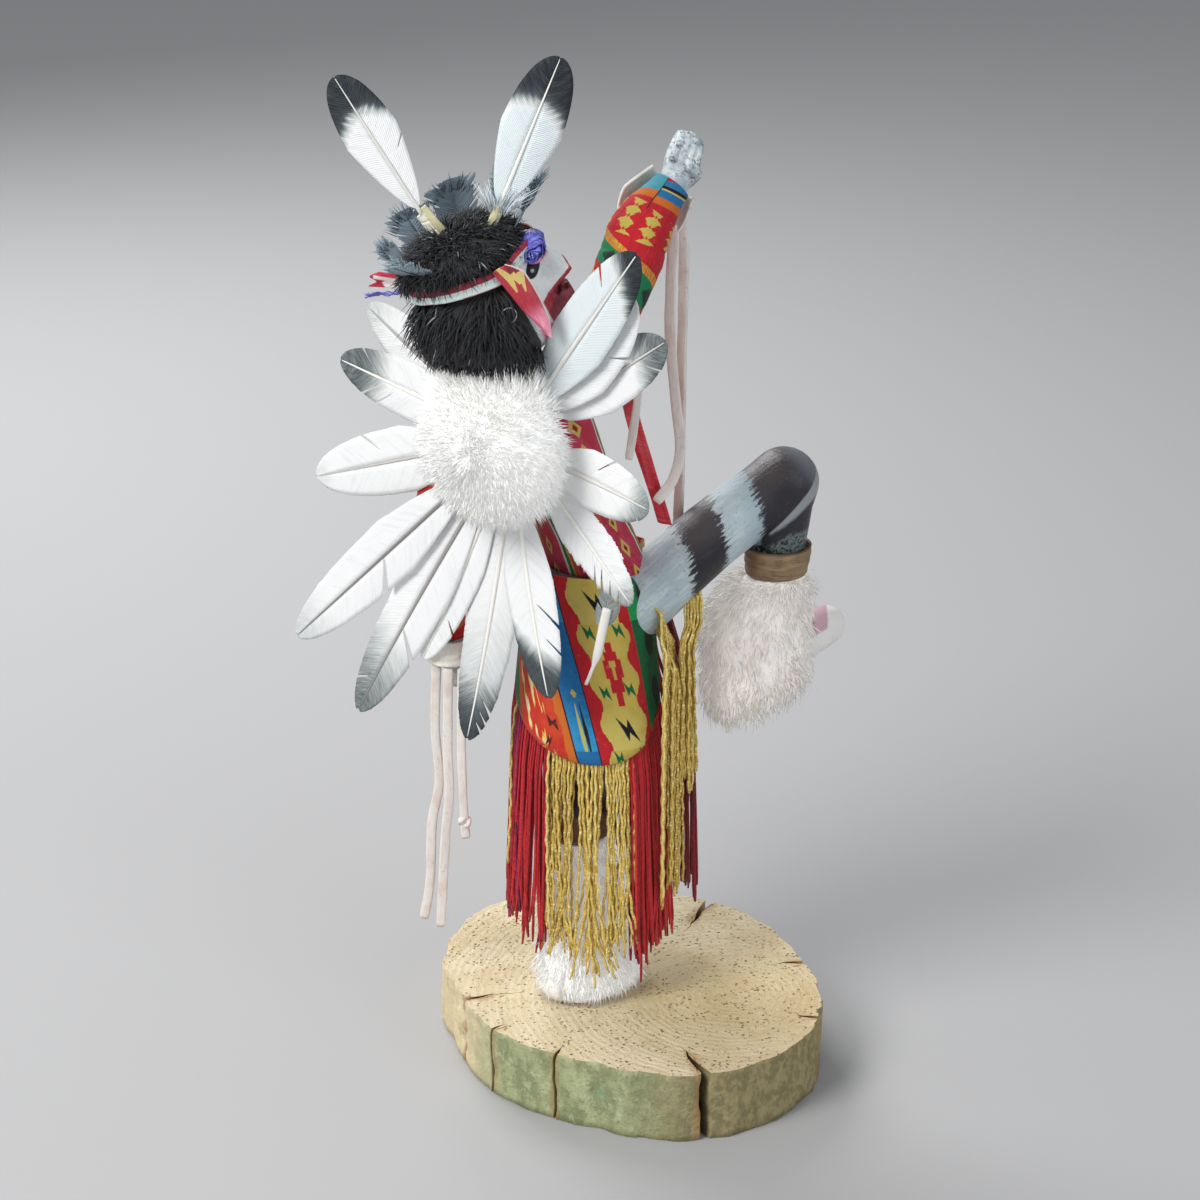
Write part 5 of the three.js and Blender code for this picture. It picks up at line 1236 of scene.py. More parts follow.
class Field:
    """distance to a union of rounded bodies, on a grid of uneven spacing"""

    def __init__(self, x, y, z):
        self.ax = (x, y, z)
        self.d = np.full((len(x), len(y), len(z)), 50.0, np.float32)
        self.lab = np.zeros(self.d.shape, np.int8)

    def sub(self, lo, hi):
        sl = tuple(slice(int(np.searchsorted(a, l)), int(np.searchsorted(a, h)) + 1) for a, l, h in zip(self.ax, lo, hi))
        g = np.stack(np.meshgrid(*(a[s] for a, s in zip(self.ax, sl)), indexing="ij"), -1)
        return sl, g

    def add(self, f, lo, hi, k=1.5, label=0):
        sl, g = self.sub(lo, hi)
        d = f(g).astype(np.float32)
        old = self.d[sl]
        self.lab[sl] = np.where(d < old, label, self.lab[sl])
        h = np.clip(0.5 + 0.5 * (old - d) / k, 0, 1)
        self.d[sl] = old * (1 - h) + d * h - k * h * (1 - h)

    def cut(self, f, lo, hi):
        sl, g = self.sub(lo, hi)
        self.d[sl] = np.maximum(self.d[sl], -f(g).astype(np.float32))

    def surface(self):
        """one point in each cell that the surface passes, quads between them"""
        D = self.d
        ins = D < 0
        n = ins[:-1, :-1, :-1].astype(np.int8)
        cnt = np.zeros(n.shape, np.int8)
        for dx in (0, 1):
            for dy in (0, 1):
                for dz in (0, 1):
                    cnt += ins[dx:dx + n.shape[0], dy:dy + n.shape[1], dz:dz + n.shape[2]]
        act = (cnt > 0) & (cnt < 8)
        idx = np.full(n.shape, -1, np.int64)
        cells = np.argwhere(act)
        idx[act] = np.arange(len(cells))
        tot = np.zeros((len(cells), 3))
        num = np.zeros(len(cells))
        X = [np.asarray(a) for a in self.ax]
        for axis in range(3):
            o1, o2 = [a for a in range(3) if a != axis]
            for e1 in (0, 1):
                for e2 in (0, 1):
                    c0 = cells.copy()
                    c0[:, o1] += e1
                    c0[:, o2] += e2
                    c1 = c0.copy()
                    c1[:, axis] += 1
                    d0, d1 = D[tuple(c0.T)], D[tuple(c1.T)]
                    m = (d0 < 0) != (d1 < 0)
                    t = d0[m] / (d0[m] - d1[m])
                    p0 = np.stack([X[k][c0[m, k]] for k in range(3)], 1)
                    p1 = np.stack([X[k][c1[m, k]] for k in range(3)], 1)
                    np.add.at(tot, np.flatnonzero(m), p0 + (p1 - p0) * t[:, None])
                    num[m] += 1
        V = tot / num[:, None]
        quads = []
        for axis in range(3):
            o1, o2 = (axis + 1) % 3, (axis + 2) % 3
            a = np.moveaxis(ins, axis, 0)
            cross = a[:-1] != a[1:]
            cross = np.moveaxis(cross, 0, axis)
            e = np.argwhere(cross)
            e = e[(e[:, o1] > 0) & (e[:, o2] > 0) & (e[:, o1] < D.shape[o1] - 1) & (e[:, o2] < D.shape[o2] - 1)]
            q = []
            for a1, a2 in ((-1, -1), (0, -1), (0, 0), (-1, 0)):
                c = e.copy()
                c[:, o1] += a1
                c[:, o2] += a2
                q.append(idx[tuple(c.T)])
            q = np.stack(q, 1)
            flip = ins[tuple(e.T)]
            q = np.where(flip[:, None], q, q[:, ::-1])
            quads.append(q)
        Q4 = np.concatenate(quads)
        lab = self.lab[tuple(cells.T)]
        return V, Q4, lab


def limb_d(points, radii, ref, m=12, grow=0.0):
    """distance to a limb of oval section along a smooth path"""
    t = np.linspace(0, 1, m + 1)
    path = catmull(points, t)
    R = np.array(radii, float)
    r = np.stack([np.interp(t * (len(R) - 1), np.arange(len(R)), R[:, k]) for k in (0, 1)], 1) + grow
    lo, hi = path.min(0) - r.max() - 3, path.max(0) + r.max() + 3

    def f(P):
        best = np.full(P.shape[:-1], 99.0)
        for i in range(m):
            a, ab = path[i], path[i + 1] - path[i]
            d = unit(ab)
            u = unit(arr(ref) - d * np.dot(ref, d))
            w = np.cross(d, u)
            v = P - a
            s = np.clip(v @ ab / (ab @ ab), 0, 1)
            c = v - s[..., None] * ab
            ra, rb = lerp(r[i, 0], r[i + 1, 0], s), lerp(r[i, 1], r[i + 1, 1], s)
            mn = np.minimum(ra, rb)
            q = np.sqrt((c @ u / ra) ** 2 + (c @ w / rb) ** 2 + (c @ d / mn) ** 2)
            best = np.minimum(best, (q - 1) * mn)
        return best
    return f, lo, hi


def ball_d(c, r, axes=None):
    c, r = arr(c), arr(r)
    A = np.eye(3) if axes is None else np.array([unit(a) for a in axes])

    def f(P):
        q = np.sqrt((((P - c) @ A.T / r) ** 2).sum(-1))
        return (q - 1) * r.min()
    m = r.max() + 2.5
    return f, c - m, c + m


HR = np.array([[-20, -7, 10, 6], [-17.5, -10, 15, 9.8], [-12, -12.8, 17.5, 12.8], [-3, -14.3, 19, 14], [8, -14, 20, 14], [15, -11.5, 16.5, 12], [20, -6, 9, 6.5]], float)
HU = np.linspace(-20, 20, 81)
HRS = np.stack([np.convolve(np.pad(np.interp(HU, HR[:, 0], HR[:, k]), 4, mode="edge"), np.ones(9) / 9, "valid") for k in (1, 2, 3)], 1)


def head_local(P):
    v = P - HEAD
    return v @ fd, v @ hs, v @ hu


def head_d(P):
    f, s, u = head_local(P)
    f0, f1, w = (np.interp(u, HU, HRS[:, k]) for k in range(3))
    mid, half = (f0 + f1) / 2, (f1 - f0) / 2
    q = (np.abs((f - mid) / half) ** 2.5 + np.abs(s / w) ** 2.5) ** 0.4
    d = (q - 1) * np.minimum(half, w)
    c = np.abs(u) - 19.6
    k = 2.5
    h = np.clip(0.5 + 0.5 * (d - c) / k, 0, 1)
    return c * (1 - h) + d * h + k * h * (1 - h)


def wedge_d(prof, half, edge=1.0, wavy=None):
    """convex outline in (forward, up), of the given half width, softly edged"""
    Pf = np.array(prof, float)
    area2 = np.sum(Pf[:, 0] * np.roll(Pf[:, 1], -1) - np.roll(Pf[:, 0], -1) * Pf[:, 1])
    if area2 < 0:
        Pf = Pf[::-1]

    def f(P):
        x, s, y = head_local(P)
        if wavy is not None:
            y = y + wavy(x, s)
        d = np.full(x.shape, -99.0)
        for i in range(len(Pf)):
            a, b = Pf[i], Pf[(i + 1) % len(Pf)]
            e = unit(b - a)
            d = np.maximum(d, (x - a[0]) * e[1] - (y - a[1]) * e[0])
        c = np.abs(s) - half
        h = np.clip(0.5 + 0.5 * (d - c) / edge, 0, 1)
        return c * (1 - h) + d * h + edge * h * (1 - h)
    return f


def axis_steps(lo, hi, fine, h, hf):
    x = [lo]
    while x[-1] < hi:
        x.append(x[-1] + (hf if any(a - 1e-6 <= x[-1] < b for a, b in fine) else h))
    return np.array(x)


COARSE, FINE = ((1.28, 0.58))
F = Field(axis_steps(-75, 72, [(-36, -16), (8, 21)], COARSE, FINE), axis_steps(-38, 38, [(-36, -10), (0, 12)], COARSE, FINE),
          axis_steps(23.5, 316, [(258, 285), (296, 313)], COARSE, FINE))
SIDE = (0.707, -0.707, 0)
f, lo, hi = limb_d(TORSO, TORSO_R, SIDE, 12)
F.add(f, lo, hi, 1.0, 0)
for pts, rad, ref, lab, k in [
        ([SHOULDER_L, [-33, -5, 233], SHOULDER_R], [[8.5, 8.5], [10.5, 10], [9, 9]], (0, 0, 1), 0, 2.5),
        ([HIP_L, KNEE_L, ANKLE_L], [[12, 12], [9.5, 9.5], [7, 7]], (1, 0, 0), 1, 2.0),
        ([ANKLE_L, [-21, -6, 30]], [[7, 7], [7, 7]], (1, 0, 0), 1, 2.0),
        ([HEEL_L, [-15, 1, 31], TOE_L], [[5.5, 4.2], [6.5, 4.6], [5.5, 3.8]], (0.78, -0.62, 0), 3, 2.0),
        ([HIP_R, [24, 8.5, 180], KNEE_R], [[11.5, 11.5], [10.8, 10.8], [10.4, 10.8]], (0, 0, 1), 2, 2.0),
        ([KNEE_R, [45, 15, 167], ANKLE_R], [[10.4, 10.2], [7.6, 7.6], [5.2, 5.2]], (1, 0, 0), 2, 3.0),
        ([HEEL_R, [50, 18, 137], TOE_R], [[5, 5.5], [7, 7], [6.5, 6.6]], (0.6, -0.8, 0), 4, 2.0),
        (ARM_R, ARM_R_R, (0.8, -0.2, -0.5), 0, 2.0),
        (ARM_L, ARM_L_R, (1, 0, 0), 0, 2.0)]:
    f, lo, hi = limb_d(pts, rad, ref, 12)
    F.add(f, lo, hi, k, lab)
# fists: the palm, four folded fingers side by side and the thumb across them
for W_, H_, ref, near in ((WRIST_R, HAND_R, (0.9, 0.1, -0.42), 1), (WRIST_L, HAND_L, (1, 0, 0), -1)):
    d = unit(H_ - W_)
    u = unit(arr(ref) - d * np.dot(ref, d))
    w = np.cross(d, u) * near
    if w[1] > 0:
        w = -w
    L = np.linalg.norm(H_ - W_)
    f, lo, hi = limb_d([W_, W_ + d * L * 0.5, H_], [[4.2, 4.0], [5.3, 4.1], [4.3, 3.2]], u, 8)
    F.add(f, lo, hi, 1.5, 5)
    for i in range(4):
        x = (i - 1.5) * 2.55
        drop = 0.35 * (i - 1.2) ** 2
        knuckle = W_ + d * (L + 1.6 - drop) + u * x * 0.82
        tip = W_ + d * (L * 0.52) + u * x * 1.02 + w * 3.7
        f, lo, hi = limb_d([W_ + d * L * 0.6 + u * x - w * 1.2, knuckle - w * 0.6, knuckle + w * 2.6 - d * 2.2, tip], [[1.5, 1.6], [1.6, 1.6], [1.5, 1.5], [1.25, 1.25]], u, 9)
        F.add(f, lo, hi, 0.35, 5)
    f, lo, hi = limb_d([W_ + d * 2.5 + u * 4.2, W_ + d * L * 0.42 + u * 5.2 + w * 1.6, W_ + d * L * 0.46 + u * 2.0 + w * 5.0], [[1.9, 1.9], [1.75, 1.75], [1.3, 1.3]], u, 8)
    F.add(f, lo, hi, 0.35, 5)
# mask: rounded case, blocky snout, open mouth with a ragged tongue, lower jaw
hlo, hhi = HEAD - 32, HEAD + 34
F.add(head_d, hlo, hhi, 2.0, 6)
F.add(wedge_d([[10, 6.6], [22.3, 6.0], [26.2, -2.4], [16.4, -6.3], [10, -6.6]], 8.4, 1.4), hlo, hhi, 0.6, 6)
F.add(wedge_d([[9, -12.2], [22.2, -11.6], [19.6, -14.4], [13.5, -18.6], [8, -18.6]], 7.0, 1.6), hlo, hhi, 0.6, 6)
ragged = lambda x, s: 0.45 * np.sin(x * 2.6 + 0.4 * s) + 0.3 * np.sin(s * 1.7 + x)
F.add(wedge_d([[11, -6.9], [17.2, -7.1], [20.6, -4.9], [22.8, -5.4], [23.6, -9.0], [22.3, -11.9], [11, -13.2]], 6.6, 1.2, ragged), hlo, hhi, 0.35, 6)
for sgn in (1, -1):
    f, lo, hi = ball_d(head_at(15.2, sgn * 10.2, 4.8), [2.3, 1.9, 1.7], (fd * 0.74 + hu * 0.67, hs, -fd * 0.67 + hu * 0.74))
    F.add(f, lo, hi, 0.3, 6)
V, Q4, lab = F.surface()
del F
# a light carver's touch: long shallow facets, and nothing below the sole
nrm_noise = 0.16 * noise(V, 0.16, 5, 3) + 0.05 * noise(V, 0.7, 6, 2)
e1, e2 = V[Q4[:, 1]] - V[Q4[:, 0]], V[Q4[:, 3]] - V[Q4[:, 0]]
fnrm = np.cross(e1, e2)
vn = np.zeros_like(V)
for k in range(4):
    np.add.at(vn, Q4[:, k], fnrm)
V = V + unit(vn) * nrm_noise[:, None]
V[:, 2] = np.maximum(V[:, 2], 24.37)

hf, hss, huu = head_local(V)
thigh = unit(KNEE_R - HIP_R)
t_up = unit(arr(0, 0, 1) - thigh * thigh[2])
t_side = np.cross(thigh, t_up)
v = V - HIP_R
lg = np.stack([v @ thigh, v @ t_up, v @ t_side], 1)
leg_l = lab == 1
lg[leg_l] = np.stack([(158 - V[leg_l, 2]) * 0.95, V[leg_l, 0] + 19, V[leg_l, 1] - 5], 1)

# --- painted wood
def brushed(m, w, amount=0.35):
    return m.noise(w, 0.35, 4, 0.6), m.noise(w, 2.2, 3, 0.6)


skin = M("body_paint", 0.62)
w = skin.vec()
b1, b2 = brushed(skin, w)
skin.color(skin.paint("#aebcc4", (b1.ramp(0.45, 0.65, 0, 0.6), "#c7d2d6"), (b2.ramp(0.55, 0.7, 0, 0.3), "#7e8c95")))
skin.bump(b1 + b2 * 0.5, 0.15)

leg = M("leg_paint", 0.42, Specular_IOR_Level=0.45)
w = leg.vec("lg")
t, up, si = leg.xyz("lg")
streak = leg.noise(leg.join(t * 0.10, up * 0.85, si * 0.85), 1.0, 4, 0.65)
fine = leg.noise(leg.join(t * 0.5, up * 3.2, si * 3.2), 1.0, 3, 0.7)
dab = leg.noise(leg.join(t * 0.9, up * 1.1, si * 1.1), 1.0, 3, 0.6)
e = t - up * 0.5 + (streak - 0.5) * 13 + (fine - 0.5) * 5.5 + (dab - 0.5) * 3
black = e.ramp(17.5, 18.7) & e.ramp(32.6, 31.4)
black = black | e.ramp(45.5, 46.9)
pale_c = leg.paint("#b5c6cc", (streak.ramp(0.46, 0.62, 0, 0.75), "#cfdcdf"), (dab.ramp(0.56, 0.70, 0, 0.6), "#8fa5ae"), (fine.ramp(0.60, 0.72, 0, 0.45), "#dfe8ea"),
                   (e.ramp(37, 45, 0, 0.5), "#8ba3ad"))
# painted light: the black is lighter on the thigh's upper side
black_c = leg.paint("#232129", (up.ramp(2, 9, 0, 0.85), "#453f41"), (streak.ramp(0.58, 0.72, 0, 0.6), "#54474a"), (dab.ramp(0.62, 0.75, 0, 0.25), "#6d7880"))
# pale stroke at the knee, tapering downwards
lnr = up * 1.0 - (t - 45.5) * 0.22 + 7.2
st = lnr.ramp(0.5, -0.2) & (up * 1.0 + 7.2 - (t - 45.5) * 0.02 + (fine - 0.5) * 2).ramp(-1.4, 0.2) & t.ramp(45, 47)
black_c = leg.mix(st * 0.75, black_c, "#a9afb3")
# painted highlight: pale gloss on the underside at the knee end
black_c = leg.mix((t.ramp(63, 70) & up.ramp(-12, -2)) * 0.5, black_c, "#8b9299")
smear = (leg.xyz("wk")[2].ramp(181.5, 179.0) & t.ramp(41, 45) & up.ramp(-10.5, -12.0)) * dab.ramp(0.40, 0.52)
c = leg.mix(black, pale_c, black_c)
c = leg.mix(smear * 0.45, c, "#8fa39c")
leg.color(c)
leg.rough(black.ramp(0, 1, 0.55, 0.30) + fine * 0.15)
leg.bump(streak * 0.8 + fine * 0.6 + black * 0.25, 0.22)

foot = M("foot_paint", 0.5)
w = foot.vec()
X, Y, Z = foot.xyz()
b1, b2 = brushed(foot, w)
jag = (b2 - 0.5) * 1.6
patch = (X + jag).ramp(56.8, 57.4) & (X + jag).ramp(62.6, 61.9) & (Z + jag - (X - 58) * 0.25).ramp(141.4, 142.2) & (Z + jag).ramp(151.5, 150.5) & Y.ramp(31, 29)
dots = foot.cells(w, 0.45).ramp(0.22, 0.14) & (b1.ramp(0.52, 0.56))
foot.color(foot.paint("#eceae6", (b1.ramp(0.5, 0.7, 0, 0.5), "#d8d6d3"), (patch * 0.9, "#cfa6b3"), (patch * b2.ramp(0.5, 0.6, 0, 0.5), "#b98c9c"), (dots & Z.ramp(145.2, 144.6) & X.ramp(61.5, 60.9), "#26242a")))
foot.bump(b1 + b2 * 0.5, 0.15)

hand = M("hand_paint", 0.5)
w = hand.vec()
b1, b2 = brushed(hand, w)
scr = hand.noise(w, 0.62, 3, 0.6, 0.8)
marks = (scr - 0.5).abs().ramp(0.030, 0.008) & hand.noise(w, 0.22, 2).ramp(0.42, 0.50)
hand.color(hand.paint("#bcc8ce", (b1.ramp(0.45, 0.62, 0, 0.8), "#dde2e3"), (b2.ramp(0.52, 0.68, 0, 0.45), "#8d9ba4"), (b1.ramp(0.40, 0.28, 0, 0.5), "#c3bfcb"),
                      (marks * 0.85, "#2e3038")))
hand.bump(b1 + b2 * 0.5 - marks * 0.6, 0.2)

mask = M("mask_paint", 0.5)
hw = mask.vec("hd")
ff, fs, fu_ = mask.xyz("hd")
b1, b2 = mask.noise(hw, 0.35, 3, 0.6), mask.noise(hw, 2.0, 3, 0.65)
wob = (mask.noise(hw, 0.9, 2) - 0.5) * 1.1
c = mask.paint("#e4e8e8", (b1.ramp(0.45, 0.65, 0, 0.55), "#cdd6d8"), (b2.ramp(0.55, 0.70, 0, 0.4), "#b4bec2"), (b2.ramp(0.40, 0.30, 0, 0.3), "#f5f6f4"))
lip = fu_ - ((ff - 24.8) * 0.394 - 1.35) + wob * 0.4
front = ff.ramp(13.3, 14.0)
red_c = mask.paint("#a83440", (b1.ramp(0.5, 0.66, 0, 0.6), "#c25560"), (b2.ramp(0.55, 0.7, 0, 0.4), "#8a2c38"))
c = mask.mix(lip.ramp(0.12, -0.12) & front, c, red_c)
dark_c = mask.paint("#7c3a41", (b1.ramp(0.48, 0.62, 0, 0.7), "#8f4a50"), (b2.ramp(0.55, 0.72, 0, 0.6), "#5e242e"), ((fu_ + wob).ramp(-9, -11.5, 0, 0.35), "#a9525c"))
c = mask.mix((lip - (ff - 24.8) * 0.10).ramp(-2.5, -3.0) & (ff - fu_ * 0.0).ramp(13.4, 14.0), c, dark_c)
low = (fu_ + (14 - ff) * -0.15 + wob).ramp(-12.9, -13.5)
pink_c = mask.paint("#cf7f9c", (b2.ramp(0.5, 0.64, 0, 0.9), "#e9bccb"), (b1.ramp(0.52, 0.64, 0, 0.7), "#a94d73"))
c = mask.mix(low & ff.ramp(8.0, 9.5), c, pink_c)
ex, ey = (ff - 16.1) * 0.74 + (fu_ - 4.8) * 0.67, (ff - 16.1) * -0.67 + (fu_ - 4.8) * 0.74
rr = (ex * ex) * (1 / 10.0) + (ey * ey) * (1 / 4.9)
c = mask.mix(rr.ramp(1.12, 0.88) & fs.abs().ramp(4.5, 5.5), c, mask.paint("#17191d", (b2.ramp(0.5, 0.7, 0, 0.5), "#30343a")))
gx, gy = ff - 15.5, fu_ - 4.6
c = mask.mix((gx * gx + gy * gy).ramp(0.50, 0.22) & fs.abs().ramp(4.5, 5.5), c, "#9aa0a2")
mask.color(c)
mask.bump(b1 * 0.8 + b2 * 0.6, 0.2)

g = Geo()
face_lab = lab[Q4[:, 0]]
order = {0: 0, 1: 1, 2: 1, 3: 2, 4: 2, 5: 3, 6: 4}
fm = np.vectorize(order.get)(face_lab)
g.add(V, Q4[fm == 0], 0, lg=lg, hd=np.stack([hf, hss, huu], 1))
for k in range(1, 5):
    g.f.append(Q4[fm == k])
    g.mi.append(np.full(int((fm == k).sum()), k, np.int32))
figure_o = build("carved_dancer", g, [skin, leg, foot, hand, mask], "carved_figure")
print("figure faces", len(Q4) * 2)
# ---------------------------------------------------------------------- cloth
def shell(g, P, thick, out, mat=0, wrap=False, **at):
    """closed thin sheet round the surface P (rows x columns), out gives its outer side"""
    nu, nv = P.shape[:2]
    du = np.gradient(P, axis=0)
    if wrap:
        Pw = np.concatenate([P[:, -1:], P, P[:, :1]], 1)
        dv = np.gradient(Pw, axis=1)[:, 1:-1]
    else:
        dv = np.gradient(P, axis=1)
    N = unit(np.cross(du, dv))
    s = np.sign((N * out).sum(-1).mean()) or 1.0
    N = N * s
    th = np.broadcast_to(np.asarray(thick, float), (nu, nv))[..., None]
    V = np.concatenate([(P + N * th / 2).reshape(-1, 3), (P - N * th / 2).reshape(-1, 3)])
    q = grid_faces(nu, nv, wrap_v=wrap)
    if s < 0:
        q = q[:, ::-1]
    n = nu * nv
    e = np.concatenate([q[:, [0, 1]], q[:, [1, 2]], q[:, [2, 3]], q[:, [3, 0]]])
    key = np.sort(e, 1)
    _, inv, cnt = np.unique(key, axis=0, return_inverse=True, return_counts=True)
    rim = e[cnt[inv.ravel()] == 1]
    wall = np.stack([rim[:, 1], rim[:, 0], rim[:, 0] + n, rim[:, 1] + n], 1)
    two = {k: np.concatenate([np.asarray(a, float).reshape((n,) + np.shape(a)[2:])] * 2) if np.ndim(a) >= 2 else a for k, a in at.items()}
    g.add(V, np.concatenate([q, q[:, ::-1] + n, wall]), mat, **two)
    return g


st = lambda *a: np.stack(np.broadcast_arrays(*[np.asarray(x, float) for x in a]), -1)


def weave(m, pt, scale=2.6):
    """plain weave, in mm of cloth"""
    x, y, z_ = m.xyz(pt)
    a = ((x * scale).frac() - 0.5).abs() * 2
    b = ((y * scale).frac() - 0.5).abs() * 2
    ck = (((x * scale * 0.5).frac() > 0.5) - ((y * scale * 0.5).frac() > 0.5)).abs()
    return a * ck + b * ck.inv()


def block(x, y, cx, cy, hx, hy, soft=0.16):
    """rectangle mask"""
    return ((x - cx).abs()).ramp(hx + soft, hx - soft) & ((y - cy).abs()).ramp(hy + soft, hy - soft)


def bolt(x, y, cx, cy, w, h, lean=0.0, soft=0.16):
    """two triangles with upright outer sides that meet point to point, as woven motifs have"""
    yy = y - cy
    xs = x - cx - yy * lean
    xx = xs.abs()
    return ((yy + xs * 0.3).abs() - (xx * (0.78 * h / w) + 0.20 * h)).ramp(soft, -soft) & xx.ramp(w + soft, w - soft)


RED, DEEP, YEL, GRN, BLU, ORG, BLK = "#c4202b", "#a3182a", "#ccb050", "#0b7243", "#1b6aa6", "#d2702a", "#15171c"


def print_material(name, rough=0.82):
    m = M(name, rough, Specular_IOR_Level=0.22, Sheen_Weight=0.08, Sheen_Roughness=0.5)
    x, z, flag = m.xyz("pt")
    pv = m.vec("pt")
    wob = (m.noise(pv, 0.55, 2) - 0.5) * 0.9
    fray = (m.noise(pv, 3.0, 2) - 0.5) * 0.35
    U = x + (z - 135) * (x.op("MAXIMUM", 28.0) * -0.00407 + 0.475)
    U = ((U - 18) / 66).frac() * 66 + 18 + fray
    Vz = ((z - 115) / 43).frac() * 43 + 115 + fray
    # ground: stripes
    c = m.paint("#cc3324", (m.noise(pv, 0.12, 2).ramp(0.42, 0.62, 0, 0.6), "#dd5426"), (Vz.ramp(122, 116, 0, 0.5), "#c42a20"))
    flame = m.noise(m.join(U * 0.42, Vz * 0.10, 0.0), 1.0, 2, 0.55)
    c = m.mix(flame.ramp(0.52, 0.55) & U.ramp(20, 22) & U.ramp(32.5, 30.5) & (Vz + (U - 26) * 0.8).ramp(116, 119), c, m.paint("#e9b653", (flame.ramp(0.57, 0.60), "#f2e2b0")))
    c = m.mix(bolt(U, Vz, 33.6, 123.7, 1.7, 2.2) | bolt(U, Vz, 30.2, 117.2, 0.9, 2.2, 0.6) | bolt(U, Vz, 33.4, 146.0, 1.7, 2.2), c, "#4a1a1e")
    c = m.mix((U + (wob * 2.0) - (m.noise(m.join(Vz * 0.12, 3.0, 0.0), 1.0, 1) - 0.5) * 4).ramp(36.0, 36.35) & U.ramp(39.5, 39.2), c, ORG)
    c = m.mix(U.ramp(39.0, 39.3) & U.ramp(39.9, 39.6), c, BLK)
    blue = U.ramp(39.6, 39.9) & U.ramp(48.2, 47.9)
    # painted light: the blue is lighter lower down
    c = m.mix(blue, c, m.paint("#1f72ae", (Vz.ramp(138, 114, 0, 0.85), "#36a2d6"), (m.noise(pv, 0.5, 2).ramp(0.5, 0.62, 0, 0.35), "#185f96")))
    c = m.mix(U.ramp(47.8, 48.1) & U.ramp(48.6, 48.3), c, BLK)
    c = m.mix(bolt(U, Vz, 44.3, 134.5, 0.5, 1.4) | ((U - 44.3).abs() + (Vz - 134.5).abs() * 0.8).ramp(1.3, 1.0), c, YEL)
    sl = (Vz - 131.5) * -1
    c = m.mix(((U - 43.7).abs() - sl * 0.055 + ((sl - 12) * 0.11).op("MAXIMUM", 0.0)).ramp(0.25, -0.05) & sl.ramp(0.0, 0.8) & sl.ramp(20, 19), c, "#cbbd66")
    c = m.mix(((U - 45.3).abs() - sl * 0.06 + ((sl - 10) * 0.12).op("MAXIMUM", 0.0)).ramp(0.25, -0.05) & sl.ramp(-0.6, 0.4) & sl.ramp(18, 17), c, BLK)
    # yellow field with a scalloped edge, and its motifs
    sc = ((Vz * 0.42).sin() * 0.9).op("ROUND") * 0.30 + (Vz * 0.42).sin() * 0.95
    field = (U + sc + wob * 0.3).ramp(52.2, 52.5) & (U - sc - wob * 0.3).ramp(67.3, 67.0)
    c = m.mix(U.ramp(48.3, 48.6) & U.ramp(69.9, 69.6), c, m.paint(RED, (m.noise(pv, 0.2, 2).ramp(0.5, 0.65, 0, 0.6), "#b51a27")))
    # painted light: the yellow field is lighter lower down
    c = m.mix(field, c, m.paint("#d0b858", (Vz.ramp(132, 116, 0, 0.85), "#dccb70"), (m.noise(pv, 0.18, 2).ramp(0.5, 0.7, 0, 0.4), "#bf9f3f")))
    gh = bolt(U, Vz, 55.3, 155.2, 1.3, 2.8, -0.2) | bolt(U, Vz, 64.8, 155.6, 1.3, 2.7, -0.2) | bolt(U, Vz, 55.5, 135.0, 1.25, 2.6, -0.18) | bolt(U, Vz, 64.2, 135.2, 1.3, 2.7, -0.18)
    c = m.mix(gh, c, "#0d6a3c")
    cross = block(U, Vz, 60.2, 141.0, 1.15, 11.0) | block(U, Vz, 60.2, 142.6, 2.1, 6.2) | block(U, Vz, 60.2, 142.9, 3.0, 3.2) | block(U, Vz, 60.2, 136.2, 2.3, 1.5)
    c = m.mix(cross, c, "#c01f2a")
    c = m.mix(block(U, Vz, 60.2, 144.6, 1.05, 1.1) | block(U, Vz, 60.2, 142.2, 0.5, 3.0), c, YEL)
    c = m.mix(bolt(U, Vz, 60.4, 121.6, 1.8, 4.6, -0.36), c, BLK)
    # green band with blurred dark ovals
    # painted light: the green is lighter lower down
    g_ = m.paint("#087040", (m.noise(pv, 0.35, 3).ramp(0.45, 0.65, 0, 0.7), "#055a34"), (Vz.ramp(128, 118, 0, 0.9), "#13a45a"))
    c = m.mix(U.ramp(69.7, 70.0) & U.ramp(83.7, 83.4), c, g_)
    vv = ((z - 131.4) / 17.6).frac() - 0.5
    vv = (vv.abs() - 0.5).abs() * 17.6
    ox = U - 76.6 + wob * 1.2
    ov = (ox * ox) * (1 / 7.5) + (vv * vv) * (1 / 30.0)
    c = m.mix(ov.ramp(1.25, 0.55) & U.ramp(70.2, 71.2), c, "#16221f")
    fade = m.noise(pv, 0.35, 3, 0.6)
    c = m.mix(fade.ramp(0.60, 0.80, 0, 0.16), c, "#e9dcc6")
    wv = weave(m, "pt")
    # painted shade between the threads of the weave
    c = m.mix(wv.ramp(0.75, 0.2, 0, 0.16), c, "#241a18")
    m.color(c)
    m.bump(wv * 1.0 + fade * 0.8, 0.10, 0.8)
    return m


PRINT = print_material("kilt_print")
ARC = math.pi / 180 * 24.5


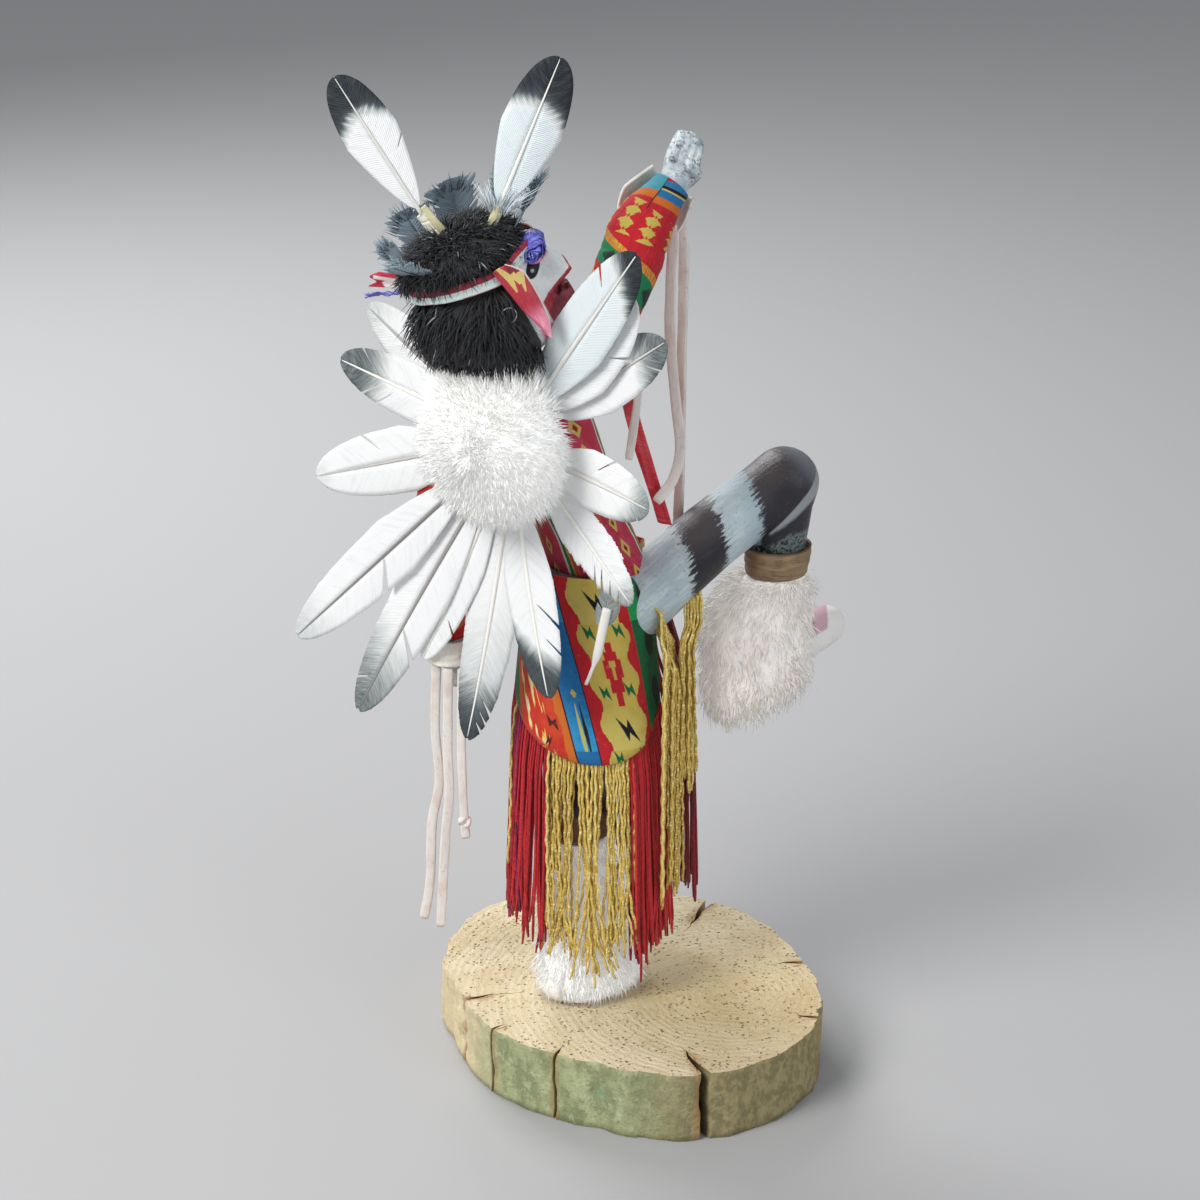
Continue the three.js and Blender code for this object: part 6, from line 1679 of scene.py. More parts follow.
def kilt(name, node, a0, a1, top, low, rad, pt0, hem, nu, nv, seed):
    s = np.linspace(0, 1, nu)[:, None]
    h = np.linspace(0, 1, nv)[None, :]
    tp, lw = top(s), low(s)
    z = tp + (lw - tp) * h
    az = np.radians(lerp(a0, a1, s))
    fold = noise(st(s * 5.5 + 0 * z, z * 0.012 + 0 * s, 0 * z + 0 * s), 1, seed, 3)
    soft = noise(st(s * 9 + 0 * z, z * 0.06, 0 * z + 0 * s), 1, seed + 1, 2)
    r = rad(s, (tp - z) / 70) + 0.45 + fold * 0.9 * smooth(h, 0.1, 0.9) + soft * 0.28 * smooth(h, 0, 0.3)
    # the hem turns in a little and is a touch uneven
    r = r - 0.6 * smooth(h, 0.955, 1.0)
    z = z + 0.35 * noise(st(s * 14 + 0 * z, 0 * z, 0 * z), 1, seed + 2, 2) * smooth(h, 0.9, 1)
    P = st(-14 + r * np.cos(az), 8 + r * np.sin(az), z)
    d = (P - FAN_C) @ fn - (-1.4 - 0.4 - 0.45)
    P = P - np.maximum(d, 0)[..., None] * fn
    out = st(np.cos(az) + 0 * z, np.sin(az) + 0 * z, 0 * z)
    pt = st(lerp(pt0[0], pt0[1], s) + 0 * z, z, 0 * z)
    g = Geo()
    shell(g, P, 0.5 + 0.25 * smooth(h, 0.94, 0.97) + 0 * z, out, 0, False, pt=pt)
    o = build(name, g, [PRINT], node)
    return o


clamp01 = lambda x: np.clip(x, 0, 1)
back_low = lambda s: 110 + np.where(s < 0.68, 30 * ((0.68 - s) / 0.68) ** 2, 14.4 * ((s - 0.68) / 0.32) ** 2)
back_top = lambda s: lerp(173, 150, smooth(s, 0.8, 1.0))
back_rad = lambda s, h: 20.8 + 3.6 * clamp01(h * 1.2) + 1.6 * np.cos(2 * np.pi * (s - 0.1)) * clamp01(h)
FQ = 1.0
kilt("kilt_back_cloth", "kilt_back", 150, 338, back_top, back_low, back_rad, (0, 188 * ARC), True, int(150 * FQ), int(96 * FQ), 201)
kilt("kilt_front_cloth", "kilt_front", 42, 118, lambda s: 173 + 0 * s, lambda s: 118 + 20 * (2 * s - 1) ** 2, lambda s, h: 21.5 + 6 * clamp01(h), (84, 84 + 76 * ARC), True,
     int(66 * FQ), int(72 * FQ), 205)


# sleeves: tubes of the same print
def sleeve_material(name, low=False):
    m = M(name, 0.82, Specular_IOR_Level=0.22, Sheen_Weight=0.08, Sheen_Roughness=0.5)
    x, s, deg = m.xyz("pt")
    pv = m.vec("pt")
    wob = (m.noise(pv, 0.7, 2) - 0.5) * 0.9
    fray = (m.noise(pv, 3.0, 2) - 0.5) * 0.3
    S = s + deg * 0.030 + fray
    lap = (x + s * -0.12 + 3.0).ramp(0.1, -0.1) & (x + 40).ramp(0, 1)
    S1 = S + lap * 3.2
    c = m.paint(RED, (m.noise(pv, 0.15, 2).ramp(0.45, 0.62, 0, 0.6), "#b01a2a"))
    # columns of stacked yellow stepped diamonds on the red
    def column(cx, s0, s1):
        t = (s - s0 + x * 0.05) / 3.1
        saw = (t.frac() - 0.5).abs() * 2
        w_ = saw * 2.3 + 0.25 + (t * 2).frac().op("ROUND") * 0.5
        cell = (x - cx + (t.floor() * 0.5).frac() * 0.7)
        return (cell.abs() - w_).ramp(0.18, -0.18) & s.ramp(s0 - 0.1, s0 + 0.1) & s.ramp(s1 + 0.1, s1 - 0.1) & (cell.abs() - 0.45 + saw * 1.1).ramp(-0.2, 0.1)
    far = (x - 13.2)
    zig = column(-5.3, 11.0, 20.3) | column(2.9, 11.8, 21.1) | column(13.0, 11.4, 20.7) | column(-14.0, 11.4, 20.7)
    c = m.mix(zig, c, "#c9b455")
    zig2 = m.cells(m.join(x * 0.28, s * 0.55, 0.0), 1.0).ramp(0.12, 0.08) & s.ramp(10.5, 11) & s.ramp(22, 21.5)
    c = m.mix(zig2 * 0.5, c, "#d2903c")
    c = m.mix(S1.ramp(-3.0, -2.6) & S1.ramp(-1.0, -1.3), c, "#cdb45a")
    c = m.mix(S1.ramp(0.9, 1.1) & S1.ramp(3.3, 3.1), c, m.paint("#12794a", (wob.ramp(0, 0.3, 0, 0.6), "#1c8f58")) if low else m.paint("#2079ae", (wob.ramp(0, 0.3, 0, 0.6), "#3c9cc6")))
    c = m.mix(S1.ramp(3.1, 3.3) & S1.ramp(4.3, 4.1), c, "#c4202b" if low else BLK)
    c = m.mix(S1.ramp(4.2, 4.3) & S1.ramp(4.9, 4.7), c, "#c4c070")
    c = m.mix(S1.ramp(4.7, 4.9) & S1.ramp(7.5, 7.3), c, m.paint("#d6a03a", (wob.ramp(0, 0.3, 0, 0.6), "#d9c05c")) if low else m.paint("#1d72ab", (wob.ramp(0, 0.3, 0, 0.6), "#3289bd")))
    c = m.mix(S1.ramp(7.3, 7.5) & (S1 + wob).ramp(10.0, 9.7), c, ORG)
    c = m.mix(lap & S.ramp(5.8, 5.5), c, m.paint("#c4202b", (wob.ramp(0, 0.3, 0, 0.5), "#d2702a")) if low else m.paint("#4a9fb0", (wob.ramp(0, 0.3, 0, 0.5), "#6bb6bd")))
    c = m.mix(lap & S.ramp(5.4, 5.7) & (S + wob).ramp(8.6, 8.3), c, ORG)
    # painted shadow: a dark line under the lapped edge of the cloth
    c = m.mix((x + s * -0.12 + 3.0).abs().ramp(0.32, 0.12) & s.ramp(13.0, 12.0), c, "#1c2228")
    # below the elbow
    S2 = s - deg * 0.06 + fray
    P_ = ((S2 - 24.5) / 30).frac() * 30 + 24.5
    lowm = S2.ramp(24.4, 24.6)
    cl = m.paint("#c2261f", (P_.ramp(24.5, 24.6) & (P_ + wob).ramp(27.2, 26.9), m.paint(ORG, (m.noise(pv, 0.6, 1).ramp(0.5, 0.6), "#c8b04e"))),
                 (P_.ramp(26.9, 27.1) & P_.ramp(34.6, 34.4), "#10824f"), (P_.ramp(38.2, 38.4) & P_.ramp(41.6, 41.3), "#d6bf58"))
    dx = (((x + 5.5) / 17).frac() - 0.5) * 17
    dx = (dx.abs() - 8.5).abs()
    dd = dx * 0.8 + (P_ - 30.8).abs()
    cl = m.mix((dd + wob * 0.8).ramp(4.0, 2.6), cl, "#20302a")
    c = m.mix(lowm, c, cl)
    fade = m.noise(pv, 0.35, 3, 0.6)
    c = m.mix(fade.ramp(0.60, 0.80, 0, 0.16), c, "#e9dcc6")
    wv = weave(m, "pt")
    # painted shade between the threads of the weave
    c = m.mix(wv.ramp(0.75, 0.2, 0, 0.16), c, "#241a18")
    m.color(c)
    m.bump(wv + fade * 0.8, 0.10, 0.8)
    return m


SLEEVE = sleeve_material("sleeve_print")
SLEEVE_LOW = sleeve_material("sleeve_print_lowered", True)


def sleeve(name, node, pts, rad, s_from, s_to, view, seed, nu, nv, hem, creases):
    """cloth tube round a limb; s is measured back from the wrist"""
    ts = np.linspace(0, 1, 400)
    path = catmull(pts, ts)
    L = np.concatenate([[0], np.cumsum(np.linalg.norm(np.diff(path, axis=0), axis=1))])
    back = L[-1] - L
    R = np.array(rad, float)
    rr = np.stack([np.interp(ts * (len(R) - 1), np.arange(len(R)), R[:, k]) for k in (0, 1)], 1)
    q = np.linspace(s_from, s_to, nu)
    pick = lambda a: np.stack([np.interp(q, back[::-1], a[::-1, k]) for k in range(a.shape[1])], 1)
    C, RR = pick(path), pick(rr)
    RR = np.stack([np.convolve(np.pad(RR[:, k], 6, mode="edge"), np.ones(13) / 13, "valid") for k in (0, 1)], 1)
    if s_from < 0:
        over = np.minimum(q, 0)
        C = C + (path[-1] - path[-8]) / np.linalg.norm(path[-1] - path[-8]) * (-over)[:, None]
    T_ = unit(np.gradient(C, axis=0))
    vw = unit(arr(view))
    U = unit(vw - T_ * (T_ @ vw)[:, None])
    W = np.cross(-T_, U)
    ref = unit(arr(0.8, -0.2, -0.5)) if node == "sleeve_raised" else arr(1, 0, 0)
    RU = unit(ref - T_ * (T_ @ ref)[:, None])
    RW = np.cross(T_, RU)
    a = np.linspace(-np.pi, np.pi, nv, endpoint=False)
    dirs = np.cos(a)[None, :, None] * U[:, None, :] + np.sin(a)[None, :, None] * W[:, None, :]
    cu, cw = (dirs * RU[:, None]).sum(-1), (dirs * RW[:, None]).sum(-1)
    r0 = 1 / np.sqrt((cu / RR[:, :1]) ** 2 + (cw / RR[:, 1:]) ** 2)
    S = q[:, None] + 0 * a[None, :]
    pp = st(S * 0.16, np.cos(a)[None, :] * 1.3 + 0 * S, np.sin(a)[None, :] * 1.3 + 0 * S)
    wr = noise(pp, 1.0, seed, 3)
    ring = noise(st(S * 0.55 + 1.2 * np.sin(a)[None, :], 0 * S, np.cos(a)[None, :] + 0 * S), 1.0, seed + 4, 2)
    amt = sum(k * np.exp(-((S - c) / wd) ** 2) for c, wd, k in creases)
    r = r0 + 0.80 + 0.30 * wr + ring * (0.16 + amt) * 0.8
    end = np.minimum(smooth(q, s_from, s_from + 1.4), smooth(-q, -s_to, -s_to + 1.4))[:, None]
    r = np.maximum(r, r0 + 0.52) + 0.18 * (1 - end)
    P = C[:, None, :] + dirs * r[..., None]
    d = (P - FAN_C) @ fn - (-1.4 - 0.4 - 0.45)
    d = np.where(P[..., 2] < 262, d, 0)
    P = P - np.maximum(d, 0)[..., None] * fn
    deg = np.degrees(a)[None, :] + 0 * S
    pt = st(deg * (math.pi / 180 * 9.0), S, deg)
    g = Geo()
    shell(g, P, 0.5, dirs, 0, True, pt=pt)
    o = build(name, g, [SLEEVE_LOW if node == "sleeve_lowered" else SLEEVE], node)
    return o


sleeve("sleeve_raised_cloth", "sleeve_raised", ARM_R, ARM_R_R, 0.4, 64, (0, -1, 0.4), 211, int(106 * FQ), int(78 * FQ), None, [(20, 5, 0.35), (30, 8, 0.25), (8, 3, 0.1)])
sleeve("sleeve_lowered_cloth", "sleeve_lowered", ARM_L, ARM_L_R, 3.0, 92, (0, -1, 0.3), 215, int(98 * FQ), int(68 * FQ), None, [(46, 8, 0.35)])


# shirt over trunk and shoulders, pressed flat behind by the feathers
def shirt():
    td, _, _ = limb_d(TORSO, TORSO_R, SIDE, 12)
    sd, _, _ = limb_d([SHOULDER_L, [-33, -5, 233], SHOULDER_R], [[8.5, 8.5], [10.5, 10], [9, 9]], (0, 0, 1), 12)
    nz, na = int(58 * FQ) + 1, int(126 * FQ)
    z = np.linspace(171.3, 246.4, nz)
    cx = np.interp(z, [168, 188, 210, 226, 238, 247], [-13, -19, -27, -32, -36, -38])
    cy = np.interp(z, [168, 188, 210, 226, 238, 247], [8, 4, -2, -6, -10, -13])
    a = np.linspace(0, 2 * np.pi, na, endpoint=False)
    D = st(np.cos(a), np.sin(a), 0 * a)[None]
    C = st(cx, cy, z)[:, None, :]
    lo, hi = np.full((nz, na), 1.0), np.full((nz, na), 46.0)
    for _ in range(18):
        mid = (lo + hi) / 2
        P = C + D * mid[..., None]
        f = np.minimum(td(P), sd(P)) - 0.9
        inside = f < 0
        lo, hi = np.where(inside, mid, lo), np.where(inside, hi, mid)
    r = lo
    # smooth the step from trunk to shoulder
    for _ in range(3):
        r = (np.roll(r, 1, 1) + np.roll(r, -1, 1) + 2 * r) / 4
    # closed over the top, round the neck
    neck = smooth(z, 243.5, 246.4)[:, None]
    r = lerp(r, np.minimum(r, 9.0), neck)
    P = C + D * r[..., None]
    P[..., 2] = P[..., 2] - 0.8 * neck
    fold = noise(st(P[..., 0] * 0.14, P[..., 1] * 0.14, P[..., 2] * 0.05), 1, 221, 3)
    P = P + D * (fold * 0.45 + 0.1)[..., None]
    d = (P - FAN_C) @ fn - (-1.4 - 0.4 - 0.5)
    P = P - np.maximum(d, 0)[..., None] * fn
    pt = st(a[None, :] * 24.5 + 0 * r + 6, P[..., 2] + 40, 0 * r)
    g = Geo()
    shell(g, P, 0.5, D + 0 * P, 0, True, pt=pt)
    m = M("shirt_print", 0.82, Specular_IOR_Level=0.22, Sheen_Weight=0.1, Sheen_Roughness=0.5)
    x, zz, _ = m.xyz("pt")
    pv = m.vec("pt")
    wob = (m.noise(pv, 0.6, 2) - 0.5) * 0.9
    u = (((x + zz * 0.12) / 22).frac() * 22) + wob * 0.5
    c = m.paint("#c2304a", (m.noise(pv, 0.15, 2).ramp(0.45, 0.6, 0, 0.8), "#cf4a68"))
    c = m.paint(c, (u.ramp(2.0, 2.2) & u.ramp(3.6, 3.4), "#e6d9cf"), (u.ramp(3.4, 3.6) & u.ramp(5.6, 5.4), "#1f7a4b"), (u.ramp(5.4, 5.6) & u.ramp(6.6, 6.4), "#cdb45a"),
                (u.ramp(6.4, 6.6) & u.ramp(9.5, 9.3), "#d2582e"))
    t = ((zz / 9).frac() - 0.5) * 9
    c = m.mix(((u - 15).abs() + t.abs() * 0.7).ramp(2.6, 2.3), c, "#d6bf62")
    c = m.mix(((u - 15).abs() + t.abs() * 0.7).ramp(1.2, 0.9), c, "#a01c30")
    wv = weave(m, "pt")
    # painted shade between the threads of the weave
    c = m.mix(wv.ramp(0.75, 0.2, 0, 0.16), c, "#241a18")
    m.color(c)
    m.bump(wv + m.noise(pv, 0.35, 3) * 0.8, 0.10, 0.8)
    o = build("shirt_cloth", g, [m], "shirt")


shirt()
# --------------------------------------------------------------------- fringe
gold = M("gold_yarn", 0.40, Metallic=0.30, Specular_IOR_Level=0.6)
hv, sv = gold.fac("hv"), gold.fac("s")
ply = (sv * 0.62 + gold.fac("a") * 1.0).frac()
glint_noise = gold.noise(gold.join(sv * 1.6, hv * 31, gold.fac("a") * 2), 1.0, 2, 0.6)
# painted light and shade: lighter and darker strands, painted glints and darker spots along them, and painted shade in
# the ply grooves
gold.color(gold.paint("#d9ba58", (hv.ramp(0.35, 0.95, 0, 0.75), "#b8943a"), (hv.ramp(0.35, 0.0, 0, 0.6), "#efdb8a"), (glint_noise.ramp(0.50, 0.66, 0, 0.8), "#fff0ac"), ((ply - 0.5).abs().ramp(0.40, 0.5, 0, 0.28), "#a1782a"),
                      (glint_noise.ramp(0.40, 0.28, 0, 0.35), "#b38a34")))
gold.bump(glint_noise * 0.6 - (ply - 0.5).abs().ramp(0.34, 0.5) * 0.5, 0.12)


def yarn(name, base, light, dark, rough=0.5):
    m = M(name, rough, Specular_IOR_Level=0.45, Sheen_Weight=0.15, Sheen_Roughness=0.4)
    hv, sv, a = m.fac("hv"), m.fac("s"), m.fac("a")
    ply = (sv * 0.30 + a * 2.0).frac()
    fib = m.noise(m.join(sv * 0.5, hv * 31, a * 9), 1.0, 2, 0.6)
    # painted light and shade: some strands take the lit tone and some the dark one, lit flecks along them, and painted
    # shade in the ply grooves
    m.color(m.paint(base, (hv.ramp(0.45, 1.0, 0, 0.8), light), (hv.ramp(0.45, 0.0, 0, 0.8), dark), (fib.ramp(0.52, 0.72, 0, 0.5), light), ((ply - 0.5).abs().ramp(0.38, 0.5, 0, 0.4), dark)))
    m.bump(fib * 0.6 - (ply - 0.5).abs().ramp(0.36, 0.5), 0.16)
    return m


red_yarn = yarn("red_yarn", "#b8141f", "#d8282f", "#7d0b1a", 0.58)
magenta_yarn = yarn("magenta_yarn", "#a01c5c", "#c04484", "#641038", 0.58)
# painted shade: a darker copy of the red yarn for the front strands, which hang in shade under the thigh
shaded_red_yarn = yarn("shaded_red_yarn", "#8e1224", "#a81f38", "#560a18")


def strand(g, pts, r, rng, twisted, mat=0):
    L = float(np.linalg.norm(np.diff(pts, axis=0), axis=1).sum())
    n = max(12, int(L / (1.7 if twisted else 2.8) * (1)))
    path, L = even(pts, n)
    s = np.linspace(0, L, n)
    t = s / L
    if twisted:
        ph = rng.uniform(0, 6.28)
        # the metallic yarn keeps small crimps along it
        w = np.stack([np.sin(s * 0.9 + ph), np.sin(s * 1.13 + ph * 1.7), 0 * s], 1) * 0.22 * smooth(t, 0, 0.1)[:, None]
        path = path + w
        rr = r * (1 + 0.05 * np.sin(s * 1.7 + ph)) * (0.75 + 0.25 * smooth(-t, -1.0, -0.96))
        V, F, S, A = tube(path, rr, rr * 0.8, 5, (1, 0, 0), 1.0, s * 0.7)
    else:
        rr = r * (1 + 0.06 * noise(np.stack([s * 0.5, s * 0, s * 0 + rng.uniform(0, 50)], 1), 1, 3, 2)) * (0.7 + 0.3 * smooth(-t, -1.0, -0.97))
        V, F, S, A = tube(path, rr, rr, 5, (1, 0, 0))
    g.add(V, F, mat, s=S, a=A, hv=float(rng.random()))


def hank(name, node, mats, count, place, top, low, spread, seed, twisted, r=0.62, extra=None, wander=1.0, width_s=0.05):
    """strands hanging from a hem: place(s, h, k) gives a point at height share h"""
    rng = np.random.default_rng(seed)
    g = Geo()
    for i in range(count):
        s = (i + 0.5 + rng.uniform(-0.35, 0.35)) / count
        layer = (i % 3) * 0.38 + rng.uniform(0, 0.3)
        z0, z1 = top(s) - rng.uniform(0, 0.6), low(s) + rng.uniform(-1.0, 1.0) * spread
        # strands hang in loose bunches that lean together and part again at their ends
        grp = int(s * count / 4.5)
        gr_ = np.random.default_rng(seed * 100 + grp)
        mid_s = (grp + 0.5) * 4.5 / count
        pull, lean, gph = gr_.uniform(0.25, 0.6), gr_.normal() * wander, gr_.uniform(0, 6.28)
        sway, z1 = rng.normal() * wander * 1.0, z1 + gr_.normal() * spread * 0.35
        ph, fq = rng.uniform(0, 6.28), rng.uniform(0.06, 0.13)
        pts = []
        for h in np.linspace(0, 1, 11):
            z = lerp(z0, z1, h)
            bunch = pull * math.sin(math.pi * min(1, h * 1.15)) * (mid_s - s)
            ds = (lean * h ** 1.4 + sway * 0.7 * h ** 2 + sway * 0.9 * h ** 5 + 0.35 * wander * math.sin(gph + z * 0.07) * h + 0.3 * wander * math.sin(ph + z * fq) * h) * width_s
            pts.append(place(min(1, max(0, s + bunch + ds)), h, layer, z, rng))
        strand(g, np.array(pts), r * rng.uniform(0.88, 1.1), rng, twisted, 1 if len(mats) > 1 and rng.random() < 0.16 and s < 0.75 else 0)
    if extra:
        extra(g, rng)
    return build(name, g, mats, node)


def body_place(a0, a1, low_t, side_out=0.0):
    def place(s, h, layer, z, rng):
        S = (lerp(a0, a1, s) - 150) / 188
        r = float(back_rad(S, 1.0)) - 2.8 + 3.2 * h + 0.75 + layer * 1.9 * min(1.0, 0.3 + 3.5 * h) + rng.uniform(-0.12, 0.12)
        r = r - 0.6 * (1 - h) * (1 - layer)
        a = math.radians(lerp(a0, a1, s))
        return [-14 + r * math.cos(a), 8 + r * math.sin(a), z]
    return place


def hem(a0, a1):
    return lambda s: float(back_low((lerp(a0, a1, s) - 150) / 188)) + 3.2


NF = 1.0
def stray_gold(g, rng):
    """a few gold strands at the far edge of the red ones"""
    for k in range(5):
        s = 0.01 + 0.035 * k if k < 4 else 0.52
        pts = [body_place(150.5, 230, None)(s + 0.02 * math.sin(h * 5 + k), h, 1.15, lerp(float(hem(150.5, 230)(s)), 84 - 5 * k + rng.uniform(-4, 4), h), rng) for h in np.linspace(0, 1, 8)]
        strand(g, np.array(pts), 0.55, rng, True, 2)


hank("fringe_left_strands", "fringe_left_red", [red_yarn, magenta_yarn, gold], int(96 * NF), body_place(150.5, 231, None), hem(150.5, 231), lambda s: lerp(57, 46, s), 7.0, 301, False, 0.50,
     extra=stray_gold, wander=1.1, width_s=0.032)
hank("fringe_gold_strands", "fringe_back_gold", [gold], int(60 * NF), body_place(228, 303, None), hem(228, 303), lambda s: 45 - 4 * math.sin(math.pi * s) + 5 * math.sin(9 * s), 6.5, 302, True, 0.52, wander=1.7, width_s=0.048)
hank("fringe_right_strands", "fringe_right_red", [red_yarn], int(60 * NF), body_place(299, 336, None), hem(299, 336), lambda s: lerp(38, 48, s), 6.0, 303, False, 0.50, wander=0.9, width_s=0.052)


def front_top(s):
    """from the hem of the front panel, and beside it from under the raised thigh"""
    az = lerp(13, 121, s)
    if az < 42:
        return lerp(163.5, 139.0, float(smooth(az, 14, 42)))
    return 119.2 + 20 * min(1, (2 * (az - 42) / 76 - 1) ** 2)


def front_place(s, h, layer, z, rng):
    az = lerp(13, 121, s)
    h_top = (173 - front_top(s)) / 70
    r_top = 21.5 + 6 * min(1, max(0, h_top)) + 1.2 if az > 42 else 23.0
    r = lerp(r_top, 30.6 - 1.6 * s + 3.4 * h + 0.5, float(smooth(h, 0, 0.4))) + layer * 1.4
    a = math.radians(az)
    return [-14 + r * math.cos(a), 8 + r * math.sin(a), z]


# the front strands take the darker red, painted shade
hank("fringe_front_strands", "fringe_front_red", [shaded_red_yarn], int(86 * NF), front_place, front_top, lambda s: 53 + 6 * s, 5.0, 304, False, 0.55, wander=0.9, width_s=0.02)


def side_gold():
    """strands from the lifted hem under the raised thigh"""
    rng = np.random.default_rng(305)
    g = Geo()
    ex = unit(arr(14.5, 11, 0))
    ez = arr(ex[1], -ex[0], 0)
    p0 = arr(6.6, -13, 0)
    n = int(36 * NF)
    for i in range(n):
        t = (i + 0.5 + rng.uniform(-0.4, 0.4)) / n
        left = t < 0.55
        x_low = 1.4 + 13.6 * t + rng.normal() * 0.8
        z_low = (lerp(60, 66, t) if left else lerp(92, 104, (t - 0.55) / 0.45)) + rng.uniform(-4.5, 7.0)
        if rng.random() < 0.2:
            z_low += 22
        off = 0.2 + (i % 3) * 0.85 + rng.uniform(-0.25, 0.25)
        ph = rng.uniform(0, 6.28)
        hang = lambda x, z, o: p0 + ex * x + arr(-ex[1], ex[0], 0) * (-1.5 + o) + arr(0, 0, z)
        pts = []
        if left:
            # folded over the slanting edge of the back panel
            s_ = lerp(0.90, 0.985, t / 0.55)
            az = math.radians(lerp(150, 338, s_))
            rk = float(back_rad(s_, 0.3)) + 1.5
            zk = float(back_top(s_))
            k0 = arr(-14 + rk * math.cos(az), 8 + rk * math.sin(az), zk - 2.5)
            out = arr(math.cos(az), math.sin(az), 0)
            pts += [k0 - out * 0.2, k0 + out * 0.9 + arr(0.2, 0, 2.6), k0 + out * 2.2 + arr(1.4, -0.4, 1.6), lerp(k0 + out * 2.6, hang(x_low * 0.8 + 0.6, zk - 14, off), 0.55)]
            z_a = zk - 14
        else:
            # out from under the raised thigh
            xt = 3.0 + 14.0 * t
            pts += [arr(4 + xt * 0.92, 6.5, 167.5 + 0.35 * xt * 0.3), arr(4.6 + xt * 0.92, 1.5, 164.5), lerp(arr(5 + xt * 0.92, -1, 160), hang(xt, 152, off), 0.6)]
            z_a = 148
        for h in np.linspace(0, 1, 7):
            x = lerp(x_low * 0.85 + 1.0, x_low, h) + 0.7 * math.sin(ph + h * 4.2) * h
            o = off + 0.4 * math.sin(ph + 5 * h) * h
            pts.append(hang(x, lerp(z_a, z_low, h), o))
        strand(g, np.array(pts), 0.52 * rng.uniform(0.9, 1.1), rng, True)
    build("fringe_side_strands", g, [gold], "fringe_side_gold")


side_gold()
# ------------------------------------------------- ribbons, cuffs and leather
def ribbon_material(name, rough=0.34):
    return M(name, rough, Specular_IOR_Level=0.5, Sheen_Weight=0.15, Sheen_Roughness=0.35)


def ribs(m, vec="pt", k=3.4):
    x, y, _ = m.xyz(vec)
    return ((x * k).frac() - 0.5).abs() * 2


fd10, hu10 = tilt(10)

# band of folded ribbon round the brow: pale below, red above
band = ribbon_material("brow_band", 0.55)
bx_, by_, _ = band.xyz("pt")
pv = band.vec("pt")
bw = (band.noise(pv, 0.25, 2) - 0.5) * 1.6
edge = (by_ - 0.35 + bw * 0.5 - (bx_ * 0.10).sin() * 0.35).ramp(-0.12, 0.12)
grain = band.noise(band.join(bx_ * 0.5, by_ * 2.5, 0.0), 1.0, 3, 0.6)
# painted shade: the red darkens along the top edge, under the crown fur
c = band.mix(edge, band.paint("#d5e4e1", (grain.ramp(0.5, 0.7, 0, 0.6), "#eef3f1"), (grain.ramp(0.45, 0.3, 0, 0.6), "#9dc4c4")),
             band.paint("#a32238", (grain.ramp(0.5, 0.7, 0, 0.7), "#c23248"), (by_.ramp(1.6, 2.4, 0, 0.6), "#6c1626")))
c = band.mix(by_.ramp(-2.0, -2.4) & band.noise(pv, 0.12, 2).ramp(0.5, 0.56), c, "#c0405a")
band.color(c)
band.bump(grain * 0.8 + ribs(band) * 0.3, 0.12)


def headband():
    n, nv = 150, 9
    a = np.linspace(0, 2 * np.pi, n, endpoint=False)
    v = np.linspace(-2.45, 2.3, nv)
    A, Vv = np.meshgrid(a, v, indexing="ij")
    C0 = head_at(0.6, 0, 10.4)
    wv = 0.22 * noise(st(np.cos(A) * 3, np.sin(A) * 3, Vv * 0.25), 1.0, 401, 3)
    crease = 0.16 * np.sin(Vv * 1.5 + 3 * noise(st(np.cos(A), np.sin(A), 0 * A), 1.6, 402, 2))
    r = 1 + (wv + crease + 0.15) / 19
    vv = Vv * (1 + 0.10 * noise(st(np.cos(A) * 2, np.sin(A) * 2, 0 * A), 1, 403, 2))
    vl = vv
    # in front it rides up under the knot
    vv = vv + 3.4 * smooth(np.cos(A), 0.25, 0.8)
    P = C0 + (20.4 * r * np.cos(A))[..., None] * fd10 + (17.5 * r * np.sin(A))[..., None] * hs + vv[..., None] * hu10
    out = np.cos(A)[..., None] * fd10 + np.sin(A)[..., None] * hs
    g = Geo()
    shell(g, np.swapaxes(P, 0, 1), 0.55, np.swapaxes(out, 0, 1), 0, True, pt=np.swapaxes(st(A * 19, vl, 0 * A), 0, 1))
    o = build("headband_ribbon", g, [band], "headband")


headband()

# its loose ends behind: red above, white between, a frayed blue strip below
tail_m = ribbon_material("band_ends", 0.5)
tx, ty, _ = tail_m.xyz("pt")
tv = tail_m.vec("pt")
fr_ = tail_m.noise(tail_m.join(tx * 0.35, ty * 3.0, 0.0), 1.0, 3, 0.6)
tw = (fr_ - 0.5) * 0.8
c = tail_m.paint("#ece6e2", (fr_.ramp(0.5, 0.7, 0, 0.5), "#d8cfd0"))
c = tail_m.mix((ty + tx * 0.02 + tw * 0.4).ramp(2.35, 2.75), c, tail_m.paint("#c4284a", (fr_.ramp(0.5, 0.65, 0, 0.7), "#e0506a")))
c = tail_m.mix(((tx + (ty - 0.5).abs() * 0.9 + tw * 1.5).ramp(9.2, 9.9) & (ty).ramp(1.6, 1.1) | (tx + tw).ramp(12.1, 12.5) & ty.ramp(3.0, 2.5)) & ty.ramp(-2.2, -1.6), c, "#b32040")
c = tail_m.mix((ty + (tx * 0.27) - 0.2 + tw * 0.5).ramp(-0.2, -0.6), c, tail_m.paint("#5a57b0", (fr_.ramp(0.52, 0.62, 0, 0.8), "#a9a4dc"), (fr_.ramp(0.42, 0.34, 0, 0.8), "#3a3688")))
tail_m.color(c)
tail_m.bump(fr_, 0.12)


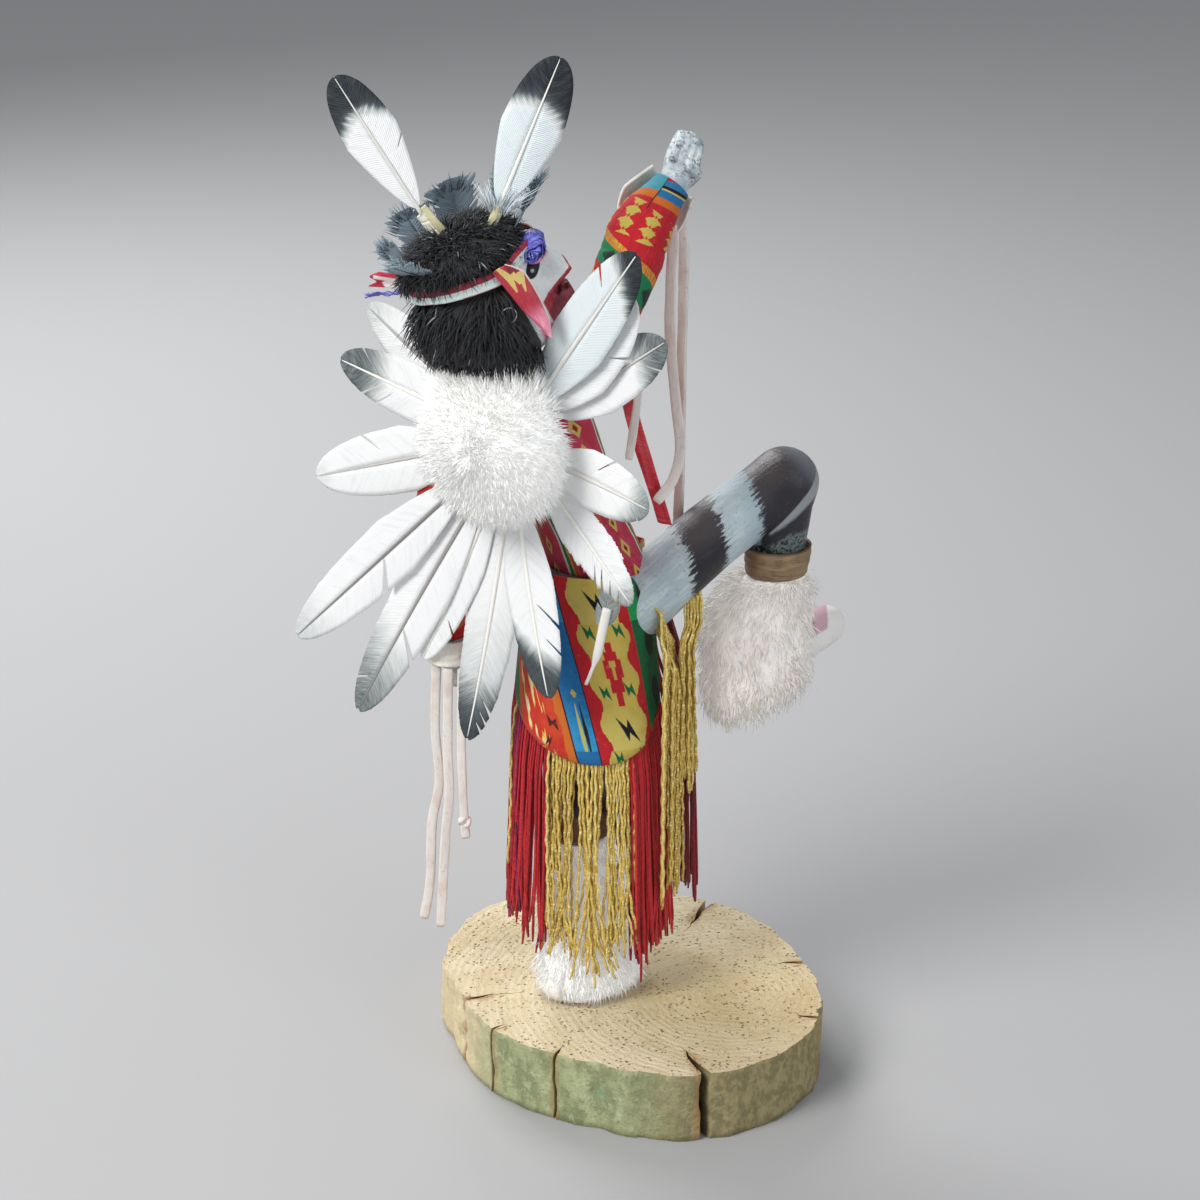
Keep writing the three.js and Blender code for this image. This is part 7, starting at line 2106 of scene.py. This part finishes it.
def band_ends():
    p = arr(-67.6, -15, 266.4)
    ex = unit(arr(-0.985, 0.02, 0.17))
    ez = unit(np.cross(ex, unit(arr(0.17, 0, 0.985))))
    ey = np.cross(ez, ex)
    g = Geo()
    # upper end
    nu, nv = 40, 16
    x = np.linspace(0, 1, nu)[:, None]
    y = np.linspace(0, 1, nv)[None, :]
    rag = 0.5 * noise(st(0 * y, y * 5, 0 * y), 1, 411, 2)
    X = x * (12.2 + 1.1 * np.cos(y * 9) + rag)
    lo_, hi_ = -0.13 * X + 0.2, 4.6 - 0.10 * X
    Yv = lo_ + (hi_ - lo_) * y
    off = 0.5 + 0.35 * np.sin(Yv * 1.3 + X * 0.2) + 0.25 * noise(st(X * 0.3, Yv * 0.5, 0 * X), 1, 412, 2)
    X, Yv, off = np.broadcast_arrays(X, Yv, off)
    P = p + X[..., None] * ex + Yv[..., None] * ey + off[..., None] * ez
    shell(g, P, 0.35, ez + 0 * P, 0, False, pt=st(X, Yv, 0 * X))
    # lower strip, pulled into threads at its end
    x = np.linspace(0, 1, nu)[:, None]
    y = np.linspace(0, 1, 7)[None, :]
    X = 0.5 + x * 13.2
    mid = -0.2 - 0.31 * X + 0.25 * np.sin(X * 0.7)
    half = lerp(0.75, 0.5, x) * (1 + 0.3 * np.sin(X * 1.9))
    Yv = mid + (y * 2 - 1) * half
    off = 0.55 + 0.25 * np.sin(X * 0.8 + y * 2)
    X, Yv, off = np.broadcast_arrays(X, Yv, off)
    P = p + X[..., None] * ex + Yv[..., None] * ey + off[..., None] * ez
    shell(g, P, 0.35, ez + 0 * P, 0, False, pt=st(X, Yv - 1.0, 0 * X))
    rng = np.random.default_rng(413)
    for i in range(26):
        x0 = rng.uniform(9.5, 13.4)
        y0 = -0.2 - 0.31 * x0 + rng.uniform(-0.5, 0.5)
        a = p + x0 * ex + y0 * ey + 0.5 * ez
        d = (ex * rng.uniform(0.6, 1.4) + ey * rng.uniform(-0.7, 0.5) + ez * rng.uniform(-0.3, 0.5)) * rng.uniform(0.8, 1.5)
        V, F, S, A = tube(np.array([a, a + d * 0.6, a + d]), [0.12, 0.10, 0.04], [0.12, 0.10, 0.04], 4, (0, 1, 0))
        g.add(V, F, 0, pt=np.array([x0, y0 - 1.2, 0.0]) + np.zeros((len(V), 3)))
    o = build("headband_loose_ends", g, [tail_m], "headband_tails")


band_ends()

# cheek ribbon: red, with a yellow zigzag and a pale front edge
cr = ribbon_material("cheek_print", 0.38)
f_, u_, _ = cr.xyz("pt")
cv = cr.vec("pt")
gr = cr.noise(cr.join(f_ * 2.2, u_ * 0.3, 0.0), 1.0, 3, 0.6)
wv = (cr.noise(cv, 0.8, 2) - 0.5) * 0.7
lean = f_ + u_ * 0.20
c = cr.paint("#b12c3e", (gr.ramp(0.5, 0.7, 0, 0.6), "#cb4250"), (gr.ramp(0.45, 0.3, 0, 0.5), "#8c1f33"))
# painted highlight: pink-white on the lower front of the ribbon
c = cr.mix(u_.ramp(-1, -8.5) & (f_ - 8.6 + (u_ + 8) * 0.22).ramp(-0.2, 1.8), c, cr.paint("#e88aa6", (gr.ramp(0.5, 0.7, 0, 0.8), "#f6c9d0")))
# painted shade: darker at the top where the ribbon passes under the headband
c = cr.mix((u_ + wv).ramp(8.2, 9.4) & (f_ - 9.2 - (u_ - 9) * -0.1).ramp(-0.2, 0.3), c, "#7c1624")


def bar(x0, y0, x1, y1, w0, w1):
    """tapering stroke between two points of the ribbon"""
    L = math.hypot(x1 - x0, y1 - y0)
    dx, dy = (x1 - x0) / L, (y1 - y0) / L
    t = (f_ - x0) * dx + (u_ - y0) * dy
    d = ((f_ - x0) * -dy + (u_ - y0) * dx + wv * 0.25).abs()
    return (d - (t * ((w1 - w0) / L) + w0)).ramp(0.12, -0.12) & t.ramp(-0.1, 0.1) & t.ramp(L + 0.1, L - 0.1)


zz = bar(6.9, 12.8, 8.9, 7.6, 0.55, 1.15) | bar(8.6, 8.8, 8.6, 3.6, 1.1, 0.25) | bar(8.2, 8.2, 12.6, 7.6, 0.9, 0.75) | bar(12.2, 8.6, 10.9, 2.6, 1.0, 0.2) | bar(9.8, 9.3, 10.8, 5.4, 0.9, 0.5)
c = cr.mix(zz, c, cr.paint("#cdb76a", (gr.ramp(0.45, 0.6, 0, 0.5), "#ddc977")))
c = cr.mix(cr.fac("edge").ramp(0.90, 0.95), c, "#f1e6e2")
# painted highlight: pink at the lower end
c = cr.mix((u_ + wv).ramp(-11.2, -12.6), c, "#e8a9bd")
cr.color(c)
cr.bump(gr * 0.6 + ribs(cr, k=2.4) * 0.4, 0.10)


def cheek():
    nu, nv = 60, 22
    t = np.linspace(0, 1, nu)
    u = lerp(12.3, -14.0, t)
    fl = np.interp(-u, [-12.3, -6.2, 1.8, 8, 14.0], [5.0, 6.1, 7.3, 8.9, 10.55])
    fr2 = np.interp(-u, [-12.3, -10.6, -7.9, -3, 2.4, 8.6, 12, 14.0], [9.4, 11.2, 13.3, 13.7, 13.6, 12.8, 11.6, 10.75])
    y = np.linspace(0, 1, nv)[None, :]
    Fx = fl[:, None] + (fr2 - fl)[:, None] * y
    Ux = u[:, None] + 0.3 * np.sin(y * 3) + 0 * Fx
    s = 19.0 + 0.55 * np.sin(np.pi * y) * smooth(t, 0.05, 0.5)[:, None] + 0.25 * noise(st(Fx * 0.4, Ux * 0.14, 0 * Fx), 1, 421, 2)
    # bellies outwards a little and its front edge turns back
    s = s - 0.9 * smooth(y, 0.86, 1.0) + 0 * Fx
    P = head_at(Fx, s, Ux)
    g = Geo()
    shell(g, P, 0.42, hs + 0 * P, 0, False, pt=st(Fx, Ux, 0 * Fx), edge=y + 0 * Fx)
    o = build("cheek_ribbon_strip", g, [cr], "cheek_ribbon")


cheek()

# knot of crumpled ribbon on the brow
bt = ribbon_material("brow_ribbon_print", 0.45)
bf, bs, bu = bt.xyz("hd")
hv3 = bt.vec("hd")
n1, n2 = bt.noise(hv3, 0.45, 3, 0.6), bt.noise(hv3, 2.6, 2, 0.6)
c = bt.paint("#4b48ae", (n1.ramp(0.46, 0.60, 0, 0.8), "#6f79cf"), (n1.ramp(0.44, 0.30, 0, 0.8), "#2e2a76"), (n2.ramp(0.62, 0.70, 0, 0.8), "#d5d8f2"), (n2.ramp(0.38, 0.30, 0, 0.5), "#7a4a9c"))
c = bt.mix((bu + (n1 - 0.5) * 1.6 - (bf - 18) * 0.12).ramp(7.2, 6.5), c, "#e08db4")
c = bt.mix((bf + (n1 - 0.5) * 1.4).ramp(14.8, 14.2), c, "#b9d0d8")
bt.color(c)
bt.bump(n1 + n2 * 0.6, 0.2)


def brow():
    g = Geo()
    rng = np.random.default_rng(431)
    # overlapping loops of one strip, packed side by side over the brow
    loops = [(-6.4, 1.9, -1.6), (-3.6, 2.7, -1.2), (-0.4, 3.2, -0.6), (2.8, 3.7, -0.6), (6.0, 3.9, -0.4), (8.8, 3.6, -0.6), (10.9, 2.7, -0.4), (12.2, 1.5, -0.6), (12.8, 0.7, -0.6)]
    for k, (s0, r, dz) in enumerate(loops):
        nu, nv = 44, 13
        a = np.linspace(-0.35 * np.pi, 1.62 * np.pi, nu)[:, None]
        y = np.linspace(-1, 1, nv)[None, :]
        rr_ = r * (1 + 0.10 * np.sin(3 * a + k)) * (1 - 0.10 * y ** 2)
        ff = 18.4 + 1.28 * rr_ * np.cos(a) + 0.35 * np.sin(2.2 * y + k)
        uu = 9.6 + dz + 0.86 * rr_ * np.sin(a) + 0.4 * np.sin(3 * y + 2 * a + k) + 0.22 * (ff - 18.3)
        ss = s0 + y * min(2.3, 0.8 + r * 0.5) + 0.5 * np.sin(2 * a + k)
        wr = 0.35 * noise(st(ff * 0.5, ss * 0.9, uu * 0.5), 1, 432 + k, 3)
        P = head_at(ff + wr, ss, uu + wr * 0.7)
        hd_ = st(ff, ss, uu)
        shell(g, P, 0.4, P - head_at(18.3, s0, 9.7), 0, False, hd=hd_)
    o = build("brow_ribbon_knot", g, [bt], "brow_tuft")


brow()

# long red ribbon from the raised shoulder to the hip
sr = ribbon_material("sash_satin", 0.3)
sx_, sy_, _ = sr.xyz("pt")
sheen_ripple = sr.noise(sr.join(sx_ * 0.9, sy_ * 0.15, 0.0), 1.0, 3, 0.6)
fold_shade = (sy_ - 0.9 + (sheen_ripple - 0.5) * 0.5).abs().ramp(0.35, 0.1)
# painted sheen and painted shade in crosswise bands, and painted shade in the fold along it
sr.color(sr.paint("#c5162b", (sheen_ripple.ramp(0.52, 0.66, 0, 0.8), "#e8404e"), (sheen_ripple.ramp(0.46, 0.32, 0, 0.7), "#8c0c20"), (fold_shade * 0.6, "#7a0b1b"), (sy_.abs().ramp(2.1, 2.5, 0, 0.6), "#e2606a")))
sr.bump(sheen_ripple * 0.8 + ribs(sr) * 0.4, 0.12)


def sash():
    pts = [[-7.6, -10.6, 245.5], [-4, -9, 235], [-1.8, -8, 224], [2.6, -5, 208], [6.5, -1, 194], [8.6, 1.5, 186]]
    path = catmull(pts, np.linspace(0, 1, 90))
    L = np.concatenate([[0], np.cumsum(np.linalg.norm(np.diff(path, axis=0), axis=1))])
    wd_ = unit(arr(0.9, 0.3, -0.3))
    T_ = unit(np.gradient(path, axis=0))
    nrm = unit(np.cross(T_, wd_))
    y = np.linspace(-1, 1, 15)[None, :]
    t = (L / L[-1])[:, None]
    half = 2.9 - 0.45 * t
    off = 0.35 * np.sin(L * 0.22)[:, None] * y + 0.30 * np.cos(y * 2.2 + 1) + 0.22 * noise(st(L[:, None] * 0.18 + 0 * y, y * 1.2 + 0 * t, 0 * t + 0 * y), 1, 441, 3)
    P = path[:, None, :] + (half * y)[..., None] * wd_ + off[..., None] * nrm[:, None, :]
    g = Geo()
    shell(g, P, 0.40, nrm[:, None, :] + 0 * P, 0, False, pt=st(L[:, None] + 0 * y, half * y, 0 * half * y))
    o = build("sash_strip", g, [sr], "sash_ribbon")


sash()

# white leather cuffs
kid = M("white_kid", 0.72, Specular_IOR_Level=0.35)
w = kid.vec()
k1_, k2_ = kid.noise(w, 0.30, 3, 0.6), kid.noise(w, 2.4, 3, 0.65)
kid.color(kid.paint("#ece8df", (k1_.ramp(0.48, 0.66, 0, 0.6), "#d6d0c4"), (k2_.ramp(0.55, 0.72, 0, 0.45), "#b9b0a2"), (k1_.ramp(0.40, 0.28, 0, 0.4), "#f8f6f1")))
kid.bump(k1_ + k2_ * 0.6, 0.22)


def cuff_raised():
    Wt = arr(10, 3, 294)
    d = unit(arr(1, -4, 283) - Wt)
    refc = arr(1, 0, -0.5)
    U = unit(refc - d * (refc @ d))
    W = np.cross(d, U)
    nu, nv = 30, 60
    h = np.linspace(0, 1, nu)
    C = Wt - d * 1.5 + np.outer(h * 19.0, d)
    a_ = np.interp(h, [0, 0.5, 1], [8, 12.5, 14])
    b_ = np.interp(h, [0, 0.5, 1], [7, 10, 11])
    P = np.zeros((nu, nv, 3))
    AT = np.zeros((nu, nv, 3))
    for i in range(nu):
        ay, by = a_[i] * U[1], b_[i] * W[1]
        amp, th0 = math.hypot(ay, by), math.atan2(by, ay)
        half = math.acos(max(-0.95, min(0.95, (4.9 - C[i, 1]) / amp)))
        th = np.linspace(th0 - half, th0 + half, nv)
        rr_ = 1 + 0.035 * np.sin(th * 5 + 1.3) * h[i] + 0.02 * np.sin(th * 9) * h[i]
        # pulled out where the thongs hang from it
        rr_ = rr_ + 0.22 * math.sin(math.pi * min(1, h[i] * 1.15)) * np.exp(-((th + 0.95) / 0.5) ** 2)
        P[i] = C[i] + (a_[i] * rr_ * np.cos(th))[:, None] * U + (b_[i] * rr_ * np.sin(th))[:, None] * W
        P[i] += d * (0.9 * np.sin(th * 3.0 + 0.7) + 0.4 * np.sin(th * 7))[:, None] * h[i] ** 3
        AT[i] = st(th * 10, np.full(nv, h[i] * 19), 0 * th)
    out = P - C[:, None, :]
    g = Geo()
    shell(g, P, 0.9, out, 0, False, pt=AT)
    build("cuff_raised_leather", g, [kid], "cuff_raised")


cuff_raised()


def ring_piece(name, node, centre, radii, ax, n, nv, thick, mat, seed, ripple=0.2, ridge=0.0, ovality=1.0, lap=0.0):
    """leather band round a limb: centre(h), radii(h), ax gives the two across directions"""
    a = np.linspace(0, 2 * np.pi, n, endpoint=False)[None, :]
    h = np.linspace(0, 1, nv)[:, None]
    U, W = ax
    C = np.array([centre(x) for x in h[:, 0]])
    R = np.array([radii(x) for x in h[:, 0]])[:, None]
    r = R + ripple * noise(st(np.cos(a) * 2 + 0 * h, np.sin(a) * 2 + 0 * h, h * 4 + 0 * a), 1, seed, 3) + ridge * np.sin(h * 19 + 1.4 * np.sin(a * 2))
    r = r + lap * smooth(np.abs(((a + 1.2) % (2 * np.pi)) - np.pi), 0.5, 0.42)
    P = C[:, None, :] + (r * np.cos(a))[..., None] * U + (r * ovality * np.sin(a))[..., None] * W
    out = np.cos(a)[..., None] * U + np.sin(a)[..., None] * W + 0 * P
    g = Geo()
    shell(g, P, thick, out, 0, True, pt=st(a * R, h * 9 + 0 * a, 0 * a + 0 * h))
    return build(name, g, [mat], node)


ring_piece("cuff_lowered_leather", "cuff_lowered", lambda h: arr(-59.8, 12.3 - (lerp(135.4, 143.8, h) - 141) * 0.1, lerp(135.4, 143.8, h)), lambda h: 6.95 + 0.35 * (1 - h) ** 2, (arr(1, 0, 0), arr(0, 1, 0)),
           64, 22, 0.8, kid, 451, 0.22, 0.10, lap=0.35)

# tan leather bands below the knees
tan = M("tan_leather", 0.55, Specular_IOR_Level=0.4)
w = tan.vec()
tX, tY, tZ = tan.xyz()
t1, t2 = tan.noise(w, 0.28, 3, 0.6), tan.noise(w, 2.6, 3, 0.65)
wrap_l = tan.noise(tan.join(tX * 0.10, tY * 0.10, tZ * 0.85), 1.0, 3, 0.6)
# painted shade: darker along the top edge of the raised band, under the knee
tan.color(tan.paint("#8c7456", (t1.ramp(0.48, 0.64, 0, 0.7), "#6d5a44"), (t2.ramp(0.55, 0.72, 0, 0.5), "#5a4836"), (wrap_l.ramp(0.52, 0.62, 0, 0.5), "#a98e6a"), (wrap_l.ramp(0.42, 0.34, 0, 0.6), "#54432f"),
                    (tX.ramp(41, 36, 0, 0.5), "#7e4b3c"), (tZ.ramp(173.2, 174.2, 0, 0.7), "#40342a")))
tan.bump(wrap_l * 1.2 + t2 * 0.6, 0.25)
ring_piece("knee_band_raised_leather", "knee_band_raised", lambda h: arr(lerp(44.6, 45.2, h), lerp(15, 15.2, h), lerp(165.0, 174.2, h)), lambda h: lerp(9.4, 10.3, h) + 0.25 * math.sin(h * math.pi), (arr(1, 0, 0), arr(0, 1, 0)),
           80, 30, 0.8, tan, 461, 0.14, 0.10, lap=0.5)
ring_piece("knee_band_standing_leather", "knee_band_standing", lambda h: arr(-19.1, 4.4 - 0 * h, lerp(78.7, 87.4, h)), lambda h: lerp(10.9, 11.2, h) + 0.2 * math.sin(h * math.pi), (arr(1, 0, 0), arr(0, 1, 0)),
           64, 20, 0.8, tan, 462, 0.14, 0.10, lap=0.4)

# leather wound round the quills of the two crest feathers
cream = M("cream_leather", 0.62, Specular_IOR_Level=0.35)
w = cream.vec()
c1_, c2_ = cream.noise(w, 0.45, 3, 0.6), cream.noise(w, 2.8, 3, 0.65)
cream.color(cream.paint("#e4e0ce", (c1_.ramp(0.48, 0.62, 0, 0.6), "#f2efe4"), (c2_.ramp(0.56, 0.7, 0, 0.5), "#b3a98c"), (cream.fac("hv").ramp(0.4, 0.6), "#cfc9a2")))
cream.bump(c1_ + c2_ * 0.6, 0.2)


def crest_wrap(name, node, a, b, r, seed, flap):
    a, b = arr(a), arr(b)
    d = unit(b - a)
    L = np.linalg.norm(b - a)
    U = unit(np.cross(d, arr(0, -1, 0.1)))
    W = np.cross(d, U)
    g = Geo()
    nu, nv = 40, 40
    h = np.linspace(0, 1, nu)[:, None]
    th = np.linspace(0, 2 * np.pi, nv, endpoint=False)[None, :]
    step = 0.22 * (((h * 3.1 + th / (2 * np.pi)) % 1) < 0.16)
    rr_ = r * (0.88 + 0.10 * np.sin(h * 3.0)) - step * r * 0.5 + 0.12 * noise(st(np.cos(th) * 2 + 0 * h, np.sin(th) * 2 + 0 * h, h * 5 + 0 * th), 1, seed, 3)
    P = a + (h * (L - 0.3))[..., None] * d + (rr_ * np.cos(th))[..., None] * U + (rr_ * np.sin(th) * 0.85)[..., None] * W
    q = grid_faces(nu, nv, wrap_v=True)
    k = nu * nv
    V = np.vstack([P.reshape(-1, 3), P[0].mean(0), P[-1].mean(0)])
    j = np.arange(nv)
    t0 = np.stack([np.full(nv, k), (j + 1) % nv, j], 1)
    t1 = np.stack([np.full(nv, k + 1), (nu - 1) * nv + j, (nu - 1) * nv + (j + 1) % nv], 1)
    e1, e2 = V[nv] - V[0], V[1] - V[0]
    if np.dot(np.cross(e1, e2), V[0] - P[0].mean(0)) < 0:
        q, t0, t1 = q[:, ::-1], t0[:, ::-1], t1[:, ::-1]
    g.add(V, (q, np.concatenate([t0, t1])), 0, hv=0.0, pt=np.zeros(3) + np.zeros((len(V), 3)))
    # loose end of the strip lying along it
    x = np.linspace(0, 1, 24)[:, None]
    y = np.linspace(-1, 1, 8)[None, :]
    mid = a + U * flap * r * 0.9 + arr(0, -r * 0.55, 0)
    Pf = mid + (lerp(0.25, 1.12, x) * L)[..., None] * d + (y * 1.15 * (1 - 0.25 * x))[..., None] * U + ((0.5 + 0.3 * np.sin(x * 5) - 0.25 * y ** 2))[..., None] * arr(0, -1, 0)
    shell(g, Pf, 0.5, arr(0, -1, 0) + 0 * Pf, 0, False, hv=1.0 + 0 * (x * y), pt=np.zeros(3) + 0 * Pf)
    build(name, g, [cream], node)


crest_wrap("crest_wrap_left_leather", "crest_wrap_left", [-57.8, -19, 282.6], [-64.5, -19, 291], 2.1, 471, 1.0)
crest_wrap("crest_wrap_right_leather", "crest_wrap_right", [-44.5, -24, 286], [-41.5, -25, 293.5], 1.6, 472, -0.4)

# ---------------------------------------------------------------------- close
for n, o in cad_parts.items():
    if not o.hide_render and not o.data.materials:
        o.data.materials.append(floor_mat.m)
